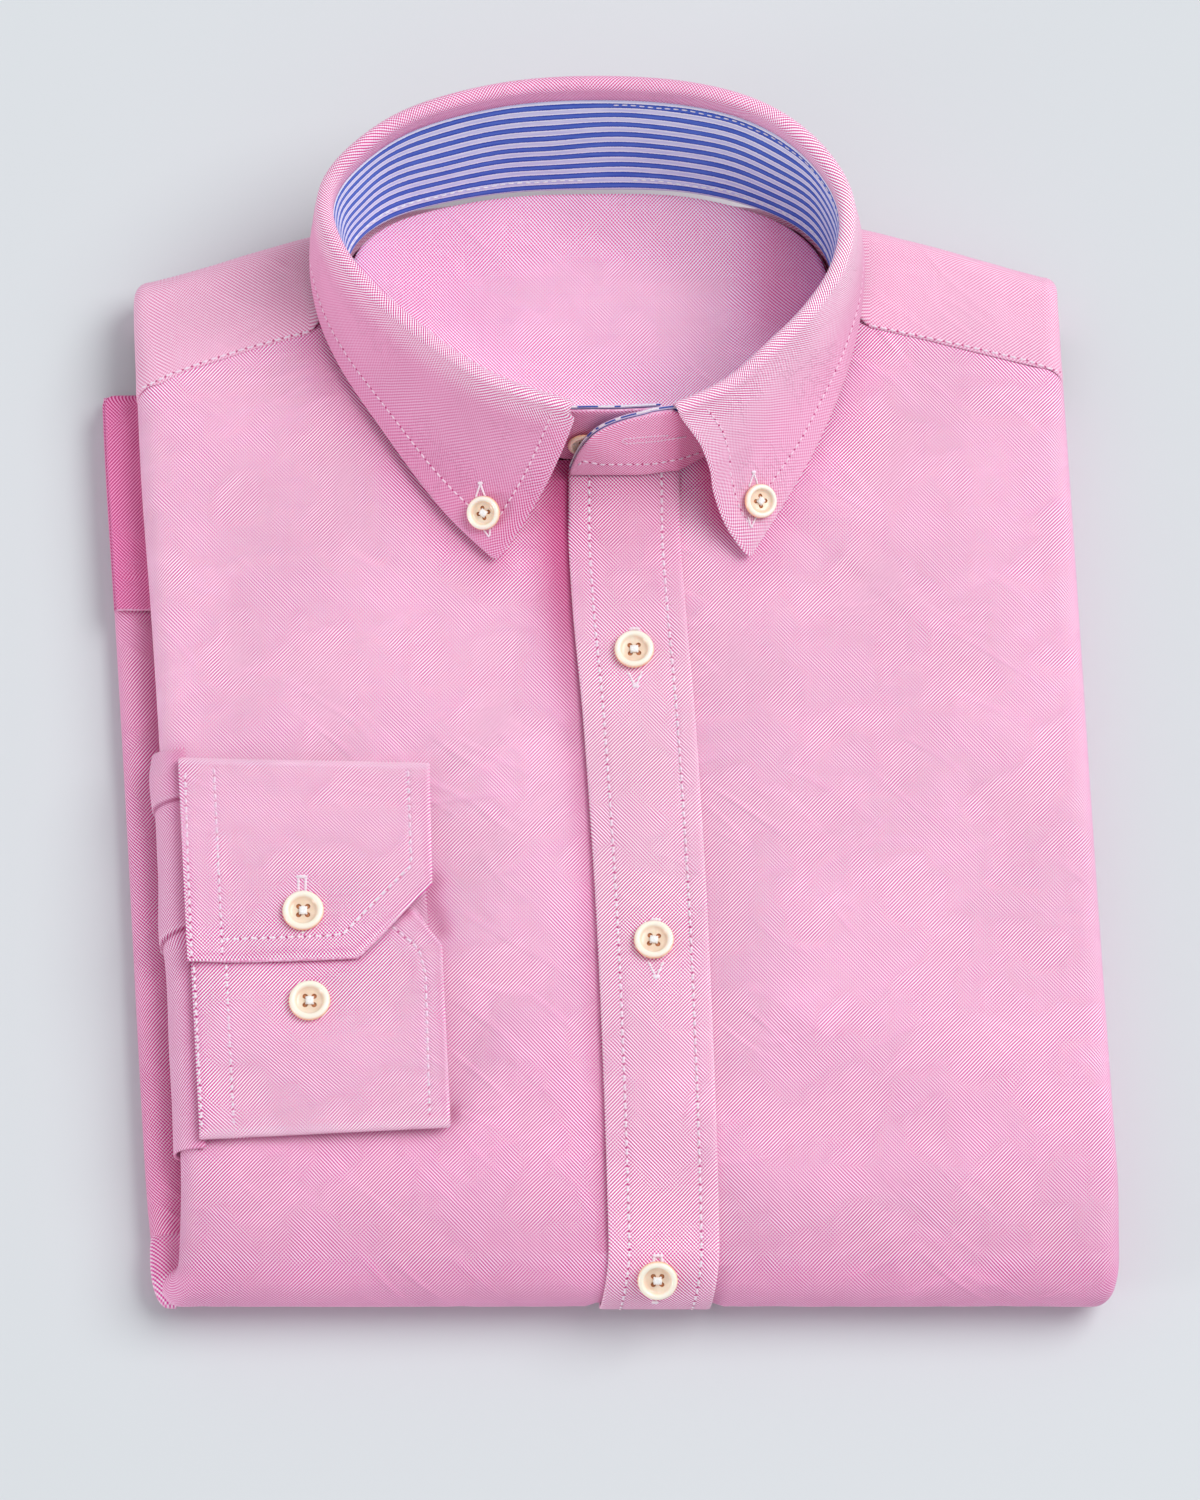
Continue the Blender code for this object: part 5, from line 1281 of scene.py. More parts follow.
def leaf_point(s, k):
    p = leaf_base(s, k)
    n = leaf_normal(s, k)
    free, front = edge_gap(s, k)
    if k < 6:
        free = 99.0
    down = 0.0
    for d, run in ((free, s * 14.0), (front, k * 7.0)):
        down += 0.45 * math.exp(-(d / 0.55) ** 2)
    inner = min(free, front)
    if k >= 5:
        down += 0.28 * math.exp(-((inner - STITCH_IN) / 0.8) ** 2)
    soft = 0.30 * noise.noise(Vector((s * 1.4, k * 0.7, 4.4))) * smooth((k - 5) / 3) * smooth(inner / 8.0)
    return p - n * (down - soft)


def leaf_grid(s, k):
    """leaf_point with the two tips rounded off."""
    fall = leaf_fall(s)
    for end, way in ((0.0, 1.0), (18.0, -1.0)):
        wide = (leaf_base(end + way * 0.3, 12.0) - leaf_base(end, 12.0)).length / 0.3
        u = (s - end) * way * wide
        v = (12.0 - k) / 6.0 * fall
        if 0 <= u < TIP_R and 0 <= v < TIP_R:
            a, b = 1 - u / TIP_R, 1 - v / TIP_R
            a2, b2 = a * math.sqrt(1 - b * b / 2), b * math.sqrt(1 - a * a / 2)
            s = end + way * (1 - a2) * TIP_R / wide
            k = 12.0 - (1 - b2) * TIP_R / fall * 6.0
            break
    return tuple(leaf_point(s, k))


near_end = [0.0, 0.012, 0.03, 0.05, 0.075, 0.1, 0.13, 0.17, 0.21, 0.25, 0.29, 0.33, 0.37, 0.42, 0.48, 0.56, 0.66, 0.78, 0.9]
LEAF_S = near_end + [1.0 + 0.16 * k for k in range(101)] + [18.0 - s for s in near_end[::-1]]
LEAF_K = [0.0, 0.4, 0.8, 1.0, 1.6, 2.2, 2.8, 3.4, 4.0, 4.6, 5.2, 5.8, 6.2, 6.6, 7.0, 7.4, 7.8, 8.2, 8.6, 9.0, 9.3, 9.6, 9.9, 10.2, 10.45, 10.65, 10.8, 10.92, 11.04, 11.16, 11.28, 11.4, 11.52, 11.62, 11.7, 11.77, 11.83, 11.88, 11.92, 11.95, 11.98, 12.0]
rows, uvs, run = [], [], 0.0
for j, s in enumerate(LEAF_S):
    rows.append([leaf_grid(s, k) for k in LEAF_K])
    if j:
        run += (Vector(rows[-1][24]) - Vector(rows[-2][24])).length
    back = lengths(rows[-1])
    uvs.append([(run, back[-1] - b) for b in back])


def leaf_painted_light(s, k):
    """The weave is crisp on the roll and towards the front edges, and nearly lost on the pressed faces. The colour
    carries painted light: the roll and the edges paler as painted highlight, the faces lower down and the back of the
    roll deeper as painted shade, the right leaf's face a little dimmer.
    """
    front = min(s, 18.0 - s)
    fall = leaf_fall(s) * (k - 6.0) / 6.0
    crisp = lerp(1.0, 0.20, smooth((fall - 1.0) / 7.0)) if k > 6 else 1.0
    crisp = max(crisp, 0.5 * (1 - smooth((front - 0.15) / 0.5)))
    crisp = lerp(crisp, 0.9, 1 - smooth(fall / 3.0)) if k > 6 else crisp
    right = smooth((s - 7.0) / 4.0)
    roll_painted_light = -0.45 - 1.70 * math.exp(-((s - 13.8) / 2.9) ** 2) - 0.60 * math.exp(-((s - 4.6) / 2.6) ** 2) - 1.0 * math.exp(-(s / 2.0) ** 2) - 0.8 * math.exp(-((18.0 - s) / 1.2) ** 2)
    face_painted_shade = lerp(0.20 + 0.65 * smooth((fall - 18.0) / 18.0), lerp(-0.25, -0.85, smooth((s - 16.7) / 1.1)), right)
    deep = lerp(roll_painted_light, face_painted_shade, smooth((fall - 1.0) / lerp(7.0, 24.0, right))) if k > 6 else roll_painted_light
    free, ahead = edge_gap(s, k)
    near = min(free, ahead) if k > 6 else 9.0
    rear = math.exp(-((s - 9.0) / 1.9) ** 2)
    return (deep - 0.7 * math.exp(-(near / 0.7) ** 2) + 0.35 * rear, crisp, 1.0 + 0.06 * rear - 0.035 * right * (1 - smooth((s - 15.5) / 1.5)) * smooth((k - 7.0) / 2.0))


# the leaf's colours are darker than the fronts': partly the collar cloth's own smoother, darker look, partly painted
# shade
leaf_cloth = shirting("leaf_shirting", contrast=1.2, bump=0.35, seed=61.0, toned=True, deep=(0.655, 0.040, 0.245), pale=(0.905, 0.665, 0.835), streak=0.12, crinkle=6.5, creased=0.6)
shell("collar_leaf_cloth", rows, uvs, 0.8, leaf_cloth, ["collar_leaf"], flip=True, painted_light_and_crisp=[[leaf_painted_light(s, k) for k in LEAF_K] for s in LEAF_S])

# ---------------------------------------------------------------- yoke lining, seen through the neck
rows, uvs = [], []
painted_light_and_crisp = []
for j in range(73):
    line, grain, tone = [], [], []
    for i in range(73):
        a, b = -1 + i / 36, -1 + j / 36
        u, v = a * math.sqrt(1 - b * b / 2), b * math.sqrt(1 - a * a / 2)
        r = min(1.0, math.hypot(u, v))
        turn = math.atan2(-u, -v) % (2 * math.pi)          # from the front, clockwise as the collar runs
        s = turn / (2 * math.pi) * 18.0
        x, y, z = (station(COLLAR["low_" + c], s) for c in "xyz")
        f = 0.985 * r
        px, py = lerp(-3.0, x, f), lerp(297.0, y, f)
        fall = smooth((f - 0.42) / 0.58) ** 1.35
        floor = NECK_FLOOR + 1.0 * smooth((py - 300.0) / 40.0)
        soft = 0.45 * noise.noise(Vector((px / 26.0, py / 22.0, 8.0))) * smooth((1 - f) * 5)
        line.append((px, py, lerp(floor, z - 0.3, fall) + soft))
        grain.append((px, py))
        # painted light on the inner yoke: shade painted deeper at the right under the collar, a little at the left and
        # the back, and paler at the front
        left, right, front = smooth((-px - 8.0) / 45.0) * smooth((py - 285.0) / 20.0), smooth((px - 36.0) / 16.0) * smooth((py - 276.0) / 26.0), smooth((281.0 - py) / 14.0) * smooth((44.0 - abs(px)) / 12.0)
        back = smooth((py - 309.0) / 12.0) * smooth((24.0 - abs(px)) / 20.0)
        tone.append((0.30 * left + 1.5 * right - 1.0 * front + 0.10 * back, 1.0, 1.0 - 0.05 * left))
    rows.append(line)
    uvs.append(grain)
    painted_light_and_crisp.append(tone)
shell("yoke_lining_cloth", rows, uvs, 1.0, shirting("yoke_lining_shirting", contrast=1.05, seed=50.0, deep=(0.87, 0.12, 0.39), pale=(1.0, 0.885, 0.975), toned=True, creased=0.8), ["yoke_lining"], painted_light_and_crisp=painted_light_and_crisp)

# ---------------------------------------------------------------- right sleeve beside the cuff: three laps of cloth turned over the side fold
rows, uvs = [], []
SLEEVE_Y = [44.9 + (165.0 - 44.9) * k / 220 for k in range(221)]
LAPS = ((147.2, -0.35, 0.75), (105.0, -0.75, 0.95))    # where a lap ends at the fold, its slant, its step


def lap_out(y, f):
    out = 0.0
    for at, slant, step in LAPS:
        edge = at + slant * -8.0 * f
        out += step * smooth((y - edge) / 0.5 + 0.5) * (1 - smooth((y - edge) / 24.0))
    return out


for y in SLEEVE_Y:
    left = curve(SLEEVE, "y", y, "left")
    a_left, r = upper(y, "left"), side_radius(y)
    top = upper(y, "edge") + GAP + CLOTH + 0.4
    zc = upper(y, "edge") - r
    cuff_left = curve(CUFF_OVER if y > 98 else CUFF_UNDER, "y", y, "left") + 1.6
    rx, rz = (a_left + r) - left, top - zc
    last = math.degrees(math.acos(max(-1.0, min(1.0, (a_left + r - (cuff_left - 1.5)) / rx)))) if a_left + r > cuff_left - 1.5 else 88.0
    line = []
    for k in range(19):
        f = k / 18
        a = math.radians(lerp(-44.0, last, f))
        out = lap_out(y, f) - 0.10 + 0.22 * noise.noise(Vector((f * 2.5, y / 17.0, 3.0)))
        line.append((a_left + r - (rx + out) * math.cos(a), y, zc + (rz + out * 0.5) * math.sin(a)))
    line.append((cuff_left, y, line[-1][2] + 0.05))
    rows.append(line)
    uvs.append([(a, y) for a in lengths(line)])
# a darker copy of the shirting for the sleeve: painted shade
sleeve_shaded_cloth = shirting("sleeve_shaded_shirting", deep=(0.64, 0.07, 0.29), pale=(0.97, 0.72, 0.88), contrast=1.3, seed=23.0, toned=True)


# painted shade deeper towards the cuff and in a dark line under each lap's edge; painted highlight just past each lap
# and along the turn
def sleeve_painted_shade(y, f):
    deep, painted_dim = 0.95 * smooth((f - 0.72) / 0.28) - 0.55 * math.exp(-((f - 0.24) / 0.10) ** 2), 1.0
    for at, slant, step in LAPS:
        d = y - at - slant * -8.0 * f
        deep += 2.0 * math.exp(-((d + 0.25) / 0.55) ** 2) - 0.8 * math.exp(-((d - 0.9) / 0.6) ** 2)
        painted_dim -= 0.30 * math.exp(-((d + 0.25) / 0.5) ** 2)
    return (deep, 1.0, painted_dim)


shell("right_sleeve_cloth", rows, uvs, CLOTH, sleeve_shaded_cloth, ["right_sleeve"], painted_light_and_crisp=[[sleeve_painted_shade(y, min(1.0, k / 18)) for k in range(20)] for y in SLEEVE_Y])

# the fold of the sleeve above it: two plies, the upper one set in
rows, uvs = [], []
FOLD_PROFILE = ((0.0, -1.75), (0.02, -1.45), (0.18, -1.22), (0.42, -1.12), (0.62, -1.16), (0.70, -1.0), (0.72, -0.62), (0.84, -0.3), (1.08, -0.1), (1.5, 0.0), (3.0, 0.0), (5.0, 0.0))
FOLD_Y = [212.6 + 0.5 * k for k in range(126)] + [275.6, 276.4, 277.2, 277.9, 278.5, 279.0, 279.3, 279.5]
for y in FOLD_Y:
    inset = 3.2 * (1 - math.sqrt(max(0.0, 1 - max(0.0, (y - 275.6) / 3.9) ** 2)))
    outer, inner = lower(y, "left") + inset, upper(y, "left") + 1.2
    top = upper(y, "mid") - 0.35 + GAP + 2.2
    ripple = 0.35 * math.exp(-((y - 221.5) / 1.2) ** 2) + 0.18 * noise.noise(Vector((y / 15.0, 3.0, 1.0)))
    open_end = 0.5 * smooth((216.5 - y) / 4.0)
    wide = 1.0 + 0.55 * noise.noise(Vector((y / 30.0, 9.0, 1.0)))
    line = []
    over = 2.0 * (1 - math.sqrt(max(0.0, 1 - (max(0.0, y - 276.6) / 3.0) ** 2)))
    for k, (dx, dz) in enumerate(FOLD_PROFILE):
        x = outer + dx * (wide if 0.3 < dx < 1.2 else 1.0)
        line.append((min(x, inner), y, top + dz - over - ripple * (1 if dz > -1.0 else 0.3) - (open_end if dz < -1.0 else -0.2 * open_end)))
    for f in (0.3, 0.55, 0.8, 1.0):
        line.append((lerp(line[11][0], inner, f), y, top - over - ripple * (1 - f) + 0.25 * noise.noise(Vector((f * 2.0, y / 9.0, 6.0)))))
    rows.append(line)
    uvs.append([(a, y) for a in lengths(line)])
# a darker copy of the shirting for the sleeve's fold: painted shade
fold_shaded_cloth = shirting("sleeve_fold_shaded_shirting", deep=(0.54, 0.025, 0.18), pale=(0.88, 0.35, 0.60), contrast=1.1, seed=70.0)
shell("right_sleeve_fold_cloth", rows, uvs, 1.6, fold_shaded_cloth, ["right_sleeve_fold"])


# ---------------------------------------------------------------- cuff: two mitred ends laid flat, one over the other
def tilted(x, y, z):
    return (x, y, z - CUFF_TILT * (1 - smooth((x + 120.0) / 75.0)))


def seen(line, z):
    """Photo pixels to table millimetres on a cloth at height z at its right, tilted as the cuff is."""
    out = []
    for px, py in line:
        x, y = spot(px, py, z)
        for _ in range(3):
            x, y = spot(px, py, z - CUFF_TILT * (1 - smooth((x + 120.0) / 75.0)))
        out.append((x, y))
    return out


def cuff_end(name, z_of, corners, mitre, way, fold_in, stitches, mat, nodes, flip, shade=()):
    """corners: fold left, fold right, free right, free left; mitre: on the right edge, on the free edge; shade: a line
    beside which a painted shadow is laid; table mm.
    """
    fl, fr, er, el = (Vector(c) for c in corners)
    ma, mb = (Vector(c) for c in mitre)
    va = (ma - fr).length / (er - fr).length
    ub = (mb - el).length / (er - el).length
    outline = [tuple(fl), tuple(el), tuple(mb), tuple(ma), tuple(fr)]
    nu, nv = 132, 104
    us = [0.0, 0.002, 0.005, 0.009, 0.014] + [0.02 + 0.96 * k / nu for k in range(nu + 1)] + [0.986, 0.991, 0.995, 0.998, 1.0]
    vs = [k / nv * 0.97 for k in range(nv + 1)] + [0.977, 0.984, 0.99, 0.995, 0.998, 1.0]
    sharp = 0.02

    def cut(u):
        if u <= ub - sharp:
            return 1.0
        if u >= ub + sharp:
            return lerp(1.0, va, (u - ub) / (1 - ub))
        t = (u - ub + sharp) / (2 * sharp)
        return 1.0 - (1 - va) / (1 - ub) * sharp * t * t
    rows, uvs, painted_light_and_crisp = [], [], []
    z0 = z_of(fl.y)
    half = (z0 - CUFF_BOTTOM) / 2
    for a in (180, 165, 150, 135, 120, 105, 90, 78, 66, 54, 42, 30, 18, 8):
        b = math.radians(a)
        line, grain = [], []
        for u in us:
            p = fl.lerp(fr, u)
            e = min(u, 1 - u) * (fr - fl).length
            soft = 0.35 * math.exp(-(e / 0.4) ** 2)
            line.append(tilted(p.x, p.y + way * (fold_in - soft) * math.sin(b), z0 - half + (half - soft) * math.cos(b)))
            grain.append((u * (fr - fl).length, -fold_in * b))
        rows.append(line)
        uvs.append(grain)
        # painted highlight along the fold's edge
        painted_light_and_crisp.append([(-0.5, 0.8)] * len(line))
    for v in vs:
        line, grain, tone = [], [], []
        for u in us:
            w = v * cut(u)
            p = fl.lerp(fr, u).lerp(el.lerp(er, u), w)
            d_edge = min(away_from(outline[:2], p.x, p.y)[0], away_from(outline[1:], p.x, p.y)[0])
            down = 0.6 * math.exp(-(d_edge / 0.5) ** 2)
            for stitch in stitches:
                d, at = away_from(stitch, p.x, p.y)
                if d < 2.5:
                    down += (0.24 + 0.10 * math.cos(2 * math.pi * at / STITCH)) * math.exp(-(d / 0.75) ** 2)
            puff = 0.26 * noise.noise(Vector((p.x / 19.0, p.y / 16.0, 7.0))) + 0.08 * noise.noise(Vector((p.x / 6.0, p.y / 6.0, 2.0)))
            line.append(tilted(p.x, p.y, z_of(p.y) - down + puff * smooth(d_edge / 6.0)))
            grain.append((u * (fr - fl).length, w * (el - fl).length))
            # painted light: a paler rim at the edges as highlight, a darker band just inside as shade, and a painted
            # shadow beside the shade line where the other end lies over this one
            lit = math.exp(-((d_edge - 0.25) / 0.6) ** 2)
            beyond = away_from(shade, p.x, p.y)[0] if shade else 99.0
            under = 1.5 * math.exp(-(beyond / 2.0) ** 2)
            tone.append((0.20 + under - 0.75 * lit + 0.5 * math.exp(-((d_edge - 1.6) / 0.7) ** 2), 1.15 * (1 - 0.6 * lit), 1.0 - 0.34 * math.exp(-(beyond / 1.1) ** 2)))
        rows.append(line)
        uvs.append(grain)
        painted_light_and_crisp.append(tone)
    return shell(name, rows, uvs, 0.9, mat, nodes, flip=flip, painted_light_and_crisp=painted_light_and_crisp)


cuff_over_z = lambda y: curve(CUFF_OVER, "y", y, "z")
over_corners = seen([(178.0, 763.0), (429.5, 768.5), (434.0, 957.0), (187.5, 961.0)], 31.0)
over_mitre = seen([(433.0, 883.5), (356.5, 954.5)], 31.6)
over_stitches = [seen(line, 31.4) for line in (
    [(185.0, 772.0), (188.0, 866.0), (191.6, 957.0)],
    [(213.8, 767.0), (218.0, 860.0), (222.4, 954.0)],
    [(407.8, 769.5), (411.0, 862.0), (408.6, 869.0), (344.0, 933.0), (333.6, 935.5), (222.0, 939.6)])]
cuff_cloth = shirting("cuff_shirting", pale=(0.945, 0.925, 0.96), contrast=2.0, seed=93.0, toned=True, bias=0.08, creased=0.8)
cuff_end("cuff_overlap_cloth", cuff_over_z, over_corners, over_mitre, 1, 2.5, over_stitches, cuff_cloth, ["cuff_overlap"], True)
under_corners = seen([(199.3, 1129.5), (450.4, 1117.5), (440.0, 905.0), (188.0, 905.0)], 30.0)
under_mitre = seen([(443.2, 944.5), (411.5, 907.0)], 30.0)
under_stitches = [seen(line, 29.8) for line in (
    [(194.0, 965.0), (198.0, 1050.0), (202.0, 1128.0)],
    [(226.0, 965.0), (230.0, 1050.0), (234.0, 1126.0)],
    [(391.5, 926.0), (414.0, 945.0), (419.7, 952.0), (425.5, 974.0), (429.5, 1112.0)])]
cuff_end("cuff_underlap_cloth", lambda y: 30.0, under_corners, under_mitre, -1, 2.5, under_stitches, shirting("cuff_under_shirting", pale=(0.945, 0.925, 0.96), contrast=2.0, seed=19.0, toned=True, bias=0.08, creased=0.8), ["cuff_underlap"], False,
         shade=(over_corners[3], over_mitre[1], over_mitre[0]))
rows, uvs = [], []
for k in range(60):
    y = 51.4 + (157.2 - 51.4) * k / 59
    rise = lerp(3.4, -1.4, k / 59)
    left = curve(CUFF_OVER, "y", y, "left") if y > 100 else curve(CUFF_UNDER, "y", y, "left")
    right = lerp(-45.4, -51.6, (y - 51.0) / 106.0)
    rows.append([tilted(lerp(left + 0.8, right, f), y + rise * f, CUFF_BOTTOM + CUFF_PLY) for f in [m / 40 for m in range(41)]])
    uvs.append([(p[0], p[1]) for p in rows[-1]])
# the cuff's back half gets a darker copy of the shirting: painted shade
shell("cuff_back_cloth", rows, uvs, 0.9, shirting("cuff_back_shaded_shirting", deep=(0.54, 0.06, 0.24), pale=(0.86, 0.62, 0.76), contrast=1.2, seed=77.0), ["cuff_back_half"])

# the tail's cloth turned at the bottom left corner: the lower fold runs past the upper one and is tucked round it in a mitre
TUCK_OUT = [(153.4, 1236.0), (152.5, 1252.0), (152.8, 1266.0), (154.0, 1279.0), (157.0, 1291.5), (161.4, 1300.0), (167.4, 1304.2), (176.0, 1304.4)]
MITRE = ((-126.9, 9.0), (-119.4, 13.6))
outline = [spot(px, py, 7.0) for px, py in TUCK_OUT]
runs = [0.0]
for p, q in zip(outline, outline[1:]):
    runs.append(runs[-1] + math.hypot(q[0] - p[0], q[1] - p[1]))
table = {"run": tuple(runs), "x": tuple(p[0] for p in outline), "y": tuple(p[1] for p in outline)}
rows, uvs, painted_light_and_crisp = [], [], []
for j in range(41):
    at = runs[-1] * j / 40
    left = Vector((curve(table, "run", at, "x"), curve(table, "run", at, "y")))
    right = Vector((-115.6, lerp(outline[0][1], 9.5, smooth(j / 40))))
    line, grain, tone = [], [], []
    for f in [-1.0] + [k / 26 for k in range(27)]:
        p = left.lerp(right, max(0.0, f) ** 1.5)
        side_way = (MITRE[1][0] - MITRE[0][0], MITRE[1][1] - MITRE[0][1])
        d = ((p.x - MITRE[0][0]) * -side_way[1] + (p.y - MITRE[0][1]) * side_way[0]) / math.hypot(*side_way)
        crown = 11.75 - 0.30 * smooth((-d + 0.2) / 0.4) - 0.42 * max(0.0, -d - 0.4)
        near = (p - left).length + 0.05
        z = crown - 4.4 * (1 - math.sqrt(max(0.0, 1 - max(0.0, 1 - near / 4.4) ** 2)))
        z -= 1.3 * (1 - smooth(j / 7))
        if f < 0:
            z, p = z - lerp(4.0, 0.6, smooth((j - 24) / 14.0)), p + (right - left).normalized() * 1.0 + Vector((0.0, 1.4 * smooth((j - 24) / 14.0)))
        line.append((p.x, p.y, max(1.5, z + 0.12 * noise.noise(Vector((p.x / 2.2, p.y / 2.2, 8.8))))))
        grain.append((p.x - (3.0 if f < 0 else 0.0), p.y))
        # painted light: the mitre's one side deeper as shade, the other paler as lit, and a painted highlight along the
        # rounded edge and the mitre line
        lit = smooth((-d + 0.1) / 0.3)
        rim = math.exp(-(near / 0.6) ** 2)
        tone.append((lerp(1.25, 0.45, lit) * (1 - 1.4 * rim) - 0.5 * math.exp(-(d / 0.3) ** 2), lerp(0.38, 0.35, lit) * (1 - 0.6 * rim)))
    rows.append(line)
    uvs.append(grain)
    painted_light_and_crisp.append(tone)
shell("right_front_corner_cloth", rows, uvs, CLOTH, front_cloth, [], painted_light_and_crisp=painted_light_and_crisp)

# ---------------------------------------------------------------- sewing: thread beads sunk in the cloth, with a dark bead between them painted as the shade in the needle hole
THREAD = thread_material("pale_thread", (0.99, 0.80, 0.92))
# dark beads painted as the shade inside each needle hole
NEEDLE_HOLE_SHADE = new_material("needle_hole_shade")[0]
NEEDLE_HOLE_SHADE.node_tree.nodes["Principled BSDF"].inputs["Base Color"].default_value = (0.50, 0.04, 0.19, 1.0)
NEEDLE_HOLE_SHADE.node_tree.nodes["Principled BSDF"].inputs["Roughness"].default_value = 0.9
BLUE_THREAD = thread_material("white_thread", (0.96, 0.95, 0.98))
INK_THREAD = thread_material("blue_thread", (0.035, 0.085, 0.42), sheen=0.1)
BAR_THREAD = thread_material("buttonhole_thread", (1.0, 0.85, 0.94))
SOFT_THREAD = thread_material("soft_pink_thread", (0.97, 0.66, 0.82))


def frame_at(normal, along_dir):
    n = normal.normalized()
    x = (along_dir - n * along_dir.dot(n)).normalized()
    return Matrix((x, n.cross(x), n)).transposed()


def bead(bm, at, turn, length, wide, tall, mat=0, power=2.6, rings=6, sides=8):
    """A rounded bar lying on the cloth: length along its x, flat ends, in metres."""
    loops = []
    for k in range(rings + 1):
        t = -1 + 2 * k / rings
        r = max(0.0, 1 - abs(t) ** power) ** (1 / power)
        loops.append([bm.verts.new(at + turn @ Vector((t * length / 2, math.cos(2 * math.pi * m / sides) * wide / 2 * (0.35 + 0.65 * r), math.sin(2 * math.pi * m / sides) * tall / 2 * (0.35 + 0.65 * r))))
                      for m in range(sides)])
    for a, b in zip(loops, loops[1:]):
        for m in range(sides):
            face = bm.faces.new((a[m], a[(m + 1) % sides], b[(m + 1) % sides], b[m]))
            face.material_index = mat
            face.smooth = True
    for loop in (loops[0][::-1], loops[-1]):
        face = bm.faces.new(loop)
        face.material_index = mat
        face.smooth = True


def walk(points, pitch, start=0.0):
    """Even steps along a line of Vectors: (place, direction, run)."""
    out, run, want = [], 0.0, start
    for a, b in zip(points, points[1:]):
        n = (b - a).length
        while n > 1e-9 and want <= run + n:
            out.append((a.lerp(b, (want - run) / n), (b - a).normalized(), want))
            want += pitch
        run += n
    return out


TREES = {}


def tree(name):
    if name not in TREES:
        TREES[name] = tree_of(pieces[name])
    return TREES[name]


def dropped(name, pixels, z_guess=30.0, fine=6):
    """Photo pixels laid on a piece along the line of sight: surface points in metres, with their normals."""
    dense = []
    for (ax, ay), (bx, by) in zip(pixels, pixels[1:]):
        n = max(1, int(math.hypot(bx - ax, by - ay) / fine))
        dense += [(lerp(ax, bx, k / n), lerp(ay, by, k / n)) for k in range(n)]
    dense.append(pixels[-1])
    found = []
    for px, py in dense:
        origin, ray = photo_ray(px, py)
        hit, normal, _, _ = tree(name).ray_cast(origin, ray)
        if hit is not None:
            found.append((hit, normal if normal.dot(ray) < 0 else -normal))
    return found


def sew(name, lines, pitch=2.72, length=1.80, wide=0.70, tall=0.46, sink=0.12, thread=None, hole=True, hole_size=0.62, jitter=0.06, hole_mat=None):
    """Rows of stitches. Each line is a list of (point, normal) in metres."""
    bm = bmesh.new()
    rng = random.Random(len(lines) * 17 + len(name))
    for line in lines:
        points = [p for p, _ in line]
        if len(points) < 2:
            continue
        total = sum((b - a).length for a, b in zip(points, points[1:]))
        count = max(1, round(total / (pitch * MM)))
        step = total / count
        for at, way, run in walk(points, step, step / 2):
            near = min(range(len(points)), key=lambda i: (points[i] - at).length_squared)
            normal = line[near][1]
            turn = frame_at(normal, way + Vector((rng.uniform(-1, 1), rng.uniform(-1, 1), 0)) * jitter)
            size = rng.uniform(0.93, 1.06)
            bead(bm, at + normal * (tall * 0.5 - sink) * MM * 0.6, turn, length * MM * size, wide * MM * rng.uniform(0.94, 1.06), tall * MM)
            if hole:
                bead(bm, at + way * step * 0.5 + normal * 0.03 * MM, turn, hole_size * MM, hole_size * MM * 0.95, 0.10 * MM, mat=1, rings=4)
    obj = loose(name, bm, [thread or THREAD, hole_mat or NEEDLE_HOLE_SHADE])
    return obj


# placket: two rows from the band's top to round the bottom fold
def placket_point(f, kind, value):
    y = value if kind != "roll" else ROLL_Y
    x = lerp(curve(PLACKET, "y", y, "left"), curve(PLACKET, "y", y, "right"), f) + drift(kind, value)
    if kind == "top":
        return W((x, y, front_z(x, y) + BAND_RISE - 0.1 - 0.30)), Vector((0, 0, 1))
    a = math.radians(value)
    fade = 1 - smooth(value / 180.0)
    rho = ROLL_R + BAND_RISE * fade - 0.1 * fade - 0.32 * fade
    return W((x, ROLL_Y - rho * math.sin(a), ROLL_R + rho * math.cos(a))), Vector((0, -math.sin(a), math.cos(a)))


rows_of = []
for f in (ROW_LEFT, ROW_RIGHT):
    rows_of.append([placket_point(f, "top", lerp(249.0, ROLL_Y, k / 120)) for k in range(121)] + [placket_point(f, "roll", 4.0 * k) for k in range(1, 40)])
sew("placket_stitches", rows_of)

# yoke: one row above its seam, on each shoulder
sew("yoke_stitches", [dropped("yoke_cloth", [(141.0, 388.5), (170.0, 374.6), (203.0, 362.2), (244.0, 349.0), (286.0, 337.3), (319.0, 329.0)]),
                      dropped("yoke_cloth", [(861.5, 323.6), (900.0, 331.8), (958.0, 344.2), (1026.6, 360.3), (1060.0, 372.0)])], wide=0.60, sink=0.16)

# leaf: one row all round, a little inside its edge
line = []
for side in (0, 1):
    part = []
    for j in range(0, 121):
        # down the front edge, round the tip, up along the free edge
        if j <= 40:
            k = lerp(6.1, 12.0 - STITCH_IN / leaf_fall(0.0 if side == 0 else 18.0) * 6.0, j / 40)
            end = 0.0 if side == 0 else 18.0
            step = 0.3 if side == 0 else -0.3
            wide = (leaf_base(end + step, k) - leaf_base(end, k)).length / 0.3
            s = end + (1 if side == 0 else -1) * STITCH_IN / wide
        else:
            near = lerp(STITCH_IN / ((leaf_base(0.3 if side == 0 else 17.7, 11.0) - leaf_base(0.0 if side == 0 else 18.0, 11.0)).length / 0.3), 9.0, (j - 40) / 80)
            s = near if side == 0 else 18.0 - near
            k = 12.0 - STITCH_IN / leaf_fall(s) * 6.0
        part.append((W(tuple(leaf_point(s, k))), leaf_normal(s, k)))
    line.append(part)
sew("collar_stitches", line, pitch=2.45, length=1.55, wide=0.56, tall=0.42, sink=0.15, thread=SOFT_THREAD)

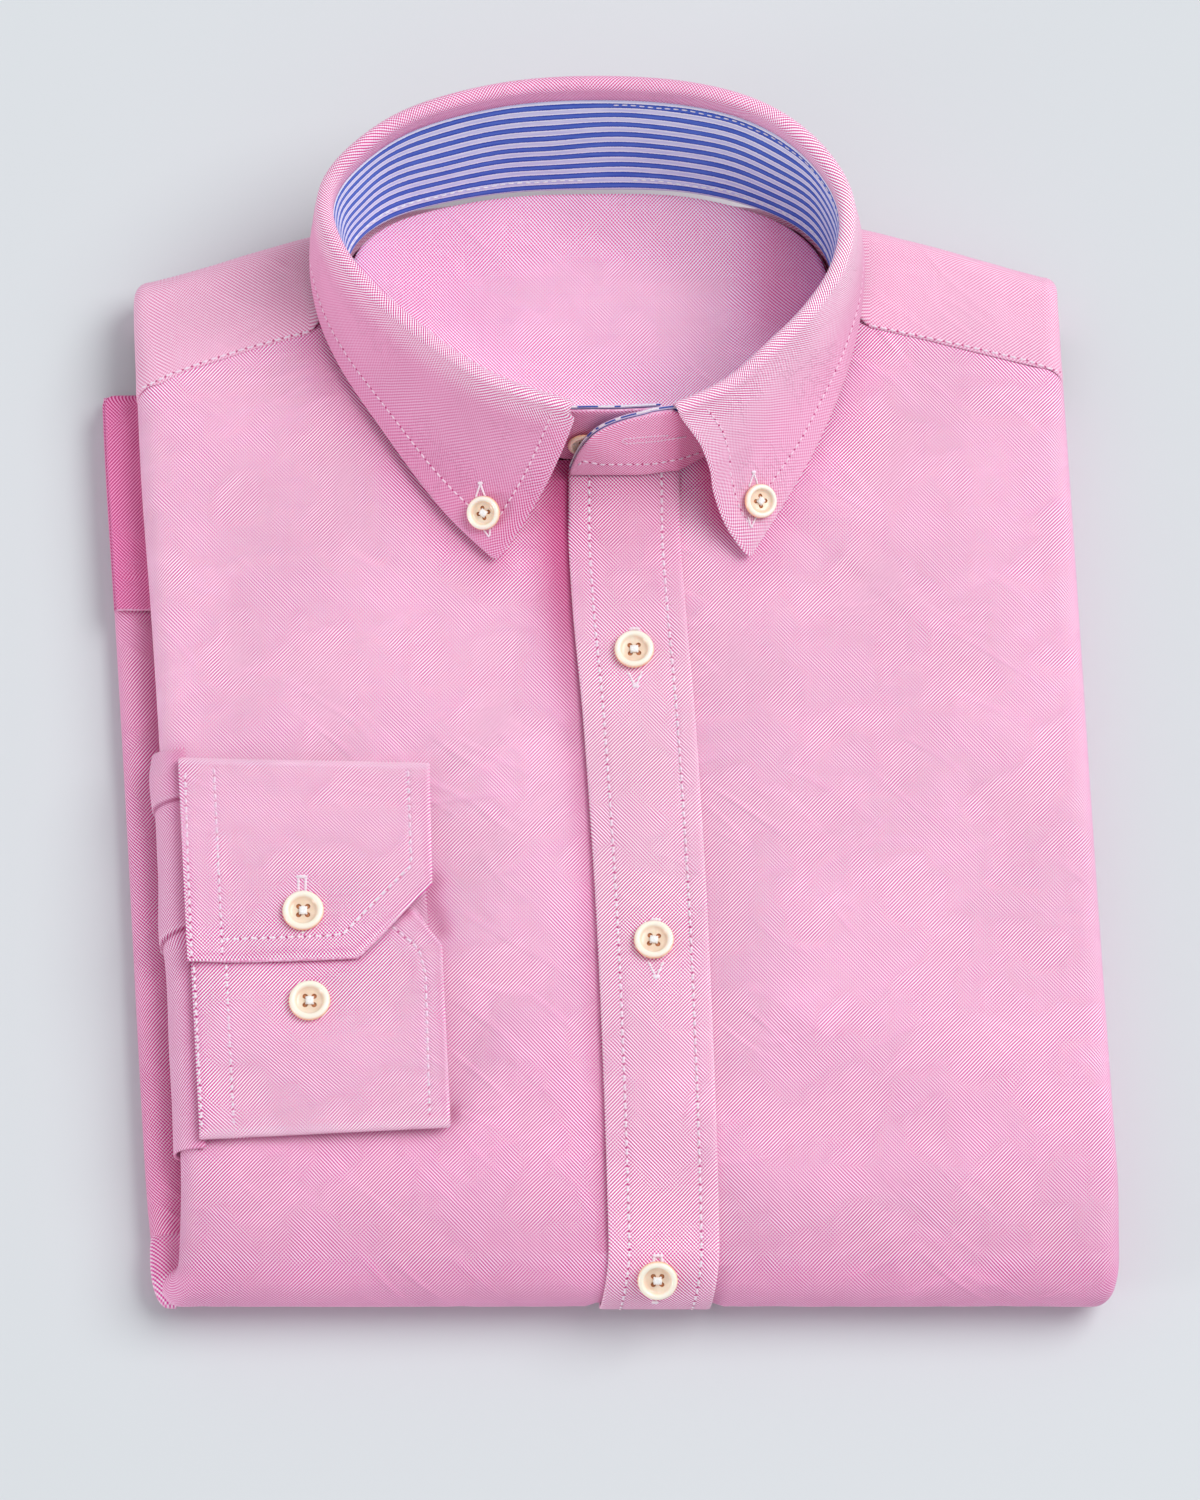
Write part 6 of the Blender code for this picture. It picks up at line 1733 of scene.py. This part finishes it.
# cuff: two rows beside the sleeve and one round the free end, on each half
sew("cuff_overlap_stitches", [dropped("cuff_overlap_cloth", p) for p in (
    [(185.0, 772.0), (188.0, 866.0), (191.6, 957.0)],
    [(213.8, 767.0), (218.0, 860.0), (222.4, 954.0)],
    [(407.8, 769.5), (411.0, 862.0), (408.6, 869.0), (344.0, 933.0), (333.6, 935.5), (222.0, 939.6)])], pitch=2.6, length=1.75)
sew("cuff_underlap_stitches", [dropped("cuff_underlap_cloth", p) for p in (
    [(194.0, 966.0), (198.0, 1050.0), (202.0, 1128.0)],
    [(226.0, 963.0), (230.0, 1050.0), (234.0, 1126.0)],
    [(391.5, 926.0), (414.0, 945.0), (419.7, 952.0), (425.5, 974.0), (429.5, 1114.0)])], pitch=2.6, length=1.75)


def cord(bm, points, wide=0.5, tall=0.5, pitch=0.7, lift=0.1, mat=0):
    """A thread laid along (point, normal) pairs, as overlapping short bars."""
    for at, way, run in walk([p for p, _ in points], pitch * MM, pitch * MM / 2):
        near = min(range(len(points)), key=lambda i: (points[i][0] - at).length_squared)
        normal = points[near][1]
        bead(bm, at + normal * lift * MM, frame_at(normal, way), pitch * 1.5 * MM, wide * MM, tall * MM, mat=mat, rings=4, sides=6)


def tack(bm, points, wide, long, tall=0.6, lift=0.15, mat=0):
    """One bar tack at the middle of (point, normal) pairs, along them."""
    (a, n), (b, _) = points[0], points[-1]
    bead(bm, (a + b) / 2 + n * lift * MM, frame_at(n, b - a), long * MM, wide * MM, tall * MM, mat=mat, rings=6)

# the striped lining: one row near its top edge, one along its lower edge
def on_lining(s, f):
    k = 12 + s / 0.15
    i = min(len(LINING_ROWS) - 2, int(k))
    m = max(n for n in range(len(BAND_UP) - 1) if BAND_UP[n] <= f)
    g = (f - BAND_UP[m]) / (BAND_UP[m + 1] - BAND_UP[m])
    a = Vector(LINING_ROWS[i][m]).lerp(Vector(LINING_ROWS[i][m + 1]), g)
    b = Vector(LINING_ROWS[i + 1][m]).lerp(Vector(LINING_ROWS[i + 1][m + 1]), g)
    p = a.lerp(b, k - i)
    n = ring_normal(min(17.8, max(0.2, s)))
    return W(tuple(p)), Vector((-n[0], -n[1], 0.15)).normalized()


sew("lining_stitches", [[on_lining(lerp(9.2, 13.2, k / 80), 0.945 + 0.006 * math.sin(k * 0.5)) for k in range(81)],
                        [on_lining(lerp(5.2, 8.9, k / 60), 0.115 + 0.006 * math.sin(k * 0.7)) for k in range(61)],
                        [on_lining(lerp(9.4, 13.4, k / 60), 0.105 + 0.010 * math.sin(k * 0.5)) for k in range(61)]],
    pitch=2.5, length=1.6, wide=0.42, tall=0.40, sink=0.10, thread=BLUE_THREAD, hole=False)

# piping where the band and its lining meet: white, with dashes of blue
bm = bmesh.new()
BLUE_AT = ((6.3, 10.3), (1.6, 4.4), (-1.2, -0.2), (-3.6, -2.4), (16.9, 21.1))
for part, under in ((PIPED_ROWS[132:], False), (PIPED_ROWS[:14], True)):
    tops = [W(row[-1]) for row in part]
    for at, way, run in walk(tops, 0.6 * MM, 0.0):
        x = at.x / MM + CENTRE_X
        inked = (-6.4 < x < -0.4 or 4.4 < x < 5.8 or x > 16.0) if under else any(a < x < b for a, b in BLUE_AT)
        bead(bm, at + Vector((0, 0, 0.16 * MM)), frame_at(Vector((0, -0.3, 1)), way), 0.95 * MM, (0.52 if inked else 0.42) * MM, 0.42 * MM, mat=1 if inked else 0, rings=4, sides=6)
end = [W((PIPED_ROWS[-1][0][0], PIPED_ROWS[-1][0][1] - 1.2, z)) for z in (PIPED_ROWS[-1][0][2] + 0.6 * k for k in range(4))]
loose("band_piping", bm, [BLUE_THREAD, INK_THREAD])

# a short blue thread line where the upper cuff's free edge lies on the lower one
bm = bmesh.new()
cord(bm, dropped("cuff_underlap_cloth", [(260.0, 960.0), (290.0, 959.4), (318.0, 958.0)]), wide=0.42, tall=0.36, pitch=0.9, lift=0.05)
loose("cuff_lining_edge", bm, [INK_THREAD])

# band: along its lower seam and round its end
sew("band_stitches", [dropped("collar_band", [(577.0, 466.0), (583.0, 461.0), (600.0, 464.5), (652.0, 464.0), (680.0, 459.0), (700.0, 452.5)])], pitch=2.6, length=1.6, wide=0.55)


# ---------------------------------------------------------------- buttonholes and buttons
def worked_hole(bm, centre, turn, long, wide, thick=0.55):
    """A thread outline round a slit, with a bar across each end."""
    for side in (-1, 1):
        steps = int(long / 0.42)
        for k in range(steps):
            t = -0.5 + (k + 0.5) / steps
            bead(bm, centre + turn @ Vector((t * long * MM, side * (wide / 2 - thick / 2) * MM, 0.0)), turn @ Matrix.Rotation(math.pi / 2, 3, "Z"), (wide / 2 - 0.1) * MM, 0.40 * MM, 0.42 * MM, rings=4, sides=6)
    for end in (-1, 1):
        bead(bm, centre + turn @ Vector((end * long / 2 * MM, 0.0, 0.05 * MM)), turn @ Matrix.Rotation(math.pi / 2, 3, "Z"), (wide + 0.5) * MM, 0.62 * MM, 0.62 * MM, rings=6)


BUTTON_PROFILE = ((0.0, 0.44), (0.30, 0.44), (0.50, 0.45), (0.58, 0.49), (0.64, 0.60), (0.69, 0.80), (0.74, 0.94), (0.80, 1.0), (0.87, 0.98), (0.94, 0.86), (0.985, 0.66), (1.0, 0.48), (0.985, 0.32), (0.93, 0.16), (0.82, 0.05), (0.6, 0.0), (0.0, 0.0))


def pearl_button(name, diameter, at, normal, mat, thick=2.3, spin=0.0, hole_gap=0.19, knot=True):
    """A four-hole button: rim, sunk middle, holes cut right through, crossed thread."""
    bm = bmesh.new()
    steps = 72
    loops = []
    for r, h in BUTTON_PROFILE:
        if r == 0.0:
            loops.append([bm.verts.new((0, 0, h * thick * MM))])
        else:
            loops.append([bm.verts.new((math.cos(2 * math.pi * m / steps) * r * diameter / 2 * MM, math.sin(2 * math.pi * m / steps) * r * diameter / 2 * MM, h * thick * MM)) for m in range(steps)])
    for a, b in zip(loops, loops[1:]):
        for m in range(steps):
            if len(a) == 1:
                bm.faces.new((a[0], b[m], b[(m + 1) % steps]))
            elif len(b) == 1:
                bm.faces.new((a[(m + 1) % steps], a[m], b[0]))
            else:
                bm.faces.new((a[m], b[m], b[(m + 1) % steps], a[(m + 1) % steps]))
    bmesh.ops.recalc_face_normals(bm, faces=bm.faces)
    mesh = bpy.data.meshes.new(name)
    bm.to_mesh(mesh)
    bm.free()
    body = bpy.data.objects.new(name, mesh)
    bpy.context.scene.collection.objects.link(body)
    cut = bmesh.new()
    gap = hole_gap * 1.12 * diameter / 2 * math.sqrt(2)
    spots = []
    for m in range(4):
        a = math.pi / 4 + m * math.pi / 2
        c = Vector((math.cos(a) * gap * 1.0 * MM, math.sin(a) * gap * 1.0 * MM, 0.0))
        spots.append(c)
        bmesh.ops.create_cone(cut, cap_ends=True, segments=20, radius1=0.056 * diameter * MM, radius2=0.072 * diameter * MM, depth=thick * 1.9 * MM,
                              matrix=Matrix.Translation(c + Vector((0, 0, thick * 0.5 * MM))))
    cutter_mesh = bpy.data.meshes.new(name + "_cutter")
    cut.to_mesh(cutter_mesh)
    cut.free()
    cutter = bpy.data.objects.new(name + "_cutter", cutter_mesh)
    bpy.context.scene.collection.objects.link(cutter)
    holes = body.modifiers.new("holes", "BOOLEAN")
    holes.operation, holes.solver, holes.object = "DIFFERENCE", "EXACT", cutter
    bpy.context.view_layer.update()
    done = bpy.data.meshes.new_from_object(body.evaluated_get(bpy.context.evaluated_depsgraph_get()))
    bpy.data.objects.remove(body)
    bpy.data.objects.remove(cutter)
    done.materials.clear()
    done.materials.append(mat)
    done.materials.append(THREAD_WHITE)
    done.materials.append(HOLE_SHADED_THREAD)
    bm = bmesh.new()
    bm.from_mesh(done)
    for face in bm.faces:
        face.smooth = True
        face.material_index = 0
    bm.edges.ensure_lookup_table()
    for edge in bm.edges:
        if len(edge.link_faces) == 2 and edge.calc_face_angle(0.0) > math.radians(50):
            edge.smooth = False
    if knot:
        top = 0.44 * thick
        for a, b in ((0, 2), (1, 3)):
            pa, pb = spots[a], spots[b]
            mid = (pa + pb) / 2
            for lane in (-1, 1):
                way = (pb - pa).normalized()
                side = Vector((-way.y, way.x, 0)) * lane * 0.13 * MM
                turn = frame_at(Vector((0, 0, 1)), way)
                bead(bm, mid + side + Vector((0, 0, (top + 0.10 + 0.12 * a) * MM)), turn, (pb - pa).length * 0.90, 0.46 * MM, 0.46 * MM, mat=1, rings=10)
        bead(bm, Vector((0, 0, (top + 0.42) * MM)), Matrix.Identity(3), 0.215 * diameter * MM, 0.195 * diameter * MM, 1.1 * MM, mat=1, power=2.2, rings=8, sides=12)
        for c in spots:
            bead(bm, c + Vector((0, 0, (top - 0.62) * MM)), Matrix.Rotation(math.pi / 2, 3, "Y"), 0.7 * MM, 0.124 * diameter * MM, 0.124 * diameter * MM, mat=2, rings=4, sides=12)
    bm.to_mesh(done)
    bm.free()
    obj = bpy.data.objects.new(name, done)
    done.name = name
    obj.location = at
    obj.rotation_mode = "QUATERNION"
    obj.rotation_quaternion = Vector(normal).normalized().to_track_quat("Z", "Y") @ Matrix.Rotation(spin, 3, "Z").to_quaternion()
    bpy.context.scene.collection.objects.link(obj)
    return obj


THREAD_WHITE = thread_material("button_thread", (1.0, 0.97, 0.95))
# thread in the button's holes, coloured dark warm brown: painted shade in the holes and painted warm light seen through
# the button
HOLE_SHADED_THREAD = thread_material("button_hole_thread", (0.56, 0.22, 0.09), sheen=0.0)
PEARL = pearl_material("pearl_button", (1.0, 0.90, 0.77), (0.96, 0.58, 0.34))


def fit_button(name, diameter, at, normal, **extra):
    made = pearl_button(name, diameter, at, normal, PEARL, **extra)
    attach(made, "root")
    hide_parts(name.replace("_look", ""))
    pieces[name] = made
    return made


for k, (x, y) in enumerate(((9.8, 193.6), (15.3, 105.8))):
    fit_button(f"front_button_{k + 1}_look", FRONT_BUTTON_D, W((x, y, front_z(x, y) + BAND_RISE + 0.1)), (0, 0, 1), spin=(0.05, -0.08)[k])
tilt = math.radians(35)
rho = ROLL_R + BAND_RISE + 0.7
fit_button("front_button_3_look", FRONT_BUTTON_D, W((16.2, ROLL_Y - rho * math.sin(tilt), ROLL_R + rho * math.cos(tilt))), (0, -math.sin(tilt), math.cos(tilt)))


def on_leaf(x, y):
    """Point and normal of the leaf over (x, y)."""
    best = None
    for i in range(0, 181):
        s = i * 0.1
        if (x < 0) != (s < 9):
            continue
        for j in range(0, 61):
            p = leaf_base(s, 6 + j * 0.1)
            d = (p.x - x) ** 2 + (p.y - y) ** 2
            if best is None or d < best[0]:
                best = (d, s, 6 + j * 0.1, p)
    _, s, k, p = best
    return p, leaf_normal(s, k)


leaf_spots = []
for k, (x, y) in enumerate(((-34.3, 234.6), (44.6, 237.2))):
    p, n = on_leaf(x, y)
    leaf_spots.append((p, n))
    fit_button(f"collar_button_{k + 1}_look", COLLAR_BUTTON_D, W(tuple(p + n * 0.3)), n)
fit_button("cuff_button_1_look", CUFF_BUTTON_D, W(tilted(-84.2, 113.6, 31.7 + 0.1)), (-0.018, 0, 1))
fit_button("cuff_button_2_look", CUFF_BUTTON_D, W(tilted(-82.2, 87.2, 30.0 + 0.1)), (-0.018, 0, 1))
fit_button("stand_button_look", COLLAR_BUTTON_D, W((-4.4, 253.3, 38.6)), (0.0, -0.965, 0.26), thick=1.5)


# ---------------------------------------------------------------- buttonholes, as far as each button leaves them showing
bm = bmesh.new()
for bar, legs, feet, foot in (
        (((630.0, 629.0), (640.0, 629.0)), (((631.3, 630.5), (629.6, 642.0)), ((638.6, 630.5), (640.0, 642.0))), (((628.0, 672.0), (634.6, 685.0)), ((642.0, 672.0), (636.4, 685.0))), ((632.6, 686.0), (638.6, 686.0))),
        (((650.5, 920.0), (660.5, 920.0)), (((651.8, 921.5), (650.2, 932.0)), ((659.2, 921.5), (660.6, 932.0))), (((649.0, 963.0), (655.4, 976.0)), ((663.0, 963.0), (657.2, 976.0))), ((653.4, 977.0), (659.4, 977.0))),
        (((653.0, 1256.0), (663.0, 1256.0)), (((654.3, 1257.5), (653.0, 1266.0)), ((661.6, 1257.5), (663.0, 1266.0))), (), ((652.0, 1301.5), (658.0, 1301.5)))):
    tack(bm, dropped("placket_band", list(bar), fine=3), 1.0, 3.2, tall=0.8, lift=0.30)
    for line in legs:
        cord(bm, dropped("placket_band", list(line), fine=2), wide=0.85, tall=0.7, lift=0.25)
    for line in feet:
        cord(bm, dropped("placket_band", list(line), fine=2), wide=0.62, tall=0.6, lift=0.22)
    tack(bm, dropped("placket_band", list(foot), fine=3), 1.3, 2.0, tall=0.8, lift=0.28)
loose("front_buttonholes", bm, [BAR_THREAD])
bm = bmesh.new()
for apex, legs, feet in (((480.5, 483.5), ((476.0, 497.0), (485.2, 497.0)), (((482.0, 527.0), (489.0, 537.0)), ((490.5, 524.0), (489.7, 537.0)))),
                         ((753.7, 472.5), ((749.0, 487.0), (758.4, 487.0)), (((748.0, 517.0), (750.8, 527.0)), ((756.0, 517.0), (751.4, 527.0))))):
    for leg in legs:
        cord(bm, dropped("collar_leaf_cloth", [apex, leg], fine=2), wide=0.62, tall=0.45)
    tack(bm, dropped("collar_leaf_cloth", [(apex[0] - 2.0, apex[1] - 0.5), (apex[0] + 2.0, apex[1] - 0.5)], fine=2), 0.95, 1.5)
    for line in feet:
        cord(bm, dropped("collar_leaf_cloth", list(line), fine=2), wide=0.50, tall=0.45, lift=0.16)
loose("collar_buttonholes", bm, [BAR_THREAD])
bm = bmesh.new()
tack(bm, dropped("cuff_overlap_cloth", [(297.0, 877.0), (307.0, 877.0)], fine=3), 1.0, 3.2, tall=0.8, lift=0.30)
for line in (((298.4, 878.5), (298.6, 892.0)), ((305.8, 878.5), (305.4, 892.0))):
    cord(bm, dropped("cuff_overlap_cloth", list(line), fine=2), wide=0.72, tall=0.5)
tack(bm, dropped("cuff_overlap_cloth", [(301.0, 932.5), (305.0, 932.5)], fine=2), 0.7, 1.1)
loose("cuff_buttonhole", bm, [BAR_THREAD])
bm = bmesh.new()
for line in (((625.0, 438.6), (659.0, 435.6), (668.0, 435.4)), ((625.0, 443.6), (659.0, 440.8), (672.0, 438.6), (687.0, 436.4)), ((625.6, 438.4), (622.6, 440.0), (622.6, 442.2), (625.6, 443.8))):
    cord(bm, dropped("collar_band", list(line), fine=2), wide=0.50, tall=0.42)
loose("band_buttonhole", bm, [thread_material("band_hole_thread", (0.97, 0.62, 0.80))])

# ---------------------------------------------------------------- cut of each sheet: flat size (m) of what shows of it
for name, flat, area, held, rests_on, with_pieces in (
        ("left_front_cloth", (0.153, 0.591), 0.0785, "folded", ["folded_layers_cloth"], []),
        ("right_front_cloth", (0.184, 0.591), 0.0910, "folded", ["folded_layers_cloth"], []),
        ("right_front_corner_cloth", (0.016, 0.022), None, "folded", ["right_front_cloth"], []),
        ("placket_band", (0.0325, 0.537), None, "folded", ["left_front_cloth", "right_front_cloth"], ["placket_stitches", "front_buttonholes"]),
        ("yoke_cloth", (0.308, 0.077), 0.0172, "folded", ["left_front_cloth", "right_front_cloth"], ["yoke_stitches"]),
        ("yoke_lining_cloth", (0.138, 0.087), 0.0099, "laid", ["folded_layers_cloth"], []),
        ("back_cloth", (0.244, 0.036), 0.0077, "folded", ["folded_layers_cloth"], []),
        ("collar_band", (0.419, 0.0275), None, "folded", ["yoke_lining_cloth"], ["band_stitches", "band_buttonhole", "band_piping"]),
        ("collar_band_lining", (0.405, 0.0275), None, "folded", ["yoke_lining_cloth"], ["lining_stitches"]),
        ("collar_leaf_cloth", (0.401, 0.059), 0.0187, "folded", ["collar_band"], ["collar_stitches", "collar_buttonholes"]),
        ("right_sleeve_cloth", (0.0206, 0.120), None, "folded", ["right_front_cloth"], []),
        ("right_sleeve_fold_cloth", (0.0155, 0.067), None, "folded", ["right_front_cloth"], []),
        ("cuff_overlap_cloth", (0.072, 0.068), 0.0044, "laid", ["cuff_underlap_cloth"], ["cuff_overlap_stitches", "cuff_buttonhole"]),
        ("cuff_underlap_cloth", (0.071, 0.075), 0.0051, "laid", ["cuff_back_cloth"], ["cuff_underlap_stitches", "cuff_lining_edge"]),
        ("cuff_back_cloth", (0.074, 0.106), 0.0071, "laid", ["right_front_cloth"], [])):
    extra = {"area": area} if area else {}
    if with_pieces:
        extra["with_pieces"] = [pieces[one] for one in with_pieces]


# ---------------------------------------------------------------- table, light, view
mat, t, shader = new_material("plain_floor")
shader.inputs["Base Color"].default_value = (0.672, 0.693, 0.712, 1.0)
shader.inputs["Roughness"].default_value = 0.95
shader.inputs["Specular IOR Level"].default_value = 0.1
bm = bmesh.new()
bmesh.ops.create_grid(bm, x_segments=2, y_segments=2, size=2.5)
mesh = bpy.data.meshes.new("floor")
bm.to_mesh(mesh)
bm.free()
mesh.materials.append(mat)
floor = bpy.data.objects.new("floor", mesh)
floor.location = (0.0, 0.0, -0.0002)
bpy.context.scene.collection.objects.link(floor)

world = bpy.data.worlds.new("studio")
bpy.context.scene.world = world
world.use_nodes = True
back = world.node_tree.nodes["Background"]
back.inputs["Color"].default_value = (0.93, 0.965, 1.0, 1.0)
back.inputs["Strength"].default_value = 0.575


def area_light(name, at, aim, size, power, colour=(1.0, 1.0, 1.0)):
    made = bpy.data.lights.new(name, "AREA")
    made.shape = "DISK"
    made.size = size
    made.energy = power
    made.color = colour
    obj = bpy.data.objects.new(name, made)
    obj.location = at
    obj.rotation_euler = (Vector(aim) - Vector(at)).to_track_quat("-Z", "Y").to_euler()
    bpy.context.scene.collection.objects.link(obj)
    return obj


area_light("key_light", (2.95, 1.0, 4.05), (0.0, 0.0, 0.0), 3.8, 186.0)
area_light("side_fill", (-3.2, -1.3, 0.56), (0.0, 0.0, 0.02), 1.1, 38.0)
bpy.context.scene.view_settings.view_transform = "Standard"
bpy.context.scene.view_settings.look = "None"

bpy.context.view_layer.update()
